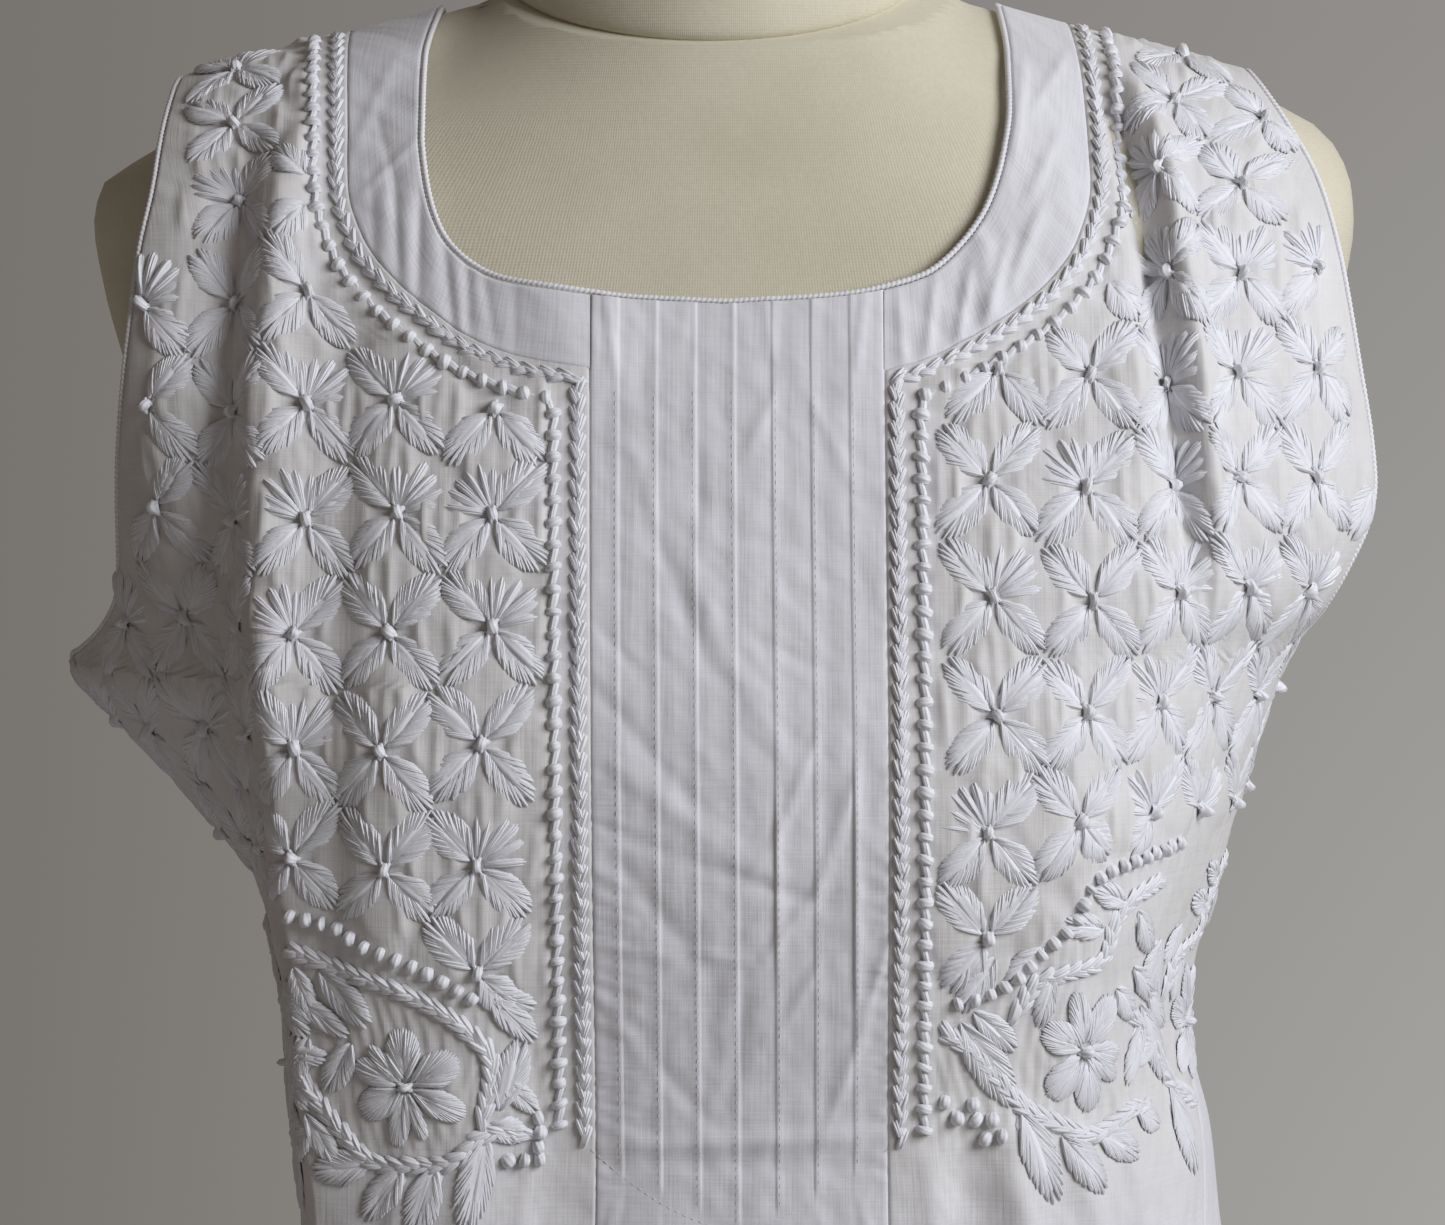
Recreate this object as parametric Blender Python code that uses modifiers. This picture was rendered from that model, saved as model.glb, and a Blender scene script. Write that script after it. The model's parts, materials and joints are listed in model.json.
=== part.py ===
"""A sleeveless cotton tunic worn on a padded dress form with a pole and a round base.

Metres, +Z up, front towards -Y, origin on the floor under the middle of the base.
The tunic hangs from the shoulders of the form. Every piece of its cloth is a wall
lofted over one shape, the worn shape, which is given by horizontal sections.
"""

import math

import bmesh
import bpy
import numpy as np
from mathutils import Vector

# Sizes of the cloth and its seams
WALL = 0.0015
SEAM_GAP = 0.0003
BINDING_RADIUS = 0.0012
BINDING_ROOM = 2 * BINDING_RADIUS + SEAM_GAP
HEM_HEIGHT = 0.022
HEM_FOLD = 0.0011
HEM_Z = 0.611

# Where the worn shape changes its sections
SIDE_Y = 0.005
LEVEL_Z = 1.300
LEVEL_STEP = 0.100
BLEND_POWER = 4.0
GORE_TOP_Z = 1.092
TUCKS_END_Z = 1.012

# Front panel of pintucks
TUCK_COUNT = 7
TUCK_PITCH = 0.0116
TUCK_HALF_WIDTH = 0.0012
TUCK_HEIGHT = 0.0009

# The dress form and its stand
FORM_BOTTOM_Z = 0.700
FORM_SIDES = 36
NECK_SIDES = 32
NECK_PLANE_Z = 1.379
NECK_PLANE_SLOPE = 0.384
NECK_CENTRE = (-0.004, 0.008)
POLE_RADIUS = 0.016
BASE_RADIUS = 0.190
BASE_HEIGHT = 0.014
BASE_EDGE = 0.004
BASE_FLAT_RADIUS = 0.130

# The worn shape of the cloth: half widths to each side, depths from SIDE_Y to the front and back,
# how flat the front is, how flat the back is, and how sharp the left and right sides are.
CLOTH_COLUMNS = ("z", "left", "right", "front", "back", "flat_front", "flat_back", "edge_left", "edge_right")
CLOTH_SECTIONS = (
    (1.3770, 0.066, 0.066, 0.0200, 0.0240, 2.2, 2.2, 0.50, 0.50),
    (1.3700, 0.087, 0.087, 0.0280, 0.0332, 2.2, 2.2, 0.50, 0.50),
    (1.3610, 0.120, 0.120, 0.0352, 0.0432, 2.2, 2.2, 0.50, 0.50),
    (1.3548, 0.146, 0.144, 0.0405, 0.0492, 2.2, 2.2, 0.50, 0.50),
    (1.3485, 0.168, 0.169, 0.0460, 0.0552, 2.2, 2.2, 0.50, 0.50),
    (1.3440, 0.180, 0.179, 0.0498, 0.0592, 2.2, 2.2, 0.50, 0.50),
    (1.3350, 0.192, 0.191, 0.0566, 0.0660, 2.2, 2.2, 0.48, 0.48),
    (1.3200, 0.201, 0.202, 0.0662, 0.0752, 2.2, 2.2, 0.46, 0.46),
    (1.3000, 0.205, 0.207, 0.0772, 0.0858, 2.3, 2.3, 0.45, 0.45),
    (1.2700, 0.205, 0.210, 0.0892, 0.0970, 2.4, 2.4, 0.45, 0.45),
    (1.2480, 0.204, 0.211, 0.0975, 0.1020, 2.5, 2.4, 0.47, 0.45),
    (1.2270, 0.203, 0.212, 0.1045, 0.1055, 2.5, 2.4, 0.50, 0.45),
    (1.2120, 0.203, 0.210, 0.1090, 0.1062, 2.6, 2.4, 0.55, 0.45),
    (1.1990, 0.204, 0.204, 0.1125, 0.1062, 2.6, 2.4, 0.60, 0.46),
    (1.1860, 0.206, 0.195, 0.1155, 0.1058, 2.6, 2.4, 0.66, 0.48),
    (1.1760, 0.207, 0.184, 0.1175, 0.1052, 2.6, 2.4, 0.70, 0.50),
    (1.1650, 0.207, 0.1755, 0.1202, 0.1040, 2.6, 2.4, 0.70, 0.50),
    (1.1510, 0.1955, 0.1705, 0.1224, 0.1020, 2.6, 2.4, 0.66, 0.50),
    (1.1370, 0.181, 0.166, 0.1238, 0.0998, 2.7, 2.3, 0.60, 0.50),
    (1.1180, 0.1635, 0.161, 0.1236, 0.0965, 2.7, 2.3, 0.54, 0.48),
    (1.1040, 0.151, 0.157, 0.1220, 0.0938, 2.6, 2.3, 0.50, 0.46),
    (1.0880, 0.1443, 0.1525, 0.1190, 0.0908, 2.6, 2.3, 0.47, 0.45),
    (1.0720, 0.1387, 0.1485, 0.1155, 0.0882, 2.5, 2.3, 0.45, 0.45),
    (1.0560, 0.1363, 0.1465, 0.1120, 0.0860, 2.5, 2.3, 0.45, 0.45),
    (1.0400, 0.1362, 0.148, 0.1090, 0.0842, 2.4, 2.3, 0.45, 0.45),
    (1.0170, 0.135, 0.1535, 0.1060, 0.0835, 2.4, 2.3, 0.45, 0.45),
    (0.9830, 0.1335, 0.1575, 0.1050, 0.0860, 2.3, 2.3, 0.46, 0.46),
    (0.9500, 0.142, 0.165, 0.1075, 0.0925, 2.3, 2.3, 0.46, 0.46),
    (0.9000, 0.164, 0.179, 0.1140, 0.1050, 2.2, 2.3, 0.46, 0.46),
    (0.8500, 0.181, 0.189, 0.1215, 0.1170, 2.2, 2.2, 0.47, 0.47),
    (0.8000, 0.193, 0.198, 0.1285, 0.1250, 2.2, 2.2, 0.48, 0.48),
    (0.7000, 0.211, 0.213, 0.1395, 0.1370, 2.1, 2.1, 0.49, 0.49),
    (0.6000, 0.227, 0.228, 0.1500, 0.1470, 2.1, 2.1, 0.50, 0.50),
)

# The dress form, in the same way. Its left shoulder slopes more than its right.
FORM_COLUMNS = ("z", "left", "right", "front", "back", "flat")
FORM_SECTIONS = (
    (1.4300, 0.058, 0.058, 0.0300, 0.0300, 2.0),
    (1.3900, 0.060, 0.060, 0.0200, 0.0240, 2.1),
    (1.3750, 0.068, 0.068, 0.0200, 0.0240, 2.2),
    (1.3690, 0.087, 0.087, 0.0270, 0.0320, 2.2),
    (1.3600, 0.119, 0.120, 0.0342, 0.0420, 2.2),
    (1.3538, 0.134, 0.141, 0.0392, 0.0480, 2.2),
    (1.3470, 0.146, 0.158, 0.0445, 0.0540, 2.2),
    (1.3390, 0.159, 0.177, 0.0510, 0.0602, 2.2),
    (1.3340, 0.167, 0.186, 0.0548, 0.0640, 2.2),
    (1.3260, 0.179, 0.1935, 0.0600, 0.0692, 2.2),
    (1.3150, 0.196, 0.198, 0.0668, 0.0755, 2.2),
    (1.3030, 0.199, 0.199, 0.0735, 0.0815, 2.3),
    (1.2830, 0.196, 0.196, 0.0812, 0.0895, 2.3),
    (1.2640, 0.191, 0.191, 0.0880, 0.0945, 2.4),
    (1.2400, 0.183, 0.183, 0.0955, 0.0985, 2.4),
    (1.2150, 0.173, 0.173, 0.1030, 0.0998, 2.5),
    (1.1900, 0.165, 0.165, 0.1100, 0.0990, 2.5),
    (1.1650, 0.1605, 0.1605, 0.1150, 0.0960, 2.5),
    (1.1300, 0.1530, 0.1530, 0.1170, 0.0900, 2.5),
    (1.1000, 0.1410, 0.1410, 0.1130, 0.0830, 2.4),
    (1.0700, 0.1300, 0.1300, 0.1030, 0.0760, 2.3),
    (1.0450, 0.1255, 0.1255, 0.0950, 0.0720, 2.3),
    (1.0150, 0.1235, 0.1235, 0.0905, 0.0710, 2.3),
    (0.9850, 0.1245, 0.1245, 0.0900, 0.0740, 2.3),
    (0.9550, 0.1310, 0.1310, 0.0925, 0.0800, 2.3),
    (0.9150, 0.1460, 0.1460, 0.0985, 0.0910, 2.2),
    (0.8750, 0.1600, 0.1600, 0.1045, 0.1010, 2.2),
    (0.8300, 0.1700, 0.1700, 0.1095, 0.1080, 2.2),
    (0.7800, 0.1735, 0.1735, 0.1115, 0.1090, 2.2),
    (0.7300, 0.1720, 0.1720, 0.1105, 0.1060, 2.2),
    (0.7000, 0.1680, 0.1680, 0.1080, 0.1030, 2.2),
)

# The root of the neck, which both the form and the cloth round it share
NECK_COLUMNS = ("z", "half", "front", "back")
NECK_SECTIONS = (
    (1.4300, 0.063, 0.0560, 0.0580),
    (1.4000, 0.065, 0.0575, 0.0620),
    (1.3850, 0.067, 0.0590, 0.0650),
    (1.3700, 0.076, 0.0600, 0.0690),
    (1.3540, 0.090, 0.0605, 0.0710),
    (1.3400, 0.104, 0.0585, 0.0710),
    (1.3200, 0.122, 0.0505, 0.0650),
    (1.3030, 0.135, 0.0400, 0.0540),
    (1.2830, 0.145, 0.0200, 0.0330),
    (1.2640, 0.150, 0.0010, 0.0010),
    (0.6000, 0.150, 0.0010, 0.0010),
)
NECK_CLEARANCE = 0.0010

# Edges of the pieces, as (x, z) seen from the front, x measured outwards from the middle.
# Each runs from the shoulder line down.
NECKLINE = {
    "left": ((0.087, 1.3700), (0.091, 1.3530), (0.091, 1.3310), (0.0895, 1.3160), (0.086, 1.3035),
             (0.079, 1.2942), (0.066, 1.2870), (0.037, 1.2825), (0.000, 1.2805)),
    "right": ((0.084, 1.3709), (0.086, 1.3560), (0.086, 1.3400), (0.084, 1.3250), (0.0795, 1.3100),
              (0.0715, 1.2980), (0.060, 1.2885), (0.035, 1.2827), (0.000, 1.2805)),
}
BAND_EDGE = {
    "left": ((0.117, 1.3619), (0.115, 1.3310), (0.1142, 1.3130), (0.109, 1.2975), (0.101, 1.2870),
             (0.0887, 1.2764), (0.0734, 1.2665), (0.056, 1.2607), (0.040, 1.2580)),
    "right": ((0.108, 1.3644), (0.1115, 1.3370), (0.112, 1.3160), (0.107, 1.2975), (0.0985, 1.2855),
              (0.0863, 1.2755), (0.0710, 1.2665), (0.059, 1.2610), (0.048, 1.2580)),
}
BACK_NECKLINE = ((0.087, 1.3700), (0.088, 1.3620), (0.085, 1.3540), (0.074, 1.3450), (0.050, 1.3385),
                 (0.000, 1.3360))
BACK_BAND_EDGE = ((0.114, 1.3627), (0.115, 1.3480), (0.112, 1.3350), (0.099, 1.3190), (0.066, 1.3080),
                  (0.000, 1.3040))
ARMHOLE = {
    "left": ((0.1725, 1.3468), (0.175, 1.3300), (0.1767, 1.3130), (0.180, 1.2940), (0.1826, 1.2700),
             (0.1846, 1.2485), (0.1863, 1.2270), (0.1868, 1.2120), (0.1870, 1.1990), (0.1882, 1.1880),
             (0.1938, 1.1775), (0.2068, 1.1650)),
    "right": ((0.1665, 1.3490), (0.175, 1.3350), (0.1855, 1.3145), (0.191, 1.2940), (0.1937, 1.2790),
              (0.1970, 1.2580), (0.2005, 1.2360), (0.2016, 1.2220), (0.1995, 1.2110), (0.1940, 1.1980),
              (0.1855, 1.1820), (0.1775, 1.1675)),
}
BACK_ARMHOLE = {
    "left": ((0.1725, 1.3468), (0.1770, 1.3350), (0.178, 1.3220), (0.172, 1.3000), (0.166, 1.2700),
             (0.164, 1.2400), (0.169, 1.2100), (0.183, 1.1870), (0.197, 1.1730), (0.2068, 1.1650)),
    "right": ((0.1665, 1.3490), (0.170, 1.3380), (0.169, 1.3220), (0.165, 1.3000), (0.160, 1.2700),
              (0.158, 1.2400), (0.160, 1.2100), (0.166, 1.1900), (0.1725, 1.1760), (0.1775, 1.1675)),
}
# Seams of the middle panel as (z, x of the left one, x of the right one), and a side gore's half width over z
PLACKET = ((1.290, -0.0400, 0.0480), (1.258, -0.0400, 0.0480), (1.130, -0.0390, 0.0486),
           (1.026, -0.0382, 0.0490), (0.950, -0.0400, 0.0510), (0.800, -0.0500, 0.0600),
           (0.600, -0.0640, 0.0730))
GORE_WIDTH = ((1.092, 0.0), (1.080, 0.009), (1.066, 0.017), (1.050, 0.024), (1.012, 0.034), (0.965, 0.042),
              (0.900, 0.051), (0.815, 0.062), (0.725, 0.074), (0.600, 0.090))

# Folds of the bodice: face, half width, height, and the line it runs along as (z, x) from the top down
LEFT_RIDGE = ((1.347, -0.131), (1.250, -0.1385), (1.120, -0.1390), (1.035, -0.1340))
LEFT_HOLLOW = ((1.335, -0.149), (1.250, -0.1540), (1.110, -0.1560))
RIGHT_HOLLOW = ((1.314, 0.1355), (1.190, 0.1425))
RIGHT_RIDGE = ((1.344, 0.1440), (1.180, 0.1510))
FOLDS = (
    ("front", 0.0080, 0.0065, LEFT_RIDGE),
    ("front", 0.0100, -0.0045, LEFT_HOLLOW),
    ("front", 0.0050, -0.0052, RIGHT_HOLLOW),
    ("front", 0.0060, 0.0052, RIGHT_RIDGE),
    ("front", 0.0050, 0.0022, ((1.350, 0.126), (1.205, 0.1340))),
    ("front", 0.0035, 0.0016, ((1.318, -0.095), (1.285, -0.1000))),
    ("front", 0.0035, 0.0014, ((1.300, -0.080), (1.268, -0.0860))),
    ("front", 0.0035, 0.0012, ((1.300, 0.078), (1.268, 0.0800))),
    ("front", 0.0120, 0.0018, ((1.180, -0.098), (1.030, -0.1020))),
    ("front", 0.0120, 0.0018, ((1.180, 0.100), (1.030, 0.1050))),
    ("back", 0.0120, 0.0040, ((1.320, -0.120), (1.120, -0.0900))),
    ("back", 0.0120, 0.0040, ((1.320, 0.120), (1.120, 0.0950))),
    ("back", 0.0110, 0.0045, ((1.160, -0.045), (0.980, -0.0500))),
    ("back", 0.0110, 0.0045, ((1.160, 0.050), (0.980, 0.0550))),
)
# Columns of the front panels that follow the sharp folds: a fold's line and how far beside it, outwards
FOLLOWED = {
    "left": ((LEFT_RIDGE, -0.0095), (LEFT_RIDGE, 0.0), (LEFT_RIDGE, 0.0090), (LEFT_HOLLOW, 0.0030)),
    "right": ((RIGHT_HOLLOW, -0.0080), (RIGHT_HOLLOW, 0.0), (RIGHT_RIDGE, 0.0), (RIGHT_RIDGE, 0.0090)),
}
# Folds of the skirt: angle round the body (0 in front, 90 at the right side), half width in degrees,
# height at the hem, and the z where they start
SKIRT_FOLDS = (
    (0, 9, -0.0078, 0.985), (19, 8, 0.0130, 1.010), (-17, 8, 0.0130, 1.010), (38, 7, -0.0078, 0.960),
    (-36, 7, -0.0091, 0.950), (54, 9, 0.0117, 0.960), (-52, 9, 0.0123, 0.970), (76, 8, -0.0052, 0.900),
    (-74, 8, -0.0052, 0.900), (96, 9, 0.0104, 0.960), (-98, 9, 0.0104, 0.960), (118, 8, -0.0065, 0.900),
    (-119, 8, -0.0065, 0.900), (138, 9, 0.0111, 0.980), (-140, 9, 0.0111, 0.980), (160, 8, -0.0065, 0.930),
    (-161, 8, -0.0065, 0.930), (180, 9, 0.0104, 0.985),
)
SKIRT_END_Z = 0.640


class Curve:
    """A smooth curve through given points, which never swings past them."""

    def __init__(self, at, values):
        order = np.argsort(at)
        self.at = np.array(at, float)[order]
        self.values = np.array(values, float)[order]
        step = np.diff(self.at)
        rise = np.diff(self.values) / step
        slope = np.zeros(len(self.at))
        slope[0], slope[-1] = rise[0], rise[-1]
        for i in range(1, len(rise)):
            if rise[i - 1] * rise[i] > 0:
                near, far = 2 * step[i] + step[i - 1], step[i] + 2 * step[i - 1]
                slope[i] = (near + far) / (near / rise[i - 1] + far / rise[i])
        self.slope = slope

    def __call__(self, at):
        at = np.clip(np.asarray(at, float), self.at[0], self.at[-1])
        i = np.clip(np.searchsorted(self.at, at, side="right") - 1, 0, len(self.at) - 2)
        step = self.at[i + 1] - self.at[i]
        t = (at - self.at[i]) / step
        start, end = self.values[i], self.values[i + 1]
        return (start * (1 + 2 * t) * (1 - t) ** 2 + self.slope[i] * step * t * (1 - t) ** 2
                + end * t * t * (3 - 2 * t) + self.slope[i + 1] * step * t * t * (t - 1))


def columns(names, rows):
    """Each named column of a table, as a smooth curve over z."""
    z = [row[0] for row in rows]
    return {name: Curve(z, [row[i] for row in rows]) for i, name in enumerate(names) if i}


CLOTH = columns(CLOTH_COLUMNS, CLOTH_SECTIONS)
FORM = columns(FORM_COLUMNS, FORM_SECTIONS)
NECK = columns(NECK_COLUMNS, NECK_SECTIONS)


def smooth_step(t):
    t = np.clip(t, 0, 1)
    return t * t * (3 - 2 * t)


def joined_depth(body, neck):
    """The body's depth and the neck's, run into each other."""
    return (np.maximum(body, 0) ** BLEND_POWER + np.maximum(neck, 0) ** BLEND_POWER) ** (1 / BLEND_POWER)


def neck_depth(x, z, face, clearance):
    half = NECK["half"](z) + clearance
    inside = np.maximum(1 - (np.abs(x) / half) ** 2, 0)
    return (NECK[face](z) + clearance) * np.sqrt(inside)


def cloth_depth(x, z, face):
    """How far the worn cloth stands in front of, or behind, SIDE_Y."""
    left = np.asarray(x) < 0
    half = np.where(left, CLOTH["left"](z), CLOTH["right"](z))
    edge = np.where(left, CLOTH["edge_left"](z), CLOTH["edge_right"](z))
    inside = np.maximum(1 - (np.abs(x) / half) ** CLOTH["flat_" + face](z), 0)
    return joined_depth(CLOTH[face](z) * inside ** edge, neck_depth(x, z, face, NECK_CLEARANCE))


def form_depth(x, z, face):
    half = np.where(np.asarray(x) < 0, FORM["left"](z), FORM["right"](z))
    inside = np.maximum(1 - (np.abs(x) / half) ** FORM["flat"](z), 0)
    return joined_depth(FORM[face](z) * np.sqrt(inside), neck_depth(x, z, face, 0))


def ridge_height(x):
    """The height of the cloth's shoulder line at x."""
    z = np.linspace(LEVEL_Z, CLOTH_SECTIONS[0][0], 400)
    found = [np.interp(np.abs(x), CLOTH[side](z)[::-1], z[::-1]) for side in ("left", "right")]
    return np.where(np.asarray(x) < 0, found[0], found[1])


def height_at(x, level):
    """Height of a row: level 0 is the shoulder line, 1 is LEVEL_Z, and each one more is LEVEL_STEP lower."""
    top = ridge_height(x)
    over = top - (top - LEVEL_Z) * (1 - np.cos(np.clip(level, 0, 1) * math.pi / 2))
    return np.where(np.asarray(level) < 1, over, LEVEL_Z - (np.asarray(level) - 1) * LEVEL_STEP)


def level_at(x, z):
    top = ridge_height(x)
    share = np.clip((top - z) / np.maximum(top - LEVEL_Z, 1e-6), 0, 1)
    over = np.arccos(1 - share) / (math.pi / 2)
    return np.where(np.asarray(z) > LEVEL_Z, over, 1 + (LEVEL_Z - np.asarray(z)) / LEVEL_STEP)


def line_x(line, z):
    """The x of a fold's line at a height."""
    heights = [place[0] for place in line][::-1]
    return np.interp(z, heights, [place[1] for place in line][::-1])


def fold_height(x, y, z):
    """How far the folds carry the cloth outwards."""
    x, y, z = np.broadcast_arrays(np.asarray(x, float), y, z)
    total = np.zeros(x.shape)
    behind = y > SIDE_Y
    for face, width, height, line in FOLDS:
        along = (line[0][0] - z) / (line[0][0] - line[-1][0])
        middle = line_x(line, z)
        fade = smooth_step(along / 0.20) * smooth_step((1 - along) / 0.25)
        side = behind if face == "back" else ~behind
        total = total + np.where(side, height * fade * np.exp(-(((x - middle) / width) ** 2)), 0)
    angle = np.degrees(np.arctan2(x, SIDE_Y - y))
    for centre, width, height, start in SKIRT_FOLDS:
        off = (angle - centre + 180) % 360 - 180
        fade = smooth_step((start - z) / (start - SKIRT_END_Z))
        total = total + height * fade * np.exp(-((off / width) ** 2))
    return total


def outward(x, y, z):
    """The direction that the worn shape faces at a point on it."""
    h = 2e-5
    face_back = np.asarray(y) > SIDE_Y

    def squared(px, pz):
        return np.where(face_back, cloth_depth(px, pz, "back"), cloth_depth(px, pz, "front")) ** 2

    gradient = np.stack([
        -(squared(x + h, z) - squared(x - h, z)) / (2 * h),
        2 * (np.asarray(y) - SIDE_Y),
        -(squared(x, z + h) - squared(x, z - h)) / (2 * h),
    ], axis=-1)
    return gradient / np.maximum(np.linalg.norm(gradient, axis=-1, keepdims=True), 1e-12)


def on_cloth(x, z, face):
    """Points on the worn shape, seen from the front or the back at x and z."""
    depth = cloth_depth(x, z, face)
    y = SIDE_Y + (depth if face == "back" else -depth)
    return np.stack(np.broadcast_arrays(x, y, z), axis=-1)


def length_along(points):
    return np.concatenate([[0], np.cumsum(np.linalg.norm(np.diff(points, axis=0), axis=1))])


def evenly(points, count, cut_start=0.0, cut_end=0.0):
    """Count points evenly along a line, after a length is cut from each end."""
    along = length_along(points)
    at = np.linspace(cut_start, along[-1] - cut_end, count)
    return np.stack([np.interp(at, along, points[:, i]) for i in range(3)], axis=1)


def pinned(points, cells, pins, cut_start, cut_end):
    """Points along a line, after a cut at each end, with some of them at given lengths along it."""
    along = length_along(points)
    stops = [cut_start] + list(pins) + [along[-1] - cut_end]
    at = [stops[0]]
    for count, low, high in zip(cells, stops, stops[1:]):
        at += [low + (high - low) * (n + 1) / count for n in range(count)]
    return np.stack([np.interp(at, along, points[:, i]) for i in range(3)], axis=1)


def with_folds(row, side, cut_in, cut_out):
    """Points along a row of a front panel, with columns on the sharp folds."""
    along = length_along(row)
    across, z = np.abs(row[:, 0]), row[:, 2].mean()
    pins = [float(np.interp(abs(line_x(line, z)) + beside, across, along)) for line, beside in FOLLOWED[side]]
    low, high = along[-1] * 0.10 + cut_in, along[-1] * 0.90 - cut_out
    apart = 0.002
    for n, pin in enumerate(pins):
        pins[n] = min(max(pin, low + n * apart), high - (len(pins) - 1 - n) * apart)
    return pinned(row, PANEL_CELLS, pins, cut_in, cut_out)


def edge_curve(points, count=241):
    """A piece's edge as a dense line of (x, z), smooth through its given points."""
    points = np.array(points, float)
    along = np.concatenate([[0], np.cumsum(np.linalg.norm(np.diff(points, axis=0), axis=1))])
    at = np.linspace(0, along[-1], count)
    return np.stack([Curve(along, points[:, 0])(at), Curve(along, points[:, 1])(at)], axis=1)


def edge_x(curve, z):
    """The x of an edge at a height, and how much longer than level the edge runs there."""
    order = np.argsort(curve[:, 1])
    heights, across = curve[order, 1], curve[order, 0]
    step = 0.0006
    run = np.interp(z + step, heights, across) - np.interp(z - step, heights, across)
    return float(np.interp(z, heights, across)), math.hypot(1, run / (2 * step))


class Cloth:
    """One piece of cloth: points on the worn shape joined by faces, then given a wall."""

    def __init__(self):
        self.points, self.relief, self.lining, self.index, self.faces = [], [], [], {}, []

    def point(self, place, relief=0.0, lining=0.0):
        key = tuple(round(float(c) * 1e6) for c in place)
        if key not in self.index:
            self.index[key] = len(self.points)
            self.points.append([float(c) for c in place])
            self.relief.append(relief)
            self.lining.append(lining)
        return self.index[key]

    def grid(self, rows, relief=None, flip=False):
        """Adds rows of points, each row as long as the next. Relief is raised on the outer side only."""
        made = []
        for i, row in enumerate(rows):
            made.append([self.point(place, 0.0 if relief is None else relief[i][j],
                                    HEM_FOLD if place[2] < HEM_Z + HEM_HEIGHT else 0.0)
                         for j, place in enumerate(row)])
        for upper, lower in zip(made, made[1:]):
            for j in range(len(upper) - 1):
                face = [upper[j], lower[j], lower[j + 1], upper[j + 1]]
                face = [v for n, v in enumerate(face) if v != face[n - 1]]
                if len(face) > 2:
                    self.faces.append(face[::-1] if flip else face)

    def wall(self, name, material):
        """Makes the closed wall: an inner face on the worn shape, an outer face and the cut edges."""
        place = np.array(self.points)
        facing = outward(place[:, 0], place[:, 1], place[:, 2])
        folded = place + facing * fold_height(place[:, 0], place[:, 1], place[:, 2])[:, None]
        inner = folded - facing * np.array(self.lining)[:, None]
        outer = folded + facing * (WALL + np.array(self.relief))[:, None]
        mesh = bmesh.new()
        inside = [mesh.verts.new(p) for p in inner]
        outside = [mesh.verts.new(p) for p in outer]
        edges = {}
        for face in self.faces:
            mesh.faces.new([outside[v] for v in face])
            mesh.faces.new([inside[v] for v in reversed(face)])
            for a, b in zip(face, face[1:] + face[:1]):
                edges[(a, b)] = edges.get((a, b), 0) + 1
        for a, b in edges:
            if (b, a) not in edges:
                mesh.faces.new([outside[b], outside[a], inside[a], inside[b]])
        bmesh.ops.recalc_face_normals(mesh, faces=mesh.faces)
        return finish_mesh(name, mesh, material)


def finish_mesh(name, mesh, material):
    data = bpy.data.meshes.new(name)
    mesh.to_mesh(data)
    mesh.free()
    data.shade_smooth()
    data.set_sharp_from_angle(angle=math.radians(50))
    data.materials.append(material)
    made = bpy.data.objects.new(name, data)
    COLLECTION.objects.link(made)
    return made


def make_material(name, colour, roughness, metallic=0.0):
    material = bpy.data.materials.new(name)
    material.use_nodes = True
    shader = material.node_tree.nodes["Principled BSDF"]
    shader.inputs["Base Color"].default_value = (*colour, 1)
    shader.inputs["Roughness"].default_value = roughness
    shader.inputs["Metallic"].default_value = metallic
    return material


# Rows of the panels: levels over the shoulder, then heights down to the hem
SHOULDER_LEVELS = (0.0035, 0.11, 0.24, 0.38, 0.54, 0.70, 0.85)
BAND_HEIGHTS = (1.300, 1.292, 1.284, 1.2765, 1.270, 1.265, 1.2612, 1.2580)
ARMHOLE_HEIGHTS = (1.246, 1.232, 1.219, 1.207, 1.196, 1.187, 1.179, 1.1735)
UNDERARM_DROP = 0.0050
SIDE_HEIGHTS = (1.149, 1.137, 1.122, 1.106, GORE_TOP_Z)
SKIRT_HEIGHTS = (1.0905, 1.080, 1.066, 1.050, 1.033, 1.012, 0.985, 0.950, 0.900, 0.845, 0.785, 0.725, 0.675,
                 HEM_Z + HEM_HEIGHT + 0.002, HEM_Z + HEM_HEIGHT - 0.002, HEM_Z)
PANEL_CELLS = (5, 1, 1, 1, 4)
BACK_COLUMNS = 9
DENSE = 160


def side_sign(side):
    return -1.0 if side == "left" else 1.0


def level_row(z, x_in, x_out, side, face, to_seam):
    """The section at height z from x_in outwards, to x_out or, with to_seam, round to the side seam."""
    half = float(CLOTH[side](z))
    flat = float(CLOTH["flat_" + face](z))
    x_end = half if to_seam else x_out
    turn = np.linspace(math.asin(min(1, (x_in / half) ** (flat / 2))),
                       math.asin(min(1, (x_end / half) ** (flat / 2))), DENSE)
    row = on_cloth(side_sign(side) * half * np.sin(turn) ** (2 / flat), np.full(DENSE, z), face)
    if to_seam:
        row = row[np.abs(row[:, 1] - SIDE_Y) > SEAM_GAP / 2]
        last = row[-1].copy()
        last[1] = SIDE_Y + (SEAM_GAP / 2 if face == "back" else -SEAM_GAP / 2)
        last[0] = side_sign(side) * half
        row = np.vstack([row, last])
    return row


def shoulder_row(level, x_in, x_out, side, face):
    x = side_sign(side) * np.linspace(x_in, x_out, DENSE)
    return on_cloth(x, height_at(x, level), face)


def edge_on_level(curve, level, side):
    """Where an edge crosses a row over the shoulder."""
    x = float(curve[0, 0])
    for _ in range(12):
        z = float(height_at(side_sign(side) * x, level))
        x, longer = edge_x(curve, z)
    return x, longer


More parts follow.
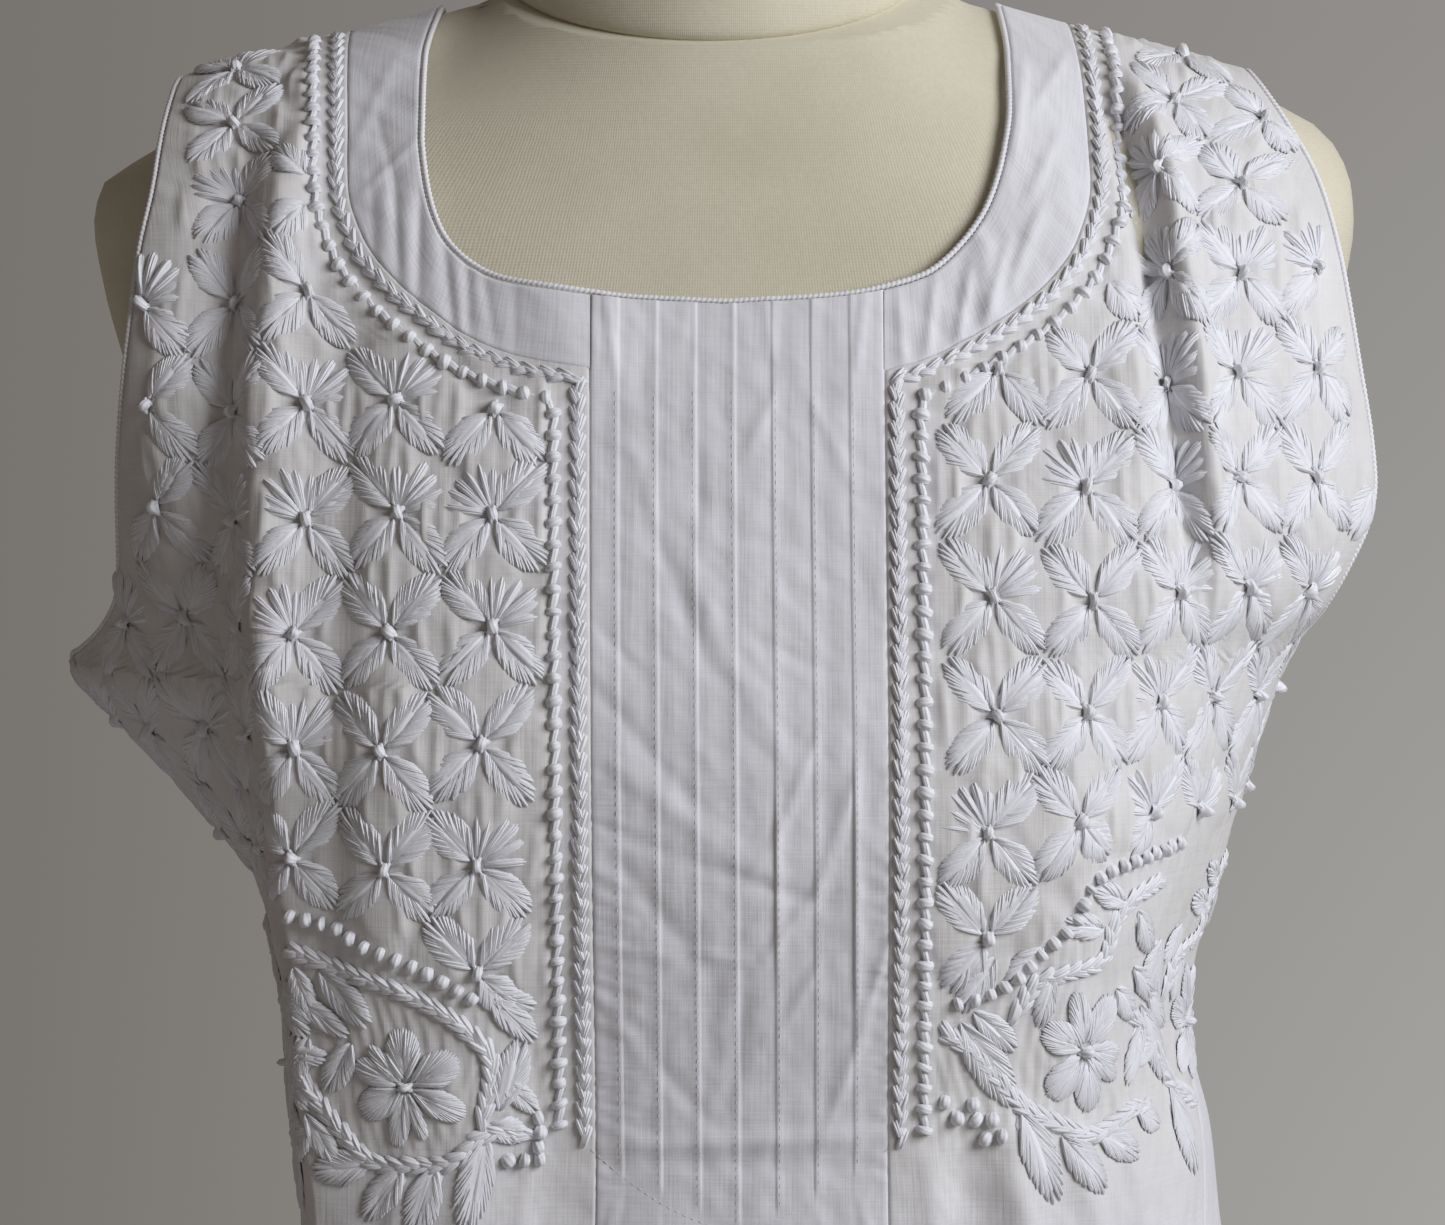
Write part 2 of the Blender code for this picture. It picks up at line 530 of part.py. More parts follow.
def seam_of_band(side):
    """Where the rows of a front panel meet the neck band: (x, z) and how oblique the seam is there."""
    curve = edge_curve(BAND_EDGE[side])
    found = []
    for level in SHOULDER_LEVELS:
        x, longer = edge_on_level(curve, level, side)
        found.append((x, float(height_at(side_sign(side) * x, level)), longer, level))
    for z in BAND_HEIGHTS:
        x, longer = edge_x(curve, max(z, curve[-1, 1]))
        found.append((x, z, min(longer, 6.0), None))
    return found


def lower_heights(underarm):
    """Heights of the rows of a panel below the neck band."""
    heights = [z for z in ARMHOLE_HEIGHTS if z > underarm + 0.004] + [underarm - UNDERARM_DROP]
    return heights + [z for z in SIDE_HEIGHTS + SKIRT_HEIGHTS if z < underarm - UNDERARM_DROP - 0.004]


def outer_end(z, side, face, armhole):
    """How a row at height z ends: the x of the armhole, or None for the side, and the length to cut off."""
    if z > armhole[-1, 1]:
        x_out, longer = edge_x(armhole, z)
        return x_out, BINDING_ROOM * longer
    if z >= GORE_TOP_Z:
        return None, 0.0
    return None, float(GORE_HALF(z)) + SEAM_GAP / 2


def front_rows(side):
    """Rows of a front panel, from the shoulder to the hem."""
    armhole = edge_curve(ARMHOLE[side])
    rows = []
    for x_in, z, longer_in, level in seam_of_band(side):
        cut_in = SEAM_GAP / 2 * longer_in
        if level is None:
            x_out, cut_out = outer_end(z, side, "front", armhole)
            row = level_row(z, x_in, x_out, side, "front", False)
        else:
            x_out, longer_out = edge_on_level(armhole, level, side)
            row, cut_out = shoulder_row(level, x_in, x_out, side, "front"), BINDING_ROOM * longer_out
        rows.append(with_folds(row, side, cut_in, cut_out))
    for z in lower_heights(armhole[-1, 1]):
        x_out, cut_out = outer_end(z, side, "front", armhole)
        row = level_row(z, placket_x(side)(z), x_out, side, "front", x_out is None)
        rows.append(with_folds(row, side, SEAM_GAP / 2, cut_out))
    return rows


PLACKET_LEFT = Curve([r[0] for r in PLACKET], [-r[1] for r in PLACKET])
PLACKET_RIGHT = Curve([r[0] for r in PLACKET], [r[2] for r in PLACKET])
GORE_HALF = Curve([r[0] for r in GORE_WIDTH], [r[1] for r in GORE_WIDTH])


def placket_x(side):
    return lambda z: float((PLACKET_LEFT if side == "left" else PLACKET_RIGHT)(z))


def front_panel(side, material):
    piece = Cloth()
    piece.grid(front_rows(side))
    return piece.wall("front_" + side, material)


BACK_LEVELS = tuple(level for level in SHOULDER_LEVELS if level < 0.60)
BACK_FAN = 6
BACK_FAN_LOW = 1.2905
BACK_HEIGHTS = (1.277, 1.262)


def seam_of_back_band(side):
    """Where the rows of the back meet its neck band: over the shoulder, then in a fan to the middle."""
    curve = edge_curve(BACK_BAND_EDGE)
    found = []
    for level in BACK_LEVELS:
        x, longer = edge_on_level(curve, level, side)
        found.append((x, float(height_at(side_sign(side) * x, level)), longer))
    start = int(np.argmin(np.abs(curve[:, 1] - (found[-1][1] - 0.006)) + (curve[:, 0] < 0.08)))
    for n in np.linspace(start, len(curve) - 1, BACK_FAN).astype(int):
        found.append((float(curve[n, 0]), float(curve[n, 1]), None))
    return found


def back_rows(side):
    """Rows of one half of the back. The fan turns them level, so that they meet on the middle line."""
    armhole = edge_curve(BACK_ARMHOLE[side])
    seam = seam_of_back_band(side)
    rows = []
    for (x_in, z, longer_in), level in zip(seam, BACK_LEVELS):
        x_out, longer_out = edge_on_level(armhole, level, side)
        row = shoulder_row(level, x_in, x_out, side, "back")
        rows.append(evenly(row, BACK_COLUMNS, SEAM_GAP / 2 * longer_in, BINDING_ROOM * longer_out))
    share = np.linspace(0, 1, DENSE)
    fan = seam[len(BACK_LEVELS):]
    top = float(rows[-1][-1][2])
    for n, (x_in, z_in, _) in enumerate(fan):
        z_out = top + (BACK_FAN_LOW - top) * (n + 1) / len(fan)
        x_out, longer_out = edge_x(armhole, z_out)
        x = side_sign(side) * (x_in + (x_out - x_in) * share)
        z = (z_in - SEAM_GAP / 2) + (z_out - z_in) * smooth_step(share)
        rows.append(evenly(on_cloth(x, z, "back"), BACK_COLUMNS, 0.0, BINDING_ROOM * longer_out))
    for z in list(BACK_HEIGHTS) + lower_heights(armhole[-1, 1]):
        x_out, cut_out = outer_end(z, side, "back", armhole)
        rows.append(evenly(level_row(z, 0.0, x_out, side, "back", x_out is None), BACK_COLUMNS, 0.0, cut_out))
    return rows


def back_panel(material):
    """The back is one piece. Its halves meet on the middle line below the neck band."""
    piece = Cloth()
    for side in ("left", "right"):
        piece.grid(back_rows(side), flip=side == "left")
    return piece.wall("back", material)


def on_edge(curve, side, face):
    """Points of a dense edge on the worn shape. Above the shoulder line they are put on it."""
    x = side_sign(side) * curve[:, 0]
    level = np.maximum(level_at(x, curve[:, 1]), SHOULDER_LEVELS[0])
    return on_cloth(x, height_at(x, level), face)


def band_rows(inner, outer_places, side, face, across):
    """Rows across a neck band, from its neckline to each place on its outer seam."""
    sign = side_sign(side)
    outer = on_edge(np.array([place[:2] for place in outer_places]), side, face)
    shares = length_along(outer) / length_along(outer)[-1]
    neckline = length_along(on_edge(inner, side, face))
    rows = []
    for share, place in zip(shares, outer_places):
        x_a = sign * float(np.interp(share * neckline[-1], neckline, inner[:, 0]))
        z_a = float(np.interp(share * neckline[-1], neckline, inner[:, 1]))
        x_b = sign * place[0]
        part = np.linspace(0, 1, DENSE)
        x = x_a + (x_b - x_a) * part
        level_a, level_b = level_at(x_a, z_a), level_at(x_b, place[1])
        level = np.maximum(level_a + (level_b - level_a) * part, SHOULDER_LEVELS[0])
        rows.append(evenly(on_cloth(x, height_at(x, level), face), across, BINDING_ROOM, SEAM_GAP * 0.6))
    return rows


BAND_ACROSS = 4


def neckline_to_placket(side):
    """The neckline from the shoulder to the seam of the middle panel."""
    curve = edge_curve(NECKLINE[side])
    return curve[curve[:, 0] >= placket_x(side)(1.28) + SEAM_GAP / 2]


def front_band_rows(side):
    places = seam_of_band(side)
    last = list(places[-1])
    last[0] = placket_x(side)(1.258) + SEAM_GAP / 2
    return band_rows(neckline_to_placket(side), places[:-1] + [last], side, "front", BAND_ACROSS)


def back_band_rows(side):
    return band_rows(edge_curve(BACK_NECKLINE), seam_of_back_band(side), side, "back", BAND_ACROSS)


def neck_band(side, material):
    piece = Cloth()
    piece.grid(front_band_rows(side))
    return piece.wall("neck_band_" + side, material)


def back_neck_band(material):
    piece = Cloth()
    for side in ("left", "right"):
        piece.grid(back_band_rows(side), flip=side == "left")
    return piece.wall("neck_band_back", material)


def tuck_lines(z):
    """Where the pintucks run at a height: evenly between the seams of the middle panel."""
    middle = (float(PLACKET_RIGHT(z)) - float(PLACKET_LEFT(z))) / 2 - 0.001
    pitch = TUCK_PITCH * (1 + 0.9 * max(0.0, TUCKS_END_Z - z))
    return [middle + (n - (TUCK_COUNT - 1) / 2) * pitch for n in range(TUCK_COUNT)]


MIDDLE_HEIGHTS = (1.2815, 1.268, 1.245, 1.215, 1.180, 1.150, 1.120, 1.085, 1.050, 1.020, 1.004, 0.985,
                  0.950, 0.900, 0.845, 0.785, 0.725, 0.675, HEM_Z + HEM_HEIGHT + 0.002,
                  HEM_Z + HEM_HEIGHT - 0.002, HEM_Z)


def middle_rows():
    """Rows of the panel of pintucks, and how far each point is raised."""
    neckline = {side: edge_curve(NECKLINE[side]) for side in NECKLINE}
    rows, relief = [], []
    for z in MIDDLE_HEIGHTS:
        left, right = -placket_x("left")(z) + SEAM_GAP / 2, placket_x("right")(z) - SEAM_GAP / 2
        across, raised = [left], [0.0]
        stitched = TUCK_HEIGHT * float(smooth_step((z - TUCKS_END_Z + 0.008) / 0.016))
        for line in tuck_lines(z):
            across += [line - TUCK_HALF_WIDTH, line, line + TUCK_HALF_WIDTH]
            raised += [0.0, stitched, 0.0]
        across.append(right)
        raised.append(0.0)
        x = np.array(across)
        if z == MIDDLE_HEIGHTS[0]:
            z = np.array([np.interp(-abs(v), -neckline["left" if v < 0 else "right"][:, 0],
                                    neckline["left" if v < 0 else "right"][:, 1]) for v in x]) - BINDING_ROOM
        rows.append(on_cloth(x, np.broadcast_to(z, x.shape), "front"))
        relief.append(raised)
    return rows, relief


def middle_panel(material):
    """The panel of pintucks, from the neckline to the hem. The tucks are raised on its outer side."""
    piece = Cloth()
    piece.grid(*middle_rows())
    return piece.wall("front_centre", material)


def side_gore(side, material):
    """The gore that widens the skirt at the side, pointed at the waist."""
    rows = []
    for z in SKIRT_HEIGHTS:
        ends = []
        for face in ("front", "back"):
            row = level_row(z, 0.05, None, side, face, True)
            width = float(GORE_HALF(z)) - SEAM_GAP * 0.6
            ends.append(evenly(row, 4, length_along(row)[-1] - width, 0.0))
        seam = (ends[0][-1] + ends[1][-1]) / 2
        rows.append(np.vstack([ends[0][:-1], [seam], ends[1][-2::-1]]))
    piece = Cloth()
    piece.grid(rows)
    return piece.wall("gore_" + side, material)


def binding_path(edge, centre):
    """A closed line beside a piece's edge, a seam's gap and half a binding away from it."""
    edge = np.array(without_near(edge, 0.003))
    facing = outward(edge[:, 0], edge[:, 1], edge[:, 2])
    along = np.roll(edge, -1, axis=0) - np.roll(edge, 1, axis=0)
    across = np.cross(along, facing)
    across /= np.linalg.norm(across, axis=1, keepdims=True)
    across *= np.sign((across * (centre - edge)).sum(axis=1))[:, None]
    folds = fold_height(edge[:, 0], edge[:, 1], edge[:, 2])[:, None]
    return edge + across * (SEAM_GAP + BINDING_RADIUS) + facing * (folds + WALL / 2)


def binding(name, points, material):
    """A rolled edge: a thin round tube along a closed line."""
    curve = bpy.data.curves.new(name, "CURVE")
    curve.dimensions = "3D"
    curve.bevel_depth = BINDING_RADIUS
    curve.bevel_resolution = 1
    spline = curve.splines.new("POLY")
    spline.points.add(len(points) - 1)
    for place, point in zip(points, spline.points):
        point.co = (*place, 1)
    spline.use_cyclic_u = True
    curve.materials.append(material)
    made = bpy.data.objects.new(name, curve)
    COLLECTION.objects.link(made)
    return made


def without_near(points, least):
    """A closed line without points that lie nearly on the one before."""
    kept = [points[0]]
    for place in points[1:]:
        if np.linalg.norm(place - kept[-1]) > least:
            kept.append(place)
    if np.linalg.norm(kept[0] - kept[-1]) < least:
        kept.pop()
    return kept


def neck_binding(material):
    front_left = [row[0] for row in front_band_rows("left")]
    middle = list(middle_rows()[0][0][2:-2:3])
    front_right = [row[0] for row in front_band_rows("right")][::-1]
    back_right = [row[0] for row in back_band_rows("right")]
    back_left = [row[0] for row in back_band_rows("left")][-2::-1]
    loop = front_left + middle + front_right + back_right + back_left
    return binding("neck_binding", binding_path(loop, np.array([0.0, 0.0, 1.34])), material)


def armhole_binding(side, material):
    low = ARMHOLE[side][-1][1] - UNDERARM_DROP - 0.0001
    front = [row[-1] for row in front_rows(side) if row[-1][2] > low]
    back = [row[-1] for row in back_rows(side) if row[-1][2] > low][::-1]
    centre = np.array([side_sign(side) * 0.20, SIDE_Y, 1.26])
    return binding("armhole_binding_" + side, binding_path(front + back, centre), material)


def ring_faces(mesh, rings):
    """Joins closed rings of points, and caps the first and the last."""
    made = [[mesh.verts.new(p) for p in ring] for ring in rings]
    for low, high in zip(made, made[1:]):
        for i in range(len(low)):
            j = (i + 1) % len(low)
            mesh.faces.new([low[i], low[j], high[j], high[i]])
    mesh.faces.new(made[0][::-1])
    mesh.faces.new(made[-1])


def form_ring(z):
    """One section of the dress form, with more points where it turns at the sides."""
    flat = float(FORM["flat"](z))
    neck = float(NECK["half"](z)) if z > NECK_PLANE_Z - 0.015 else 0.0
    ring = []
    for i in range(FORM_SIDES):
        turn = 2 * math.pi * i / FORM_SIDES
        wide = max(float(FORM["left" if turn > math.pi else "right"](z)), neck)
        x = wide * math.copysign(abs(math.sin(turn)) ** (2 / max(flat, 2)), math.sin(turn))
        face = "front" if math.cos(turn) > 0 else "back"
        depth = float(form_depth(x, z, face)) if abs(math.cos(turn)) > 1e-9 else 0.0
        ring.append((x, SIDE_Y + (depth if face == "back" else -depth), z))
    return ring


def form_torso(material):
    """The padded torso, lofted through its sections and cut off by the neck's sloping plane."""
    heights = [s[0] for s in FORM_SECTIONS][::-1]
    heights = [z for z in heights if z < 1.376] + [1.381, 1.388, 1.398, 1.415]
    heights = sorted(set(heights) | {1.3645, 1.3570, 1.3505, 1.3430})
    mesh = bmesh.new()
    ring_faces(mesh, [form_ring(z) for z in heights])
    bmesh.ops.triangulate(mesh, faces=[f for f in mesh.faces if len(f.verts) == 4])
    plane = Vector((0, 0, NECK_PLANE_Z))
    up = Vector((0, -NECK_PLANE_SLOPE, 1)).normalized()
    cut = bmesh.ops.bisect_plane(mesh, geom=mesh.verts[:] + mesh.edges[:] + mesh.faces[:], plane_co=plane,
                                 plane_no=up, clear_outer=True, dist=1e-6)
    bmesh.ops.contextual_create(mesh, geom=[e for e in cut["geom_cut"] if isinstance(e, bmesh.types.BMEdge)])
    bmesh.ops.recalc_face_normals(mesh, faces=mesh.faces)
    return finish_mesh("form_torso", mesh, material)


NECK_RINGS = (
    # height above the sloping plane, half width, half depth, share of the slope
    (0.0003, 0.0650, 0.0620, 1.00),
    (0.0018, 0.0672, 0.0643, 1.00),
    (0.0048, 0.0680, 0.0650, 1.00),
    (0.0100, 0.0675, 0.0645, 0.95),
    (0.0200, 0.0655, 0.0628, 0.85),
    (0.0340, 0.0628, 0.0603, 0.70),
    (0.0520, 0.0605, 0.0583, 0.50),
    (0.0680, 0.0592, 0.0572, 0.38),
    (0.0750, 0.0570, 0.0550, 0.34),
    (0.0785, 0.0520, 0.0500, 0.32),
)


def form_neck(material):
    """The covered neck, which sits on the torso along a seam that slopes down to the front."""
    mesh = bmesh.new()
    rings = []
    for height, half, depth, slope in NECK_RINGS:
        lean = -0.10 * height
        ring = []
        for i in range(NECK_SIDES):
            turn = 2 * math.pi * i / NECK_SIDES
            x = NECK_CENTRE[0] + half * math.sin(turn)
            y = NECK_CENTRE[1] + lean - depth * math.cos(turn)
            ring.append((x, y, NECK_PLANE_Z + height + slope * NECK_PLANE_SLOPE * y))
        rings.append(ring)
    ring_faces(mesh, rings)
    bmesh.ops.recalc_face_normals(mesh, faces=mesh.faces)
    return finish_mesh("form_neck", mesh, material)


def form_pole(material):
    bpy.ops.mesh.primitive_cylinder_add(
        vertices=24, radius=POLE_RADIUS, depth=FORM_BOTTOM_Z - BASE_HEIGHT - 2 * SEAM_GAP,
        location=(0, 0, (FORM_BOTTOM_Z + BASE_HEIGHT) / 2))
    made = bpy.context.object
    made.name = "stand_pole"
    made.data.name = "stand_pole"
    made.data.materials.append(material)
    made.data.shade_smooth()
    made.data.set_sharp_from_angle(angle=math.radians(50))
    move_to_collection(made)
    return made


def stand_base(material):
    """A round weighted base: a turned profile with an eased upper edge."""
    profile = [(0.0, BASE_HEIGHT), (BASE_FLAT_RADIUS, BASE_HEIGHT)]
    for turn in (0, 30, 60, 90):
        across = BASE_RADIUS - BASE_EDGE * (1 - math.sin(math.radians(turn)))
        profile.append((across, BASE_HEIGHT - 2 * BASE_EDGE + BASE_EDGE * math.cos(math.radians(turn))))
    profile += [(BASE_RADIUS, 0.0), (0.0, 0.0)]
    data = bpy.data.meshes.new("stand_base")
    data.from_pydata([(x, 0, z) for x, z in profile], [(i, i + 1) for i in range(len(profile) - 1)], [])
    made = bpy.data.objects.new("stand_base", data)
    COLLECTION.objects.link(made)
    turned = made.modifiers.new("turned", "SCREW")
    turned.angle = 2 * math.pi
    turned.steps = turned.render_steps = 48
    turned.use_merge_vertices = True
    turned.merge_threshold = 0.00005
    data.materials.append(material)
    return made


def move_to_collection(made):
    for collection in made.users_collection:
        collection.objects.unlink(made)
    COLLECTION.objects.link(made)


for old in list(bpy.data.objects):
    bpy.data.objects.remove(old)
COLLECTION = bpy.data.collections.new("tunic_on_dress_form")
bpy.context.scene.collection.children.link(COLLECTION)

plain_cotton = make_material("plain_cotton", (0.80, 0.80, 0.83), 0.85)
embroidered_cotton = make_material("embroidered_cotton", (0.80, 0.79, 0.77), 0.85)
binding_cotton = make_material("binding_cotton", (0.82, 0.82, 0.84), 0.8)
cream_jersey = make_material("cream_jersey", (0.66, 0.61, 0.47), 0.9)
painted_steel = make_material("painted_steel", (0.55, 0.55, 0.53), 0.45, 0.3)

for name in ("left", "right"):
    front_panel(name, embroidered_cotton)
    neck_band(name, plain_cotton)
    side_gore(name, plain_cotton)
    armhole_binding(name, binding_cotton)
middle_panel(plain_cotton)
back_panel(plain_cotton)
back_neck_band(plain_cotton)
neck_binding(binding_cotton)
form_torso(cream_jersey)
form_neck(cream_jersey)
form_pole(painted_steel)
stand_base(painted_steel)
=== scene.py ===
"""The finish of a sleeveless embroidered cotton tunic worn on a padded dress form.

Metres, +Z up, front towards -Y. The cloth is made as thin shells over the worn shape of
the tunic, and the embroidery is laid out flat and then wrapped onto that shape.
"""

import json
import math

import bmesh
import bpy
import numpy as np
from mathutils import Vector
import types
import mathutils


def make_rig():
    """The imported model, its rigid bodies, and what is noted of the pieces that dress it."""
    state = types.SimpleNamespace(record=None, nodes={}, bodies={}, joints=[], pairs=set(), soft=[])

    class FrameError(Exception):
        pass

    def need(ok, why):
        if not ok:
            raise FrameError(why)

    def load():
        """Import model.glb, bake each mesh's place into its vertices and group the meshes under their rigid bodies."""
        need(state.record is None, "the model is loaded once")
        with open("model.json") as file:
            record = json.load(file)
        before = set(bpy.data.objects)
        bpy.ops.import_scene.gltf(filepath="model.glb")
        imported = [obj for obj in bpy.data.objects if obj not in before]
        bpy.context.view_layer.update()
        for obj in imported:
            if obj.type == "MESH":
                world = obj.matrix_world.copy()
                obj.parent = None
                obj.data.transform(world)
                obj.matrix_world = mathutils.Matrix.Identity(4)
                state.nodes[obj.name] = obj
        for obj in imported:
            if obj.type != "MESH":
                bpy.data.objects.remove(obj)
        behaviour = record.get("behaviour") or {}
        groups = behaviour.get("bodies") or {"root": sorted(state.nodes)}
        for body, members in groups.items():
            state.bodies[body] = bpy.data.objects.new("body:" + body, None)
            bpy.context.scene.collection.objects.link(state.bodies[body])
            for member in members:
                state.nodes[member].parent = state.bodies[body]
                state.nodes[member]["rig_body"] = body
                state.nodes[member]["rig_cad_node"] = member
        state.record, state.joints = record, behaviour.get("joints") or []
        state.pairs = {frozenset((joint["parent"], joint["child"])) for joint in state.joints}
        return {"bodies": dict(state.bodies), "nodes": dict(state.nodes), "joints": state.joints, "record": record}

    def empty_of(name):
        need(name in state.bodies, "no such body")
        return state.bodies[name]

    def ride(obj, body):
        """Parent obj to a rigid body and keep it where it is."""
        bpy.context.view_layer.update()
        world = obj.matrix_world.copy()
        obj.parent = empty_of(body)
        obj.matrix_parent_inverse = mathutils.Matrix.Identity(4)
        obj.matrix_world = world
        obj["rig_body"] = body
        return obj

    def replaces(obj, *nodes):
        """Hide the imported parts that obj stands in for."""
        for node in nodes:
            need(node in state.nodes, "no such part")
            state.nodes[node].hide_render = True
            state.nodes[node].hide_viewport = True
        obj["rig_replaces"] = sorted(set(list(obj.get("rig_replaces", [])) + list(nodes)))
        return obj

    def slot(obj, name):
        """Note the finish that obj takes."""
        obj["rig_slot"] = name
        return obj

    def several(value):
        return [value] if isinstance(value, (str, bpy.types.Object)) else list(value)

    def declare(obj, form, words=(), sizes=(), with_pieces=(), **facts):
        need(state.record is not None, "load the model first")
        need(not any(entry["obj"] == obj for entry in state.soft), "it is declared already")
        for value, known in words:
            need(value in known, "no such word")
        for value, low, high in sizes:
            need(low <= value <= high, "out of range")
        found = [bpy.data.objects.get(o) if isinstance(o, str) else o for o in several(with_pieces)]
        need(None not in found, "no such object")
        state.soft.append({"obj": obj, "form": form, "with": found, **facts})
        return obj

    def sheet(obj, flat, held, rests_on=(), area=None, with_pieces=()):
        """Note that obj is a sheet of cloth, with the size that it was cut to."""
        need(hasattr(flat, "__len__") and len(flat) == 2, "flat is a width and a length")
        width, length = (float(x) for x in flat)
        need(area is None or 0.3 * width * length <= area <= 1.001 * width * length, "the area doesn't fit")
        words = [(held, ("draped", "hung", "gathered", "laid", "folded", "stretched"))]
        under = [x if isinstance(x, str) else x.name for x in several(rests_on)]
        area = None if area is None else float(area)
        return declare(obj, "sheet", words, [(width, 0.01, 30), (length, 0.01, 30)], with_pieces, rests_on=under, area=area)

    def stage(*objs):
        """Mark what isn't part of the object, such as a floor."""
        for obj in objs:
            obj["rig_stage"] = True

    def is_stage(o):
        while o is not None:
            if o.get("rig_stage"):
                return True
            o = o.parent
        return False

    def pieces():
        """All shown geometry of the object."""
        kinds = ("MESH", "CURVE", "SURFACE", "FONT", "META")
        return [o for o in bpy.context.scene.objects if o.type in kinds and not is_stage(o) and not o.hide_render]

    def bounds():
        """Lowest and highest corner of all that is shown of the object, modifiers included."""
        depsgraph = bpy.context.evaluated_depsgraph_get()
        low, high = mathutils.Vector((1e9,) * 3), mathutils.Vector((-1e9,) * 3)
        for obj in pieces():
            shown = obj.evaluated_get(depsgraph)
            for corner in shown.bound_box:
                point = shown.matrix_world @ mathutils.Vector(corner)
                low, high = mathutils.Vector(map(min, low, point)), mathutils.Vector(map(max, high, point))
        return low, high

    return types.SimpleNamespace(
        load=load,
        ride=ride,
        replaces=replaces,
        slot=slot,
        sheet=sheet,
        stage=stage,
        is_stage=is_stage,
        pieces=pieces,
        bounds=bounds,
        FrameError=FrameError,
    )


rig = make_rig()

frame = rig.load()
CAD_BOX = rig.bounds()

# Sizes of the cloth and its seams
WALL = 0.0015
SEAM_GAP = 0.0003
SEAM_LAP = 0.00012
BINDING_RADIUS = 0.0012
BINDING_ROOM = 2 * BINDING_RADIUS + SEAM_GAP
PRESSED_RADIUS = 0.0009
HEM_HEIGHT = 0.022
HEM_FOLD = 0.0011
HEM_Z = 0.611
UNDERARM_DROP = 0.0050
# Where the worn shape changes its sections
SIDE_Y = 0.005
LEVEL_Z = 1.300
LEVEL_STEP = 0.100
BLEND_POWER = 4.0
GORE_TOP_Z = 1.092
TUCKS_END_Z = 1.012

# Front panel of pintucks
TUCK_COUNT = 7
TUCK_PITCH = 0.0116

# The neck of the dress form
NECK_PLANE_Z = 1.379
NECK_PLANE_SLOPE = 0.384
NECK_CENTRE = (-0.004, 0.008)

# The worn shape of the cloth: half widths to each side, depths from SIDE_Y to the front and back,
# how flat the front is, how flat the back is, and how sharp the left and right sides are.
CLOTH_COLUMNS = ("z", "left", "right", "front", "back", "flat_front", "flat_back", "edge_left",
                 "edge_right")
CLOTH_SECTIONS = (
    (1.3770, 0.066, 0.066, 0.0200, 0.0240, 2.2, 2.2, 0.50, 0.50),
    (1.3700, 0.087, 0.087, 0.0280, 0.0332, 2.2, 2.2, 0.50, 0.50),
    (1.3610, 0.120, 0.120, 0.0352, 0.0432, 2.2, 2.2, 0.50, 0.50),
    (1.3548, 0.146, 0.144, 0.0405, 0.0492, 2.2, 2.2, 0.50, 0.50),
    (1.3485, 0.168, 0.169, 0.0460, 0.0552, 2.2, 2.2, 0.50, 0.50),
    (1.3440, 0.180, 0.179, 0.0498, 0.0592, 2.2, 2.2, 0.50, 0.50),
    (1.3350, 0.192, 0.191, 0.0566, 0.0660, 2.2, 2.2, 0.48, 0.48),
    (1.3200, 0.201, 0.202, 0.0662, 0.0752, 2.2, 2.2, 0.46, 0.46),
    (1.3000, 0.205, 0.207, 0.0772, 0.0858, 2.3, 2.3, 0.45, 0.45),
    (1.2700, 0.205, 0.210, 0.0892, 0.0970, 2.4, 2.4, 0.45, 0.45),
    (1.2480, 0.204, 0.211, 0.0975, 0.1020, 2.5, 2.4, 0.47, 0.45),
    (1.2270, 0.203, 0.212, 0.1045, 0.1055, 2.5, 2.4, 0.50, 0.45),
    (1.2120, 0.203, 0.210, 0.1090, 0.1062, 2.6, 2.4, 0.55, 0.45),
    (1.1990, 0.204, 0.204, 0.1125, 0.1062, 2.6, 2.4, 0.60, 0.46),
    (1.1860, 0.206, 0.195, 0.1155, 0.1058, 2.6, 2.4, 0.66, 0.48),
    (1.1760, 0.207, 0.184, 0.1175, 0.1052, 2.6, 2.4, 0.70, 0.50),
    (1.1650, 0.207, 0.1755, 0.1202, 0.1040, 2.6, 2.4, 0.70, 0.50),
    (1.1510, 0.1955, 0.1705, 0.1224, 0.1020, 2.6, 2.4, 0.66, 0.50),
    (1.1370, 0.181, 0.166, 0.1238, 0.0998, 2.7, 2.3, 0.60, 0.50),
    (1.1180, 0.1635, 0.161, 0.1236, 0.0965, 2.7, 2.3, 0.54, 0.48),
    (1.1040, 0.151, 0.157, 0.1220, 0.0938, 2.6, 2.3, 0.50, 0.46),
    (1.0880, 0.1443, 0.1525, 0.1190, 0.0908, 2.6, 2.3, 0.47, 0.45),
    (1.0720, 0.1387, 0.1485, 0.1155, 0.0882, 2.5, 2.3, 0.45, 0.45),
    (1.0560, 0.1363, 0.1465, 0.1120, 0.0860, 2.5, 2.3, 0.45, 0.45),
    (1.0400, 0.1362, 0.148, 0.1090, 0.0842, 2.4, 2.3, 0.45, 0.45),
    (1.0170, 0.135, 0.1535, 0.1060, 0.0835, 2.4, 2.3, 0.45, 0.45),
    (0.9830, 0.1335, 0.1575, 0.1050, 0.0860, 2.3, 2.3, 0.46, 0.46),
    (0.9500, 0.142, 0.165, 0.1075, 0.0925, 2.3, 2.3, 0.46, 0.46),
    (0.9000, 0.164, 0.179, 0.1140, 0.1050, 2.2, 2.3, 0.46, 0.46),
    (0.8500, 0.181, 0.189, 0.1215, 0.1170, 2.2, 2.2, 0.47, 0.47),
    (0.8000, 0.193, 0.198, 0.1285, 0.1250, 2.2, 2.2, 0.48, 0.48),
    (0.7000, 0.211, 0.213, 0.1395, 0.1370, 2.1, 2.1, 0.49, 0.49),
    (0.6000, 0.227, 0.228, 0.1500, 0.1470, 2.1, 2.1, 0.50, 0.50),
)

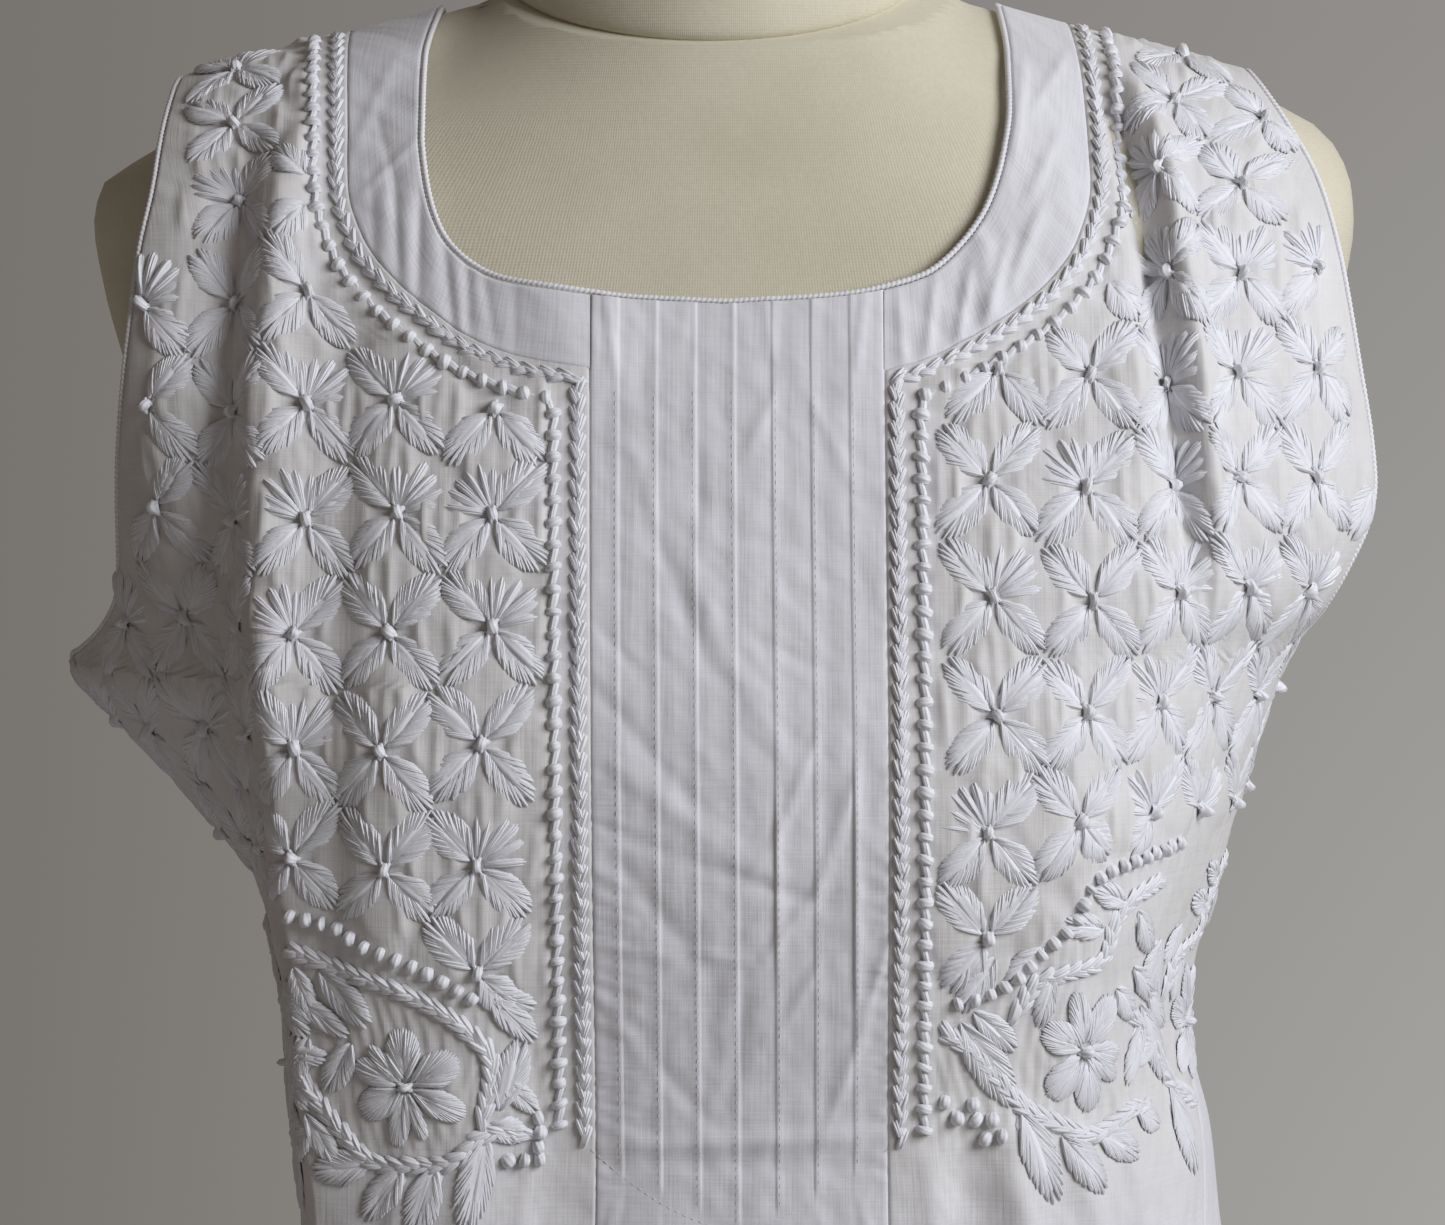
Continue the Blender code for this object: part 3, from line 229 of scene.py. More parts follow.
# The dress form, in the same way. Its left shoulder slopes more than its right.
FORM_COLUMNS = ("z", "left", "right", "front", "back", "flat")
FORM_SECTIONS = (
    (1.4300, 0.058, 0.058, 0.0300, 0.0300, 2.0),
    (1.3900, 0.060, 0.060, 0.0200, 0.0240, 2.1),
    (1.3750, 0.068, 0.068, 0.0200, 0.0240, 2.2),
    (1.3690, 0.087, 0.087, 0.0270, 0.0320, 2.2),
    (1.3600, 0.119, 0.120, 0.0342, 0.0420, 2.2),
    (1.3538, 0.134, 0.141, 0.0392, 0.0480, 2.2),
    (1.3470, 0.146, 0.158, 0.0445, 0.0540, 2.2),
    (1.3390, 0.159, 0.177, 0.0510, 0.0602, 2.2),
    (1.3340, 0.167, 0.186, 0.0548, 0.0640, 2.2),
    (1.3260, 0.179, 0.1935, 0.0600, 0.0692, 2.2),
    (1.3150, 0.196, 0.198, 0.0668, 0.0755, 2.2),
    (1.3030, 0.199, 0.199, 0.0735, 0.0815, 2.3),
    (1.2830, 0.196, 0.196, 0.0812, 0.0895, 2.3),
    (1.2640, 0.191, 0.191, 0.0880, 0.0945, 2.4),
    (1.2400, 0.183, 0.183, 0.0955, 0.0985, 2.4),
    (1.2150, 0.173, 0.173, 0.1030, 0.0998, 2.5),
    (1.1900, 0.165, 0.165, 0.1100, 0.0990, 2.5),
    (1.1650, 0.1605, 0.1605, 0.1150, 0.0960, 2.5),
    (1.1300, 0.1530, 0.1530, 0.1170, 0.0900, 2.5),
    (1.1000, 0.1410, 0.1410, 0.1130, 0.0830, 2.4),
    (1.0700, 0.1300, 0.1300, 0.1030, 0.0760, 2.3),
    (1.0450, 0.1255, 0.1255, 0.0950, 0.0720, 2.3),
    (1.0150, 0.1235, 0.1235, 0.0905, 0.0710, 2.3),
    (0.9850, 0.1245, 0.1245, 0.0900, 0.0740, 2.3),
    (0.9550, 0.1310, 0.1310, 0.0925, 0.0800, 2.3),
    (0.9150, 0.1460, 0.1460, 0.0985, 0.0910, 2.2),
    (0.8750, 0.1600, 0.1600, 0.1045, 0.1010, 2.2),
    (0.8300, 0.1700, 0.1700, 0.1095, 0.1080, 2.2),
    (0.7800, 0.1735, 0.1735, 0.1115, 0.1090, 2.2),
    (0.7300, 0.1720, 0.1720, 0.1105, 0.1060, 2.2),
    (0.7000, 0.1680, 0.1680, 0.1080, 0.1030, 2.2),
)

# The root of the neck, which both the form and the cloth round it share
NECK_COLUMNS = ("z", "half", "front", "back")
NECK_SECTIONS = (
    (1.4300, 0.063, 0.0560, 0.0580),
    (1.4000, 0.065, 0.0575, 0.0620),
    (1.3850, 0.067, 0.0590, 0.0650),
    (1.3700, 0.076, 0.0600, 0.0690),
    (1.3540, 0.090, 0.0605, 0.0710),
    (1.3400, 0.104, 0.0585, 0.0710),
    (1.3200, 0.122, 0.0505, 0.0650),
    (1.3030, 0.135, 0.0400, 0.0540),
    (1.2830, 0.145, 0.0200, 0.0330),
    (1.2640, 0.150, 0.0010, 0.0010),
    (0.6000, 0.150, 0.0010, 0.0010),
)
NECK_CLEARANCE = 0.0010

# Edges of the pieces, as (x, z) seen from the front, x measured outwards from the middle.
# Each runs from the shoulder line down.
NECKLINE = {
    "left": ((0.087, 1.3700), (0.091, 1.3530), (0.091, 1.3310), (0.0895, 1.3160), (0.086, 1.3035),
             (0.079, 1.2942), (0.066, 1.2870), (0.037, 1.2825), (0.000, 1.2805)),
    "right": ((0.084, 1.3709), (0.086, 1.3560), (0.086, 1.3400), (0.084, 1.3250), (0.0795, 1.3100),
              (0.0715, 1.2980), (0.060, 1.2885), (0.035, 1.2827), (0.000, 1.2805)),
}
BAND_EDGE = {
    "left": ((0.117, 1.3619), (0.115, 1.3310), (0.1142, 1.3130), (0.109, 1.2975), (0.101, 1.2870),
             (0.0887, 1.2764), (0.0734, 1.2665), (0.056, 1.2607), (0.040, 1.2580)),
    "right": ((0.108, 1.3644), (0.1115, 1.3370), (0.112, 1.3160), (0.107, 1.2975), (0.0985, 1.2855),
              (0.0863, 1.2755), (0.0710, 1.2665), (0.059, 1.2610), (0.048, 1.2580)),
}
BACK_NECKLINE = ((0.087, 1.3700), (0.088, 1.3620), (0.085, 1.3540), (0.074, 1.3450), (0.050, 1.3385),
                 (0.000, 1.3360))
BACK_BAND_EDGE = ((0.114, 1.3627), (0.115, 1.3480), (0.112, 1.3350), (0.099, 1.3190), (0.066, 1.3080),
                  (0.000, 1.3040))
ARMHOLE = {
    "left": ((0.1725, 1.3468), (0.175, 1.3300), (0.1767, 1.3130), (0.180, 1.2940), (0.1826, 1.2700),
             (0.1846, 1.2485), (0.1863, 1.2270), (0.1868, 1.2120), (0.1870, 1.1990), (0.1882, 1.1880),
             (0.1938, 1.1775), (0.2068, 1.1650)),
    "right": ((0.1665, 1.3490), (0.175, 1.3350), (0.1855, 1.3145), (0.191, 1.2940), (0.1937, 1.2790),
              (0.1970, 1.2580), (0.2005, 1.2360), (0.2016, 1.2220), (0.1995, 1.2110), (0.1940, 1.1980),
              (0.1855, 1.1820), (0.1775, 1.1675)),
}
BACK_ARMHOLE = {
    "left": ((0.1725, 1.3468), (0.1770, 1.3350), (0.178, 1.3220), (0.172, 1.3000), (0.166, 1.2700),
             (0.164, 1.2400), (0.169, 1.2100), (0.183, 1.1870), (0.197, 1.1730), (0.2068, 1.1650)),
    "right": ((0.1665, 1.3490), (0.170, 1.3380), (0.169, 1.3220), (0.165, 1.3000), (0.160, 1.2700),
              (0.158, 1.2400), (0.160, 1.2100), (0.166, 1.1900), (0.1725, 1.1760), (0.1775, 1.1675)),
}
# Seams of the middle panel as (z, x of the left one, x of the right one), and half widths of a side gore
PLACKET = ((1.290, -0.0400, 0.0480), (1.258, -0.0400, 0.0480), (1.130, -0.0390, 0.0486),
           (1.026, -0.0382, 0.0490), (0.950, -0.0400, 0.0510), (0.800, -0.0500, 0.0600),
           (0.600, -0.0640, 0.0730))
GORE_WIDTH = ((1.092, 0.0), (1.080, 0.009), (1.066, 0.017), (1.050, 0.024), (1.012, 0.034), (0.965, 0.042),
              (0.900, 0.051), (0.815, 0.062), (0.725, 0.074), (0.600, 0.090))

# Folds of the bodice: face, half width, height, and the line it runs along as (z, x) from the top down
LEFT_RIDGE = ((1.347, -0.131), (1.250, -0.1385), (1.190, -0.1370), (1.125, -0.1310))
LEFT_HOLLOW = ((1.335, -0.146), (1.250, -0.1530), (1.110, -0.1560))
RIGHT_HOLLOW = ((1.352, 0.1140), (1.327, 0.1230), (1.304, 0.1287), (1.275, 0.1330), (1.229, 0.1375),
                (1.180, 0.1420))
RIGHT_RIDGE = ((1.360, 0.1180), (1.335, 0.1290), (1.317, 0.1342), (1.275, 0.1395), (1.235, 0.1435),
               (1.175, 0.1490))
FOLDS = (
    ("front", 0.0080, 0.0065, LEFT_RIDGE),
    ("front", 0.0085, -0.0035, LEFT_HOLLOW),
    ("front", 0.0042, -0.0066, RIGHT_HOLLOW),
    ("front", 0.0052, 0.0062, RIGHT_RIDGE),
    ("front", 0.0100, -0.0030, ((1.356, 0.110), (1.300, 0.1200), (1.255, 0.1280))),
    ("front", 0.0050, 0.0020, ((1.350, 0.117), (1.205, 0.1240))),
    ("front", 0.0035, 0.0012, ((1.300, 0.078), (1.268, 0.0800))),
    ("front", 0.0120, 0.0018, ((1.180, -0.098), (1.030, -0.1020))),
    ("front", 0.0120, 0.0018, ((1.180, 0.100), (1.030, 0.1050))),
    ("back", 0.0120, 0.0040, ((1.320, -0.120), (1.120, -0.0900))),
    ("back", 0.0120, 0.0040, ((1.320, 0.120), (1.120, 0.0950))),
    ("back", 0.0110, 0.0045, ((1.160, -0.045), (0.980, -0.0500))),
    ("back", 0.0110, 0.0045, ((1.160, 0.050), (0.980, 0.0550))),
)
# Folds of the skirt: angle round the body (0 in front, 90 at the right side), half width in degrees,
# height at the hem, and the z where they start
SKIRT_FOLDS = (
    (0, 9, -0.0078, 0.985), (19, 8, 0.0130, 1.010), (-17, 8, 0.0130, 1.010), (38, 7, -0.0078, 0.960),
    (-36, 7, -0.0091, 0.950), (54, 9, 0.0117, 0.960), (-52, 9, 0.0123, 0.970), (76, 8, -0.0052, 0.900),
    (-74, 8, -0.0052, 0.900), (96, 9, 0.0104, 0.960), (-98, 9, 0.0104, 0.960), (118, 8, -0.0065, 0.900),
    (-119, 8, -0.0065, 0.900), (138, 9, 0.0111, 0.980), (-140, 9, 0.0111, 0.980), (160, 8, -0.0065, 0.930),
    (-161, 8, -0.0065, 0.930), (180, 9, 0.0104, 0.985),
)
SKIRT_END_Z = 0.640


class Curve:
    """A smooth curve through given points, which never swings past them."""

    def __init__(self, at, values):
        order = np.argsort(at)
        self.at = np.array(at, float)[order]
        self.values = np.array(values, float)[order]
        step = np.diff(self.at)
        rise = np.diff(self.values) / step
        slope = np.zeros(len(self.at))
        slope[0], slope[-1] = rise[0], rise[-1]
        for i in range(1, len(rise)):
            if rise[i - 1] * rise[i] > 0:
                near, far = 2 * step[i] + step[i - 1], step[i] + 2 * step[i - 1]
                slope[i] = (near + far) / (near / rise[i - 1] + far / rise[i])
        self.slope = slope

    def __call__(self, at):
        at = np.clip(np.asarray(at, float), self.at[0], self.at[-1])
        i = np.clip(np.searchsorted(self.at, at, side="right") - 1, 0, len(self.at) - 2)
        step = self.at[i + 1] - self.at[i]
        t = (at - self.at[i]) / step
        start, end = self.values[i], self.values[i + 1]
        return (start * (1 + 2 * t) * (1 - t) ** 2 + self.slope[i] * step * t * (1 - t) ** 2
                + end * t * t * (3 - 2 * t) + self.slope[i + 1] * step * t * t * (t - 1))


def columns(names, rows):
    """Each named column of a table, as a smooth curve over z."""
    z = [row[0] for row in rows]
    return {name: Curve(z, [row[i] for row in rows]) for i, name in enumerate(names) if i}


CLOTH = columns(CLOTH_COLUMNS, CLOTH_SECTIONS)
FORM = columns(FORM_COLUMNS, FORM_SECTIONS)
NECK = columns(NECK_COLUMNS, NECK_SECTIONS)


def smooth_step(t):
    t = np.clip(t, 0, 1)
    return t * t * (3 - 2 * t)


def joined_depth(body, neck):
    """The body's depth and the neck's, run into each other."""
    return (np.maximum(body, 0) ** BLEND_POWER + np.maximum(neck, 0) ** BLEND_POWER) ** (1 / BLEND_POWER)


def neck_depth(x, z, face, clearance):
    half = NECK["half"](z) + clearance
    inside = np.maximum(1 - (np.abs(x) / half) ** 2, 0)
    return (NECK[face](z) + clearance) * np.sqrt(inside)


def cloth_depth(x, z, face):
    """How far the worn cloth stands in front of, or behind, SIDE_Y."""
    left = np.asarray(x) < 0
    half = np.where(left, CLOTH["left"](z), CLOTH["right"](z))
    edge = np.where(left, CLOTH["edge_left"](z), CLOTH["edge_right"](z))
    inside = np.maximum(1 - (np.abs(x) / half) ** CLOTH["flat_" + face](z), 0)
    return joined_depth(CLOTH[face](z) * inside ** edge, neck_depth(x, z, face, NECK_CLEARANCE))


def form_depth(x, z, face):
    half = np.where(np.asarray(x) < 0, FORM["left"](z), FORM["right"](z))
    inside = np.maximum(1 - (np.abs(x) / half) ** FORM["flat"](z), 0)
    return joined_depth(FORM[face](z) * np.sqrt(inside), neck_depth(x, z, face, 0))


def ridge_height(x):
    """The height of the cloth's shoulder line at x."""
    z = np.linspace(LEVEL_Z, CLOTH_SECTIONS[0][0], 400)
    found = [np.interp(np.abs(x), CLOTH[side](z)[::-1], z[::-1]) for side in ("left", "right")]
    return np.where(np.asarray(x) < 0, found[0], found[1])


def height_at(x, level):
    """Height of a row: level 0 is the shoulder line, 1 is LEVEL_Z, and each one more is LEVEL_STEP lower."""
    top = ridge_height(x)
    over = top - (top - LEVEL_Z) * (1 - np.cos(np.clip(level, 0, 1) * math.pi / 2))
    return np.where(np.asarray(level) < 1, over, LEVEL_Z - (np.asarray(level) - 1) * LEVEL_STEP)


def level_at(x, z):
    top = ridge_height(x)
    share = np.clip((top - z) / np.maximum(top - LEVEL_Z, 1e-6), 0, 1)
    over = np.arccos(1 - share) / (math.pi / 2)
    return np.where(np.asarray(z) > LEVEL_Z, over, 1 + (LEVEL_Z - np.asarray(z)) / LEVEL_STEP)


def line_x(line, z):
    """The x of a fold's line at a height."""
    heights = [place[0] for place in line][::-1]
    return np.interp(z, heights, [place[1] for place in line][::-1])


def fold_height(x, y, z):
    """How far the folds carry the cloth outwards."""
    x, y, z = np.broadcast_arrays(np.asarray(x, float), y, z)
    total = np.zeros(x.shape)
    behind = y > SIDE_Y
    for face, width, height, line in FOLDS:
        along = (line[0][0] - z) / (line[0][0] - line[-1][0])
        middle = line_x(line, z)
        fade = smooth_step(along / 0.20) * smooth_step((1 - along) / 0.25)
        side = behind if face == "back" else ~behind
        total = total + np.where(side, height * fade * np.exp(-(((x - middle) / width) ** 2)), 0)
    angle = np.degrees(np.arctan2(x, SIDE_Y - y))
    for centre, width, height, start in SKIRT_FOLDS:
        off = (angle - centre + 180) % 360 - 180
        fade = smooth_step((start - z) / (start - SKIRT_END_Z))
        total = total + height * fade * np.exp(-((off / width) ** 2))
    return total


def outward(x, y, z):
    """The direction that the worn shape faces at a point on it."""
    h = 2e-5
    face_back = np.asarray(y) > SIDE_Y

    def squared(px, pz):
        return np.where(face_back, cloth_depth(px, pz, "back"), cloth_depth(px, pz, "front")) ** 2

    gradient = np.stack([
        -(squared(x + h, z) - squared(x - h, z)) / (2 * h),
        2 * (np.asarray(y) - SIDE_Y),
        -(squared(x, z + h) - squared(x, z - h)) / (2 * h),
    ], axis=-1)
    return gradient / np.maximum(np.linalg.norm(gradient, axis=-1, keepdims=True), 1e-12)


def on_cloth(x, z, face):
    """Points on the worn shape, seen from the front or the back at x and z."""
    depth = cloth_depth(x, z, face)
    y = SIDE_Y + (depth if face == "back" else -depth)
    return np.stack(np.broadcast_arrays(x, y, z), axis=-1)


def length_along(points):
    return np.concatenate([[0], np.cumsum(np.linalg.norm(np.diff(points, axis=0), axis=1))])


def read_along(at, along, points):
    """Places at some lengths of a line, whose own points lie at the lengths given as along."""
    return np.stack([np.interp(at, along, column) for column in points.T], axis=1)


def edge_curve(points, count=241):
    """A piece's edge as a dense line of (x, z), smooth through its given points."""
    points = np.array(points, float)
    along = length_along(points)
    at = np.linspace(0, along[-1], count)
    return np.stack([Curve(along, points[:, 0])(at), Curve(along, points[:, 1])(at)], axis=1)


def edge_x(curve, z):
    """The x of an edge at a height, and how much longer than level the edge runs there."""
    order = np.argsort(curve[:, 1])
    heights, across = curve[order, 1], curve[order, 0]
    step = 0.0006
    run = np.interp(z + step, heights, across) - np.interp(z - step, heights, across)
    return float(np.interp(z, heights, across)), math.hypot(1, run / (2 * step))


# Rows of a piece are named by their level: 0 on the shoulder line, 1 at LEVEL_Z, 2 a LEVEL_STEP below it
TOP_LEVEL = 0.0035
SHOULDER_OUT = 0.200
DENSE = 240
SIDES = ("left", "right")

PLACKET_LEFT = Curve([r[0] for r in PLACKET], [-r[1] for r in PLACKET])
PLACKET_RIGHT = Curve([r[0] for r in PLACKET], [r[2] for r in PLACKET])
GORE_HALF = Curve([r[0] for r in GORE_WIDTH], [r[1] for r in GORE_WIDTH])


def side_sign(side):
    return -1.0 if side == "left" else 1.0


def placket_x(side, z):
    return float((PLACKET_LEFT if side == "left" else PLACKET_RIGHT)(z))


def level_of(z):
    return 1 + (LEVEL_Z - z) / LEVEL_STEP


def z_of(level):
    return LEVEL_Z - (level - 1) * LEVEL_STEP


def row_points(level, x_in, x_out, side, face):
    """A row of the worn shape from x_in outwards, to x_out or, where that is None, to the side seam."""
    sign = side_sign(side)
    if level < 1:
        x = sign * np.linspace(x_in, SHOULDER_OUT if x_out is None else x_out, DENSE)
        return on_cloth(x, height_at(x, level), face)
    z = z_of(level)
    half = float(CLOTH[side](z))
    flat = float(CLOTH["flat_" + face](z))
    x_end = half if x_out is None else x_out
    turn = np.linspace(math.asin(min(1, (x_in / half) ** (flat / 2))),
                       math.asin(min(1, (x_end / half) ** (flat / 2))), DENSE)
    row = on_cloth(sign * half * np.sin(turn) ** (2 / flat), np.full(DENSE, z), face)
    if x_out is None:
        row = row[np.abs(row[:, 1] - SIDE_Y) > SEAM_GAP / 2]
        last = row[-1].copy()
        last[:2] = sign * half, SIDE_Y
        row = np.vstack([row, last])
    return row


def edge_on_level(curve, level, side):
    """Where an edge crosses a row, and how obliquely."""
    if level >= 1:
        return edge_x(curve, z_of(level))
    x = float(curve[0, 0])
    for _ in range(12):
        x, longer = edge_x(curve, float(height_at(side_sign(side) * x, level)))
    return x, longer


BAND_CURVE = {side: edge_curve(BAND_EDGE[side]) for side in SIDES}
ARMHOLE_CURVE = {("front", side): edge_curve(ARMHOLE[side]) for side in SIDES}
ARMHOLE_CURVE.update({("back", side): edge_curve(BACK_ARMHOLE[side]) for side in SIDES})


def inner_end(level, side):
    """Where a row of a front panel starts: the x of its seam and the length to cut off there."""
    curve = BAND_CURVE[side]
    if level < 1 or z_of(level) > curve[-1, 1]:
        x, longer = edge_on_level(curve, level, side)
        return x, -SEAM_LAP * min(longer, 6.0)
    return placket_x(side, z_of(level)), -SEAM_LAP


def outer_end(level, side, face):
    """Where a row ends: the x of the armhole, or None for the side, and the length to cut off there."""
    armhole = ARMHOLE_CURVE[face, side]
    if level < 1 or z_of(level) > armhole[-1, 1]:
        x, longer = edge_on_level(armhole, level, side)
        return x, BINDING_ROOM * longer
    return None, (float(GORE_HALF(z_of(level))) - SEAM_LAP if z_of(level) < GORE_TOP_Z else 0.0)


def row_ends(level, side, out, along):
    """Lengths along a row of a front panel where its cloth starts and ends. Its points lie x outwards."""
    x_in, cut_in = inner_end(level, side)
    x_out, cut_out = outer_end(level, side, "front")
    end = along[-1] if x_out is None else np.interp(x_out, out, along)
    return np.interp(x_in, out, along) + cut_in, end - cut_out


# Small creases placed on the front and the back: x and z of the middle, lean from upright in
# degrees, length, half width and height. A negative height is a trough.
CREASES = {
    "front": (
        # Over the middle panel
        (-0.0235, 1.148, -42, 0.05, 0.003, -0.00072), (-0.011, 1.127, -54, 0.062, 0.0038, 0.00086),
        (0.008, 1.1085, -72, 0.046, 0.0026, -0.00072), (0.0212, 1.135, 21, 0.032, 0.0017, 0.00075),
        (0.0217, 1.098, 37, 0.026, 0.0016, 0.00065), (0.0228, 1.073, 28, 0.026, 0.0016, 0.00065),
        (0.0328, 1.121, 18, 0.04, 0.0019, 0.0008), (0.0358, 1.047, 19, 0.036, 0.0018, 0.00072),
        (0.0446, 1.077, 18, 0.026, 0.0015, 0.0008), (-0.0128, 1.0437, -41, 0.03, 0.0026, -0.00056),
        (-0.0035, 1.068, 2, 0.03, 0.0028, -0.0008), (0.0045, 1.062, 6, 0.036, 0.0026, -0.00064),
        (-0.0302, 1.088, -80, 0.03, 0.0017, 0.00062), (-0.003, 1.086, -78, 0.022, 0.0018, 0.00055),
        (-0.0303, 1.122, -70, 0.028, 0.0019, -0.00064), (-0.0127, 1.191, -22, 0.048, 0.0028, -0.00064),
        (-0.005, 1.188, -22, 0.044, 0.003, 0.00047), (-0.0227, 1.222, -15, 0.026, 0.0024, 0.00047),
        (-0.0077, 1.2255, 0, 0.022, 0.0022, -0.00064), (0.0108, 1.242, 25, 0.026, 0.002, 0.00055),
        (0.0312, 1.239, -27, 0.03, 0.002, 0.00047), (0.014, 1.2075, -84, 0.028, 0.0018, -0.00048),
        (0.0202, 1.1745, -65, 0.026, 0.0019, -0.00056), (0.0418, 1.22, 88, 0.014, 0.0017, -0.0004),
        (-0.02, 1.1, -38, 0.042, 0.0032, -0.00064), (-0.028, 1.06, -35, 0.034, 0.0026, 0.00055),
        (-0.03, 1.175, -45, 0.024, 0.0022, -0.00056), (0.012, 1.156, -30, 0.04, 0.0034, 0.00047),
        # A soft step across the middle panel at the waist
        (0.006, 1.0285, 88, 0.082, 0.003, 0.0011), (0.006, 1.021, 91, 0.08, 0.0035, -0.0006),
        # Beside the long ridge of the left panel
        (-0.13, 1.2, 1, 0.32, 0.006, 0.002), (-0.114, 1.18, 1, 0.23, 0.007, -0.0015),
        # Puckers of the left neck band
        (-0.1065, 1.303, -4, 0.026, 0.0015, -0.00033), (-0.099, 1.3, -5, 0.036, 0.0015, -0.00054),
        (-0.0922, 1.293, 0, 0.04, 0.0015, -0.00058), (-0.0825, 1.281, -8, 0.034, 0.0015, -0.00054),
        (-0.077, 1.28, -2, 0.028, 0.0014, -0.00041), (-0.0704, 1.276, -10, 0.024, 0.0014, -0.00037),
        (-0.0627, 1.274, 0, 0.022, 0.0014, -0.00029), (-0.1025, 1.302, 0, 0.03, 0.0022, 0.00047),
        (-0.0956, 1.297, 0, 0.036, 0.0024, 0.00052), (-0.0873, 1.288, -4, 0.036, 0.0024, 0.00052),
        (-0.0797, 1.279, -5, 0.028, 0.002, 0.00042), (-0.0735, 1.277, -6, 0.024, 0.0018, 0.00032),
        (-0.1018, 1.3187, 45, 0.03, 0.0017, 0.00047), (-0.103, 1.3245, -17, 0.024, 0.0015, -0.00033),
        (-0.108, 1.336, 22, 0.034, 0.0022, 0.00042),
        # Puckers of the right neck band
        (0.09, 1.336, 8, 0.03, 0.0018, 0.0009), (0.0965, 1.318, 26, 0.026, 0.002, 0.0008),
        (0.091, 1.295, 22, 0.028, 0.002, 0.001), (0.082, 1.284, 16, 0.026, 0.002, 0.0012),
        (0.072, 1.277, 10, 0.026, 0.0019, 0.0012), (0.062, 1.273, 6, 0.024, 0.0018, 0.001),
        (0.053, 1.27, -4, 0.024, 0.0016, 0.0008), (0.1, 1.345, 34, 0.022, 0.0018, 0.0006),
        # Top of the middle panel
        (-0.034, 1.27, -6, 0.022, 0.0014, 0.0008), (0.041, 1.27, 6, 0.022, 0.0014, 0.0008),
        (-0.012, 1.272, 4, 0.018, 0.0016, 0.0005), (0.013, 1.272, -5, 0.018, 0.0016, 0.0005),
        # Plain skirt below the embroidery
        (-0.08, 1.01, 2, 0.15, 0.014, 0.003),
        # A broad swell at the foot of the left neck band
        (-0.05, 1.279, -20, 0.06, 0.015, 0.0028),
        # More of the plain skirt
        (-0.078, 1.000, 6, 0.06, 0.003, 0.001), (-0.1, 0.985, 9, 0.08, 0.004, 0.0016),
        (-0.06, 0.99, 3, 0.07, 0.003, 0.0012), (0.076, 0.995, -6, 0.08, 0.008, -0.0032),
        (0.093, 0.985, -10, 0.09, 0.006, 0.003), (0.112, 1.000, -14, 0.07, 0.0035, 0.0014),
        (0.064, 0.975, -3, 0.08, 0.0035, 0.0013), (0.125, 1.01, -14, 0.08, 0.003, 0.0014),
        (-0.135, 0.9, 14, 0.2, 0.006, 0.0026), (-0.08, 0.86, 7, 0.22, 0.0055, 0.0024),
        (0.01, 0.84, -2, 0.24, 0.006, 0.0022), (0.09, 0.87, -8, 0.2, 0.0055, 0.0024),
        (0.145, 0.85, -12, 0.22, 0.006, 0.0026), (-0.03, 0.76, 4, 0.18, 0.005, 0.002),
        (0.05, 0.74, -4, 0.2, 0.0055, 0.0022), (-0.115, 0.73, 8, 0.18, 0.006, 0.0024),
    ),
    "back": (
        # Back, drawn in at the waist
        (0.005, 1.3, 2, 0.06, 0.006, 0.0014), (-0.03, 1.255, 14, 0.11, 0.007, 0.002),
        (0.042, 1.24, -16, 0.12, 0.007, 0.0022), (-0.105, 1.2, 26, 0.11, 0.007, 0.0024),
        (0.11, 1.19, -28, 0.1, 0.0065, 0.0024), (-0.07, 1.11, 38, 0.08, 0.005, 0.0018),
        (0.076, 1.095, -42, 0.085, 0.0052, 0.002), (-0.02, 1.085, 62, 0.07, 0.0045, 0.0018),
        (0.026, 1.062, -66, 0.075, 0.0045, 0.0019), (-0.062, 1.045, 56, 0.07, 0.0045, 0.0017),
        (0.088, 1.04, -52, 0.06, 0.0042, 0.0016), (0.0000, 1.02, 80, 0.08, 0.0042, 0.0015),
        (-0.09, 0.96, 12, 0.14, 0.006, 0.0024), (0.07, 0.94, -10, 0.16, 0.006, 0.0024),
        (-0.015, 0.9, 3, 0.2, 0.0065, 0.0022), (0.135, 0.88, -16, 0.18, 0.006, 0.0026),
        (-0.145, 0.86, 15, 0.2, 0.0065, 0.0026), (0.035, 0.78, -5, 0.18, 0.0055, 0.0022),
        (-0.065, 0.76, 6, 0.2, 0.006, 0.0022), (0.1, 0.72, -8, 0.16, 0.0055, 0.0022),
    ),
}


# The loose front of the left side hangs as a flat sheet: how fast it falls back outwards, and the x of
# the ridge where it turns the corner. That of the right side hangs forwards by a lift, most at its crest.
LEFT_SHEET = columns(("z", "fall", "ridge"), (
    (1.300, 0.12, 0.1350), (1.200, 0.05, 0.1355), (1.140, 0.03, 0.1310), (1.100, 0.00, 0.1285),
    (1.065, -0.03, 0.1262), (1.030, -0.06, 0.1248), (1.010, -0.06, 0.1222), (0.980, -0.04, 0.1205),
    (0.950, 0.06, 0.1250), (0.910, 0.22, 0.1350), (0.860, 0.40, 0.1450)))
# Where the sheet starts outwards and between which heights it hangs, where it starts to bend back and how
# much, how softly it leaves the body, and how far past its ridge it has turned the corner
SHEET_IN = 0.030
SHEET_LOW_Z, SHEET_HIGH_Z = 0.86, 1.300
SHEET_BENDS_AT, SHEET_BEND = 0.075, 4.0
SHEET_SOFT = 0.004
RIDGE_TURN = 0.016
RIGHT_LIFT = columns(("z", "lift", "crest"), (
    (1.260, 0.0, 0.122), (1.185, 0.0060, 0.122), (1.100, 0.0070, 0.116), (1.030, 0.0060, 0.112),
    (0.990, 0.0040, 0.110), (0.930, 0.0, 0.110)))
RIGHT_LIFT_IN = 0.020
# How far the cloth outside the ridge of the left shoulder stands forwards at the armhole, and where it starts
WING = Curve((1.347, 1.325, 1.290, 1.250, 1.215, 1.180), (0.0, 0.0060, 0.0110, 0.0120, 0.0070, 0.0))
WING_IN = 0.140


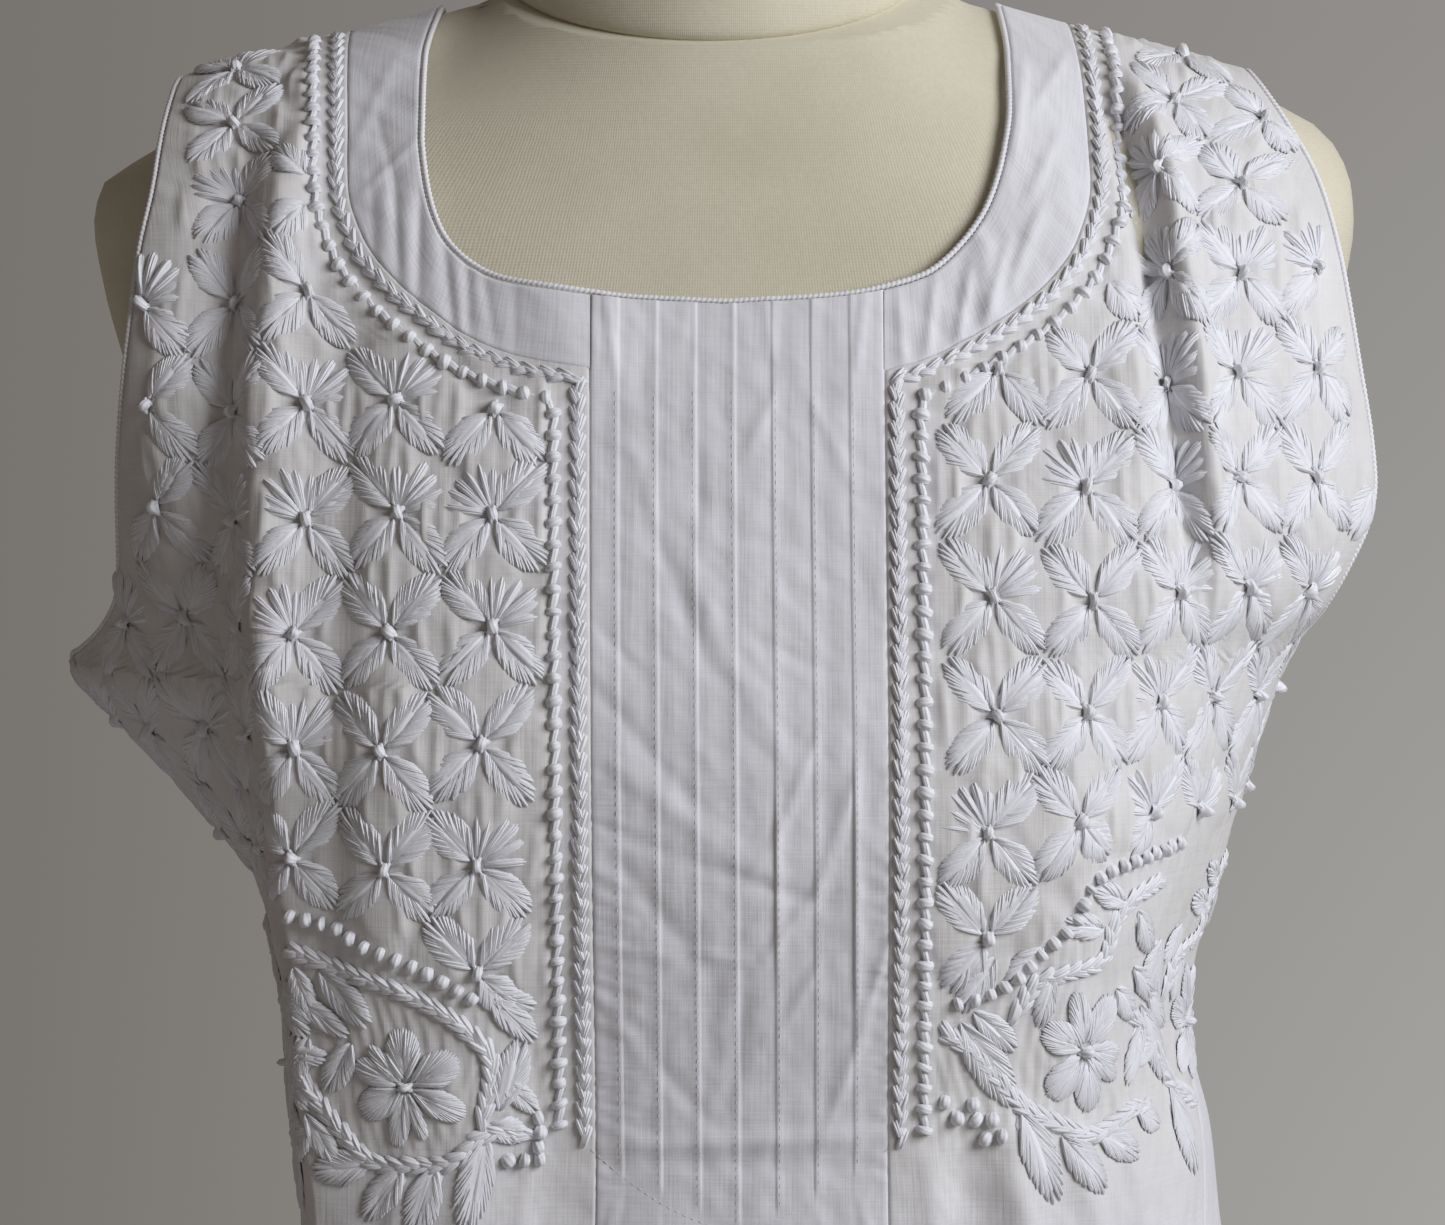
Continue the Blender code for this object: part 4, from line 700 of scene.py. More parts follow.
def left_fullness(out, y, z):
    """How far the cloth of the left side stands forwards of the worn shape to lie in its sheet."""
    near = SIDE_Y - cloth_depth(np.full(np.shape(z), -SHEET_IN), z, "front")
    sheet = near + LEFT_SHEET["fall"](z) * (out - SHEET_IN)
    sheet = sheet + SHEET_BEND * np.maximum(out - SHEET_BENDS_AT, 0) ** 2
    behind = y - sheet
    lift = (behind + np.sqrt(behind ** 2 + SHEET_SOFT ** 2)) / 2
    ridge = LEFT_SHEET["ridge"](z)
    end = np.minimum(ridge + RIDGE_TURN, CLOTH["left"](z) - SEAM_GAP)
    turned_away = smooth_step((out - ridge) / (end - ridge))
    reach = smooth_step((out - SHEET_IN) / 0.040)
    reach = reach * smooth_step((SHEET_HIGH_Z - z) / 0.06) * smooth_step((z - SHEET_LOW_Z) / 0.08)
    return lift * reach * (1 - turned_away)


def fullness(x, y, z):
    """The cloth of the front hangs flatter than the body beneath it, and turns the corner beyond."""
    out = np.abs(x)
    crest = RIGHT_LIFT["crest"](z)
    right = smooth_step((out - RIGHT_LIFT_IN) / (crest - RIGHT_LIFT_IN))
    right = right * (1 - smooth_step((out - crest) / 0.030))
    left = left_fullness(out, y, z) + WING(z) * smooth_step((out - WING_IN) / 0.045)
    return np.where(x < 0, left, right * RIGHT_LIFT["lift"](z))


def crease_height(x, y, z):
    behind = y > SIDE_Y
    total = np.zeros(np.shape(x))
    for face, creases in CREASES.items():
        there = behind if face == "back" else ~behind
        for mid_x, mid_z, lean, length, width, height in creases:
            turn = math.radians(lean)
            along = (x - mid_x) * math.sin(turn) + (z - mid_z) * math.cos(turn)
            across = (x - mid_x) * math.cos(turn) - (z - mid_z) * math.sin(turn)
            shape = height * np.exp(-(across / width) ** 2 - (2 * along / length) ** 4)
            total += np.where(there, shape, 0)
    return total


def raised(base, height):
    """Points over the worn shape, carried out by its folds, creases and fullness, and by a height."""
    x, y, z = base[..., 0], base[..., 1], base[..., 2]
    out = fold_height(x, y, z) + crease_height(x, y, z) + height
    moved = base + outward(x, y, z) * np.asarray(out)[..., None]
    moved[..., 1] -= np.where(y > SIDE_Y, 0.0, fullness(x, y, z))
    return moved


def at_lengths(row, lengths):
    """Points of a row at lengths along it."""
    return read_along(lengths, length_along(row), row)


# The front of one side laid out flat
GRAIN_X = 0.100
CHART_STEP = 0.0012
CHART_X_IN = 0.034
CHART_END_Z = 0.985
CHART_S = (-0.078, 0.210)


class Chart:
    """The front of one side laid flat: s runs outwards from the grain line, t down from the shoulder."""

    def __init__(self, side):
        self.side, self.sign = side, side_sign(side)
        probe = np.linspace(TOP_LEVEL, level_of(CHART_END_Z), 800)
        grain = np.full(len(probe), self.sign * GRAIN_X)
        run = length_along(on_cloth(grain, height_at(grain, probe), "front"))
        self.t = np.arange(0, run[-1], CHART_STEP)
        self.levels = np.interp(self.t, run, probe)
        self.s = np.arange(*CHART_S, CHART_STEP)
        place, across, ends = [], [], []
        for level in self.levels:
            base = row_points(level, CHART_X_IN, None, side, "front")
            top = raised(base, WALL)
            out = np.abs(base[:, 0])
            along = length_along(top)
            along -= np.interp(GRAIN_X, out, along)
            place.append(read_along(self.s, along, top))
            across.append(np.interp(self.s, along, out))
            ends.append(row_ends(level, side, out, along))
        self.place, self.across = np.array(place), np.array(across)
        self.start, self.end = np.array(ends).T
        down, out = np.gradient(self.place, axis=0), np.gradient(self.place, axis=1)
        facing = np.cross(down, out) * self.sign
        length = np.linalg.norm(facing, axis=-1, keepdims=True)
        self.facing = facing / np.maximum(length, 1e-12)

    def read(self, table, s, t):
        """A value of the chart between its points."""
        column = np.clip((np.asarray(s) - self.s[0]) / CHART_STEP, 0, len(self.s) - 1.001)
        row = np.clip(np.asarray(t) / CHART_STEP, 0, len(self.t) - 1.001)
        i, j = row.astype(int), column.astype(int)
        u, v = (row - i)[..., None], (column - j)[..., None]
        return (table[i, j] * (1 - u) * (1 - v) + table[i + 1, j] * u * (1 - v)
                + table[i, j + 1] * (1 - u) * v + table[i + 1, j + 1] * u * v)

    def wrap(self, s, t, height):
        """Flat places, at a height above the cloth, as points on the worn tunic."""
        return self.read(self.place, s, t) + self.read(self.facing, s, t) * np.asarray(height)[..., None]

    def t_at(self, x, z):
        return np.interp(level_at(self.sign * np.asarray(x, float), z), self.levels, self.t)

    def flat(self, x, z):
        """Where a place seen from the front, x outwards from the middle, lies on the chart."""
        t = float(self.t_at(x, z))
        row = min(int(round(t / CHART_STEP)), len(self.t) - 1)
        return np.array([float(np.interp(x, self.across[row], self.s)), t])

    def line(self, places):
        return np.array([self.flat(x, z) for x, z in places])

    def inside(self, place, margin):
        """Whether a flat place lies on the panel, clear of the side and the armhole."""
        s, t = place
        low, high = np.interp(t, self.t, self.start), np.interp(t, self.t, self.end)
        return low + margin < s < high - margin and t > margin


# Ground of the embroidery: flowers at every crossing of a lattice, and puckers in the gaps between them
LATTICE_PITCH = (0.0296, 0.0338)
LATTICE_START = {"left": (0.0985, 1.1812), "right": (0.0790, 1.1918)}
PUCKER_PITCH = 0.0056
PUCKER_WIDTH = 0.0016
PUCKER_HEIGHT = 0.0010
PUFF_HEIGHT = 0.0010
PUCKER_STRAY = 0.0036
PUCKER_LENGTH, PUCKER_LONGER = 0.0060, 0.0045
# Crumples of the cloth in the worked border
CRUMPLE_PITCH = 0.0052
CRUMPLE_HEIGHT = 0.00028
EMBROIDERY_END_Z = {"left": 1.020, "right": 1.022}
# Upper edge of the worked border at the waist, (x outwards, z)
WAIST_BORDER = {
    "left": ((0.200, 1.100), (0.129, 1.0972), (0.1155, 1.0935), (0.106, 1.0888), (0.0955, 1.0850),
             (0.086, 1.0806), (0.077, 1.0755), (0.066, 1.0680), (0.055, 1.0620), (0.038, 1.0560)),
    "right": ((0.200, 1.118), (0.138, 1.115), (0.123, 1.112), (0.109, 1.107), (0.103, 1.095), (0.094, 1.086),
              (0.080, 1.074), (0.048, 1.066)),
}
CHARTS = {side: Chart(side) for side in SIDES}


def lattice_place(side, s, t):
    """A flat place counted in flowers across and down."""
    chart = CHARTS[side]
    start = chart.flat(*LATTICE_START[side])
    return (s - start[0]) / LATTICE_PITCH[0], (t - start[1]) / LATTICE_PITCH[1]


WAIST_LINE = {side: CHARTS[side].line(WAIST_BORDER[side]) for side in SIDES}


def above_waist(side, s, t):
    """How far a flat place lies above the waist border."""
    line = WAIST_LINE[side][::-1]
    return np.interp(s, line[:, 0], line[:, 1]) - t


def scattered(a, b, salt):
    """An uneven number from 0 to 1 for each gap of the lattice."""
    mixed = np.sin(a * 12.99 + b * 78.23 + salt * 37.72) * 4375.85
    return mixed - np.floor(mixed)


def ground_relief(side, s, t, z):
    """The cloth puffs up between the worked leaves, and is drawn into a few short upright folds there."""
    chart = CHARTS[side]
    u, v = lattice_place(side, s, t)
    gap = np.abs(np.sin(math.pi * (u + v)) * np.sin(math.pi * (u - v)))
    gap = smooth_step(gap * 1.7 - 0.10)
    low, high = np.interp(t, chart.t, chart.start), np.interp(t, chart.t, chart.end)
    worked = smooth_step((s - low - 0.010) / 0.006) * smooth_step((high - s - 0.006) / 0.008)
    lattice = worked * smooth_step(above_waist(side, s, t) / 0.006)
    a, b = np.floor(u + v), np.floor(u - v)
    off = (u - (a + b + 1) / 2) * LATTICE_PITCH[0]
    down = (v - (a - b) / 2) * LATTICE_PITCH[1]
    folds = np.zeros(np.shape(s))
    for n in range(3):
        one, two, three = (scattered(a, b, 3 * n + m) for m in range(3))
        middle = (n - 1) * PUCKER_PITCH + (one - 0.5) * PUCKER_STRAY
        across = off - middle - (two - 0.5) * 0.30 * down
        upright = (down - (three - 0.5) * 0.004) / (PUCKER_LENGTH + PUCKER_LONGER * two)
        height = (0.15 + 0.85 * three) * (one > 0.25)
        folds += height * np.exp(-(across / (PUCKER_WIDTH * (0.8 + 0.5 * one))) ** 2 - upright ** 4)
    raised_by = lattice * gap * (PUFF_HEIGHT + PUCKER_HEIGHT * folds)
    border = worked * smooth_step(-above_waist(side, s, t) / 0.006)
    border = border * smooth_step((z - EMBROIDERY_END_Z[side]) / 0.012)
    loose = np.cos(2 * math.pi * s / CRUMPLE_PITCH + 2.0 * np.sin(t * 130))
    loose = loose * np.sin(t * 260 + 5 * np.sin(s * 90))
    return raised_by + border * CRUMPLE_HEIGHT * loose


# A cut edge rolled under: distance from the edge and share of the cloth's wall there
EDGE_ROLL = ((0.0, 0.35), (0.0002, 0.62), (0.0005, 0.88), (0.0010, 1.0))
HEM_TURN = ((0.0, 0.9), (-0.0005, 0.4), (-0.0003, -0.5), (0.0040, -0.7), (HEM_HEIGHT, -HEM_FOLD / WALL))
PANEL_SPREAD = np.concatenate([np.linspace(0, 0.64, 166), np.linspace(0.64, 1, 34)[1:]])


class Shell:
    """A piece of cloth as a thin shell: grids of points, with where each point lies on the flat cloth."""

    def __init__(self):
        self.points, self.flat, self.faces, self.count = [], [], [], 0

    def grid(self, points, flat, flip=False, closed=False):
        points, flat = np.array(points), np.array(flat)
        rows, across = points.shape[:2]
        index = self.count + np.arange(rows * across).reshape(rows, across)
        if closed:
            index = np.concatenate([index, index[:, :1]], axis=1)
        corners = [index[:-1, :-1], index[1:, :-1], index[1:, 1:], index[:-1, 1:]]
        faces = np.stack(corners, axis=-1).reshape(-1, 4)
        self.faces.append(faces[:, ::-1] if flip else faces)
        self.points.append(points.reshape(-1, 3))
        self.flat.append(flat.reshape(-1, 2))
        self.count += rows * across

    def make(self, name, material):
        points, flat = np.concatenate(self.points), np.concatenate(self.flat)
        faces = np.concatenate(self.faces)
        data = bpy.data.meshes.new(name)
        data.from_pydata(points.tolist(), [], faces.tolist())
        layer = data.uv_layers.new(name="UVMap")
        corner = np.empty(len(data.loops), dtype=np.int32)
        data.loops.foreach_get("vertex_index", corner)
        layer.data.foreach_set("uv", flat[corner].astype(np.float32).ravel())
        mesh = bmesh.new()
        mesh.from_mesh(data)
        bmesh.ops.remove_doubles(mesh, verts=mesh.verts, dist=2e-6)
        mesh.to_mesh(data)
        mesh.free()
        return finished(name, data, material)


def placed(name, data):
    """An object of the scene."""
    made = bpy.data.objects.new(name, data)
    bpy.context.scene.collection.objects.link(made)
    return made


def finished(name, data, material):
    """A smooth piece of the tunic or the form in its finish."""
    data.validate()
    data.shade_smooth()
    data.materials.clear()
    data.materials.append(material.material)
    return placed(name, data)


def rolled_edges(low, high, spread, roll_low=True, roll_high=True):
    """Lengths along a row with its ends rolled under, and the height of the cloth at each."""
    near = [(low + off, share) for off, share in EDGE_ROLL] if roll_low else [(low, 1.0)]
    far = [(high - off, share) for off, share in EDGE_ROLL][::-1] if roll_high else [(high, 1.0)]
    start, end = near[-1][0], far[0][0]
    middle = [(start + (end - start) * part, 1.0) for part in spread[1:-1]]
    lengths, shares = np.array(near + middle + far).T
    return lengths, WALL * shares


def shell_levels(top, bottom_turned=True, finest=0.0021):
    """Levels of the rows of a panel from its top to the hem, with the turned hem. Each is (level, height)."""
    steps = [(1.000, finest), (0.940, 0.0040), (0.800, 0.0070), (HEM_Z + 0.028, 0.0090), (HEM_Z, 0.0035)]
    levels, level = [], top
    for low, step in steps:
        end = level_of(low)
        count = max(1, int(round((end - level) * LEVEL_STEP / step)))
        levels += [(level + (end - level) * n / count, 1.0) for n in range(count)]
        level = end
    levels.append((level, 1.0))
    if bottom_turned:
        levels += [(level_of(HEM_Z + up), share) for up, share in HEM_TURN]
    return levels


def sorted_levels(*groups):
    return sorted({round(float(level), 6) for group in groups for level in group})


def front_levels():
    """Rows of a front panel: closer together where the seam of the neck band runs nearly level."""
    over = np.linspace(TOP_LEVEL, 1, 36)
    band_foot = level_of(1.2665)
    seam = np.concatenate([np.arange(1, band_foot, 0.021), np.arange(band_foot, level_of(1.2572), 0.006)])
    return [(level, 1.0) for level in sorted_levels(over, seam)] + shell_levels(level_of(1.2570))


def front_shell(side, material):
    """A front panel, with the puckers of its embroidered ground."""
    chart = CHARTS[side]
    points, flats = [], []
    for level, share in front_levels():
        base = row_points(level, CHART_X_IN, None, side, "front")
        out, along = np.abs(base[:, 0]), length_along(base)
        lengths, heights = rolled_edges(*row_ends(level, side, out, along), PANEL_SPREAD)
        row = at_lengths(base, lengths)
        worn = length_along(raised(base, WALL))
        s = np.interp(lengths, along, worn) - np.interp(GRAIN_X, out, worn)
        t = np.full(len(s), np.interp(level, chart.levels, chart.t))
        relief = ground_relief(side, s, t, row[:, 2]) if level < chart.levels[-1] else 0.0
        points.append(raised(row, heights * share + relief))
        flats.append(np.stack([s * chart.sign, np.full(len(s), -level * LEVEL_STEP)], axis=1))
    shell = Shell()
    shell.grid(points, flats, flip=side == "left")
    return shell.make("front_" + side + "_cloth", material)


def on_edge(curve, side, face):
    """Points of an edge on the worn shape. Above the shoulder line they are put on it."""
    x = side_sign(side) * curve[:, 0]
    level = np.maximum(level_at(x, curve[:, 1]), TOP_LEVEL)
    return on_cloth(x, height_at(x, level), face)


def stations(curve, side, face, count):
    """Count places (x, z) along an edge, evenly by its length on the worn shape."""
    along = length_along(on_edge(curve, side, face))
    at = np.linspace(0, along[-1], count)
    return read_along(at, along, curve)


def band_rows(side, face, rows):
    """Dense rows across a neck band, from its neckline to its seam."""
    if face == "back":
        inner, outer = edge_curve(BACK_NECKLINE), edge_curve(BACK_BAND_EDGE)
    else:
        inner, outer = edge_curve(NECKLINE[side]), BAND_CURVE[side].copy()
        inner = inner[inner[:, 0] >= placket_x(side, 1.28) - SEAM_LAP]
        outer[-1, 0] = placket_x(side, 1.258) - SEAM_LAP
    made = []
    for (x_a, z_a), (x_b, z_b) in zip(stations(inner, side, face, rows), stations(outer, side, face, rows)):
        part = np.linspace(0, 1, DENSE)
        x = side_sign(side) * (x_a + (x_b - x_a) * part)
        level_a, level_b = level_at(x[0], z_a), level_at(x[-1], z_b)
        level = np.maximum(level_a + (level_b - level_a) * part, TOP_LEVEL)
        made.append(on_cloth(x, height_at(x, level), face))
    return made


def band_into(shell, side, face, rows, across):
    points, flats = [], []
    for place, row in enumerate(band_rows(side, face, rows)):
        end = length_along(row)[-1]
        lengths, heights = rolled_edges(BINDING_ROOM, end + SEAM_LAP, np.linspace(0, 1, across))
        points.append(raised(at_lengths(row, lengths), heights))
        flats.append(np.stack([lengths * side_sign(side), np.full(len(lengths), -place * 0.0015)], axis=1))
    shell.grid(points, flats, flip=(side == "left") != (face == "back"))


def neck_band(side, material):
    shell = Shell()
    band_into(shell, side, "front", 150, 26)
    return shell.make("neck_band_" + side + "_cloth", material)


def back_neck_band(material):
    shell = Shell()
    for side in SIDES:
        band_into(shell, side, "back", 80, 16)
    return shell.make("neck_band_back_cloth", material)


# Pintucks
TUCK_OFFSETS = (-0.0052, -0.0036, -0.0022, -0.0012, -0.0007, -0.0003, 0.0, 0.0003, 0.0007, 0.0012, 0.0022,
                0.0036, 0.0052)
# The worn tucks are pressed flatter than they were sewn
TUCK_RISE = 0.00034
TUCK_LAP = 0.0030
TUCK_DROP = 0.0007
# The cloth puffs a little behind each tuck. A gaping tuck rises this much more, as a share of its rise.
TUCK_PUFF_WIDTH, TUCK_PUFF_RISE = 0.0072, 0.00013
TUCK_GAPE = 1.5
# Height of the soft fold that each tuck opens into, and how much it varies
TUCK_OPEN_RISE, TUCK_OPEN_VARIES = 0.00042, 0.00018
# Tucks from this one on are pressed the other way
TUCK_TURNED = 4
TUCK_END_MIDDLE_Z = 1.0010
TUCK_END_RISE = 0.0052
FACING_EDGE_Z = 1.2515


def tuck_lines(z):
    """Where the pintucks run at a height: evenly between the seams of the middle panel."""
    middle = (float(PLACKET_RIGHT(z)) - float(PLACKET_LEFT(z))) / 2 - 0.001
    pitch = TUCK_PITCH * (1 + 0.9 * max(0.0, TUCKS_END_Z - z))
    return [middle + (n - (TUCK_COUNT - 1) / 2) * pitch for n in range(TUCK_COUNT)]


def tuck_end(n):
    return TUCK_END_MIDDLE_Z + TUCK_END_RISE * abs(n - (TUCK_COUNT - 1) / 2)


# Two tucks gape between these heights: number, lower and upper z
TUCKS_GAPING = ((4, 1.075, 1.140), (6, 1.062, 1.150))


def tuck_relief(x, z):
    """Each tuck rises softly to its stitched edge and drops off it. Below its end it opens into a fold."""
    total = np.zeros(np.shape(x))
    lines = tuck_lines(float(np.mean(z)))
    gaping = {n: smooth_step((z - low) / 0.02) * smooth_step((high - z) / 0.02)
              for n, low, high in TUCKS_GAPING}
    for n, line in enumerate(lines):
        off, end = (x - line) * (1 if n < TUCK_TURNED else -1), tuck_end(n)
        stitched = smooth_step((z - end + 0.002) / 0.006)
        edge = smooth_step((off + TUCK_LAP) / TUCK_LAP) * (1 - smooth_step(off / TUCK_DROP))
        puff = np.sin(math.pi * np.clip((off - TUCK_DROP) / TUCK_PUFF_WIDTH, 0, 1)) ** 2
        rise = TUCK_RISE * (1 + TUCK_GAPE * gaping.get(n, 0.0))
        total += stitched * (rise * edge + TUCK_PUFF_RISE * puff)
        below = np.maximum(end - z, 0)
        spread = 0.0012 + 0.030 * below
        opened = smooth_step(below / 0.016) * smooth_step((0.17 - below) / 0.12)
        lean = (n - 3) / 3 * 0.22 * below * (1 if n < TUCK_TURNED else -1)
        height = TUCK_OPEN_RISE + TUCK_OPEN_VARIES * math.cos(2.2 * n)
        total += opened * height * np.exp(-((off - lean) / spread) ** 2)
    return total


# Puckers along the side seams of the middle panel: how far they reach in from the left and the right one,
# from which height to which, their pitch and height. The facing inside raises the cloth above its edge.
PUCKERS_REACH = (0.0125, 0.0060)
PUCKERS_LOW_Z, PUCKERS_HIGH_Z = 1.0, 1.165
PUCKERS_PITCH, PUCKERS_HEIGHT = 0.0050, 0.00042
FACING_RISE = 0.00025


def middle_relief(x, z):
    """Tucks, the edge of the facing inside and the puckers along the side seams of the middle panel."""
    seams = np.minimum(x + PLACKET_LEFT(z), PLACKET_RIGHT(z) - x)
    near = np.exp(-(seams / np.where(x < 0, *PUCKERS_REACH)) ** 2)
    near = near * smooth_step((PUCKERS_HIGH_Z - z) / 0.05) * smooth_step((z - PUCKERS_LOW_Z) / 0.03)
    uneven = 0.55 + 0.45 * np.sin(z * 310 + 60 * x) * np.sin(z * 97)
    waves = np.sin(2 * math.pi * z / PUCKERS_PITCH + 3.4 * np.sin(z * 150) + 330 * x)
    puckers = PUCKERS_HEIGHT * near * uneven * waves
    facing = FACING_RISE * smooth_step((z - FACING_EDGE_Z) / 0.0010)
    return tuck_relief(x, z) + puckers + facing


MIDDLE_TOP_Z = 1.268
MIDDLE_TOP_ROWS = 14


def neckline_z(x):
    """The cut edge of the middle panel under the binding of the neckline."""
    side = "left" if x < 0 else "right"
    curve = edge_curve(NECKLINE[side])
    return float(np.interp(-abs(x), -curve[:, 0], curve[:, 1])) - BINDING_ROOM


def middle_shell(material):
    """The middle panel from the neckline to the hem, with its tucks."""
    rows = [(share, MIDDLE_TOP_Z, 1.0) for share in np.linspace(0, 1, MIDDLE_TOP_ROWS)[:-1]]
    lower = shell_levels(level_of(MIDDLE_TOP_Z), finest=0.0015)
    rows += [(1.0, z_of(level), share) for level, share in lower]
    points, flats = [], []
    for share, z, thick in rows:
        low, high = -placket_x("left", z) - SEAM_LAP, placket_x("right", z) + SEAM_LAP
        lines = tuck_lines(z)
        wider = (lines[1] - lines[0]) / TUCK_PITCH
        inner = [line + off * wider for line in lines for off in TUCK_OFFSETS]
        spread = np.concatenate([np.linspace(low + 0.0011, inner[0], 5)[:-1], inner,
                                 np.linspace(inner[-1], high - 0.0011, 5)[1:]])
        spread = [0.0] + list((spread - low) / (high - low)) + [1.0]
        lengths, heights = rolled_edges(low, high, spread)
        x = lengths
        if share < 1:
            top = np.array([neckline_z(v) for v in x])
            z_row = top + (z - top) * share
        else:
            z_row = np.full(len(x), z)
        relief = middle_relief(x, z_row) * (heights / WALL) ** 2 if thick == 1 else 0.0
        points.append(raised(on_cloth(x, z_row, "front"), heights * thick + relief))
        flats.append(np.stack([x, z_row], axis=1))
    shell = Shell()
    shell.grid(points, flats)
    return shell.make("front_centre_cloth", material)


BACK_LEVELS = np.linspace(TOP_LEVEL, 0.54, 20)
BACK_FAN = 44
BACK_FAN_LOW = 1.2905
BACK_SPREAD = np.linspace(0, 1, 58)


def back_rows(side):
    """Dense whole rows of one half of the back: (row, x where it ends or None, length to cut off there)."""
    band = edge_curve(BACK_BAND_EDGE)
    found = []
    for level in BACK_LEVELS:
        x_in, _ = edge_on_level(band, level, side)
        x_out, cut_out = outer_end(level, side, "back")
        found.append((row_points(level, x_in, x_out, side, "back"), 0.0, cut_out, 1.0))
    top = float(found[-1][0][-1][2])
    low = float(found[-1][0][0][2])
    start = int(np.argmin(np.abs(band[:, 1] - (low - 0.0015)) + (band[:, 0] < 0.08)))
    share = np.linspace(0, 1, DENSE)
    for n, place in enumerate(np.linspace(start, len(band) - 1, BACK_FAN).astype(int)):
        x_in, z_in = band[place]
        z_out = top + (BACK_FAN_LOW - top) * (n + 1) / BACK_FAN
        x_out, longer = edge_x(ARMHOLE_CURVE["back", side], z_out)
        x = side_sign(side) * (x_in + (x_out - x_in) * share)
        z = (z_in - SEAM_GAP / 2) + (z_out - z_in) * smooth_step(share)
        found.append((on_cloth(x, z, "back"), 0.0, BINDING_ROOM * longer, 1.0))
    upper = np.arange(level_of(BACK_FAN_LOW) + 0.028, level_of(1.2620), 0.028)
    levels = [(level, 1.0) for level in upper] + shell_levels(level_of(1.2615))
    for level, height in levels:
        x_out, cut_out = outer_end(level, side, "back")
        found.append((row_points(level, 0.0, x_out, side, "back"), 0.0, cut_out, height))
    return found


def back_shell(material):
    """The back, whose halves meet on the middle line below the neck band."""
    shell = Shell()
    for side in SIDES:
        points, flats = [], []
        for place, (row, cut_in, cut_out, thick) in enumerate(back_rows(side)):
            at_seam = place < len(BACK_LEVELS) + BACK_FAN
            end = length_along(row)[-1] - cut_out
            lengths, heights = rolled_edges(cut_in, end, BACK_SPREAD, roll_low=False)
            if at_seam:
                heights[0] = WALL * 0.3
            here = at_lengths(row, lengths)
            points.append(raised(here, heights * thick))
            flats.append(np.stack([here[:, 0], here[:, 2]], axis=1))
        shell.grid(points, flats, flip=side == "right")
    return shell.make("back_cloth", material)


def gore_shell(side, material):
    """A side gore, pointed at the waist, with its two seams rolled in."""
    points, flats = [], []
    for level, thick in [(level_of(1.0905), 1.0)] + shell_levels(level_of(1.0890)):
        ends = []
        for face in ("front", "back"):
            row = row_points(level, 0.05, None, side, face)
            end = length_along(row)[-1]
            width = float(GORE_HALF(z_of(level))) + SEAM_LAP
            lengths, heights = rolled_edges(end - width, end, np.linspace(0, 1, 14), roll_high=False)
            ends.append((at_lengths(row, lengths), heights))
        (front, high), (back, high_back) = ends
        seam = (front[-1:] + back[-1:]) / 2
        row = np.concatenate([front[:-1], seam, back[-2::-1]])
        heights = np.concatenate([high[:-1], [WALL], high_back[-2::-1]])
        points.append(raised(row, heights * thick))
        flats.append(np.stack([length_along(row), np.full(len(row), row[0, 2])], axis=1))
    shell = Shell()
    shell.grid(points, flats, flip=side == "left")
    return shell.make("gore_" + side + "_cloth", material)


# Bound edges
BINDING_STEP = 0.00042
BINDING_SIDES = 8
WHIP_PITCH = 0.0016
WHIP_HEIGHT = 0.00016


def bend(p0, p1, p2, p3, count):
    """Points of a smooth bend from the second of four places to just before the third."""
    u = (np.arange(count) / count)[:, None]
    return 0.5 * (2 * p1 + (p2 - p0) * u + (2 * p0 - 5 * p1 + 4 * p2 - p3) * u ** 2
                  + (3 * p1 - p0 - 3 * p2 + p3) * u ** 3)


def closed_curve(points, step):
    """A smooth closed line through points, with a point at every step."""
    points = np.array(points)
    before, after, later = np.roll(points, 1, 0), np.roll(points, -1, 0), np.roll(points, -2, 0)
    made = []
    for p0, p1, p2, p3 in zip(before, points, after, later):
        made.append(bend(p0, p1, p2, p3, max(1, int(round(np.linalg.norm(p2 - p1) / step)))))
    return np.concatenate(made)


def binding_path(edge, centre):
    """A closed line beside a piece's edge, half a binding away from it."""
    edge = np.array(edge)
    kept = [edge[0]]
    for place in edge[1:]:
        if np.linalg.norm(place - kept[-1]) > 0.0035:
            kept.append(place)
    edge = np.array(kept)
    facing = outward(edge[:, 0], edge[:, 1], edge[:, 2])
    across = np.cross(np.roll(edge, -1, axis=0) - np.roll(edge, 1, axis=0), facing)
    across /= np.linalg.norm(across, axis=1, keepdims=True)
    across *= np.sign((across * (centre - edge)).sum(axis=1))[:, None]
    return raised(edge, WALL / 2) + across * (SEAM_LAP + PRESSED_RADIUS)


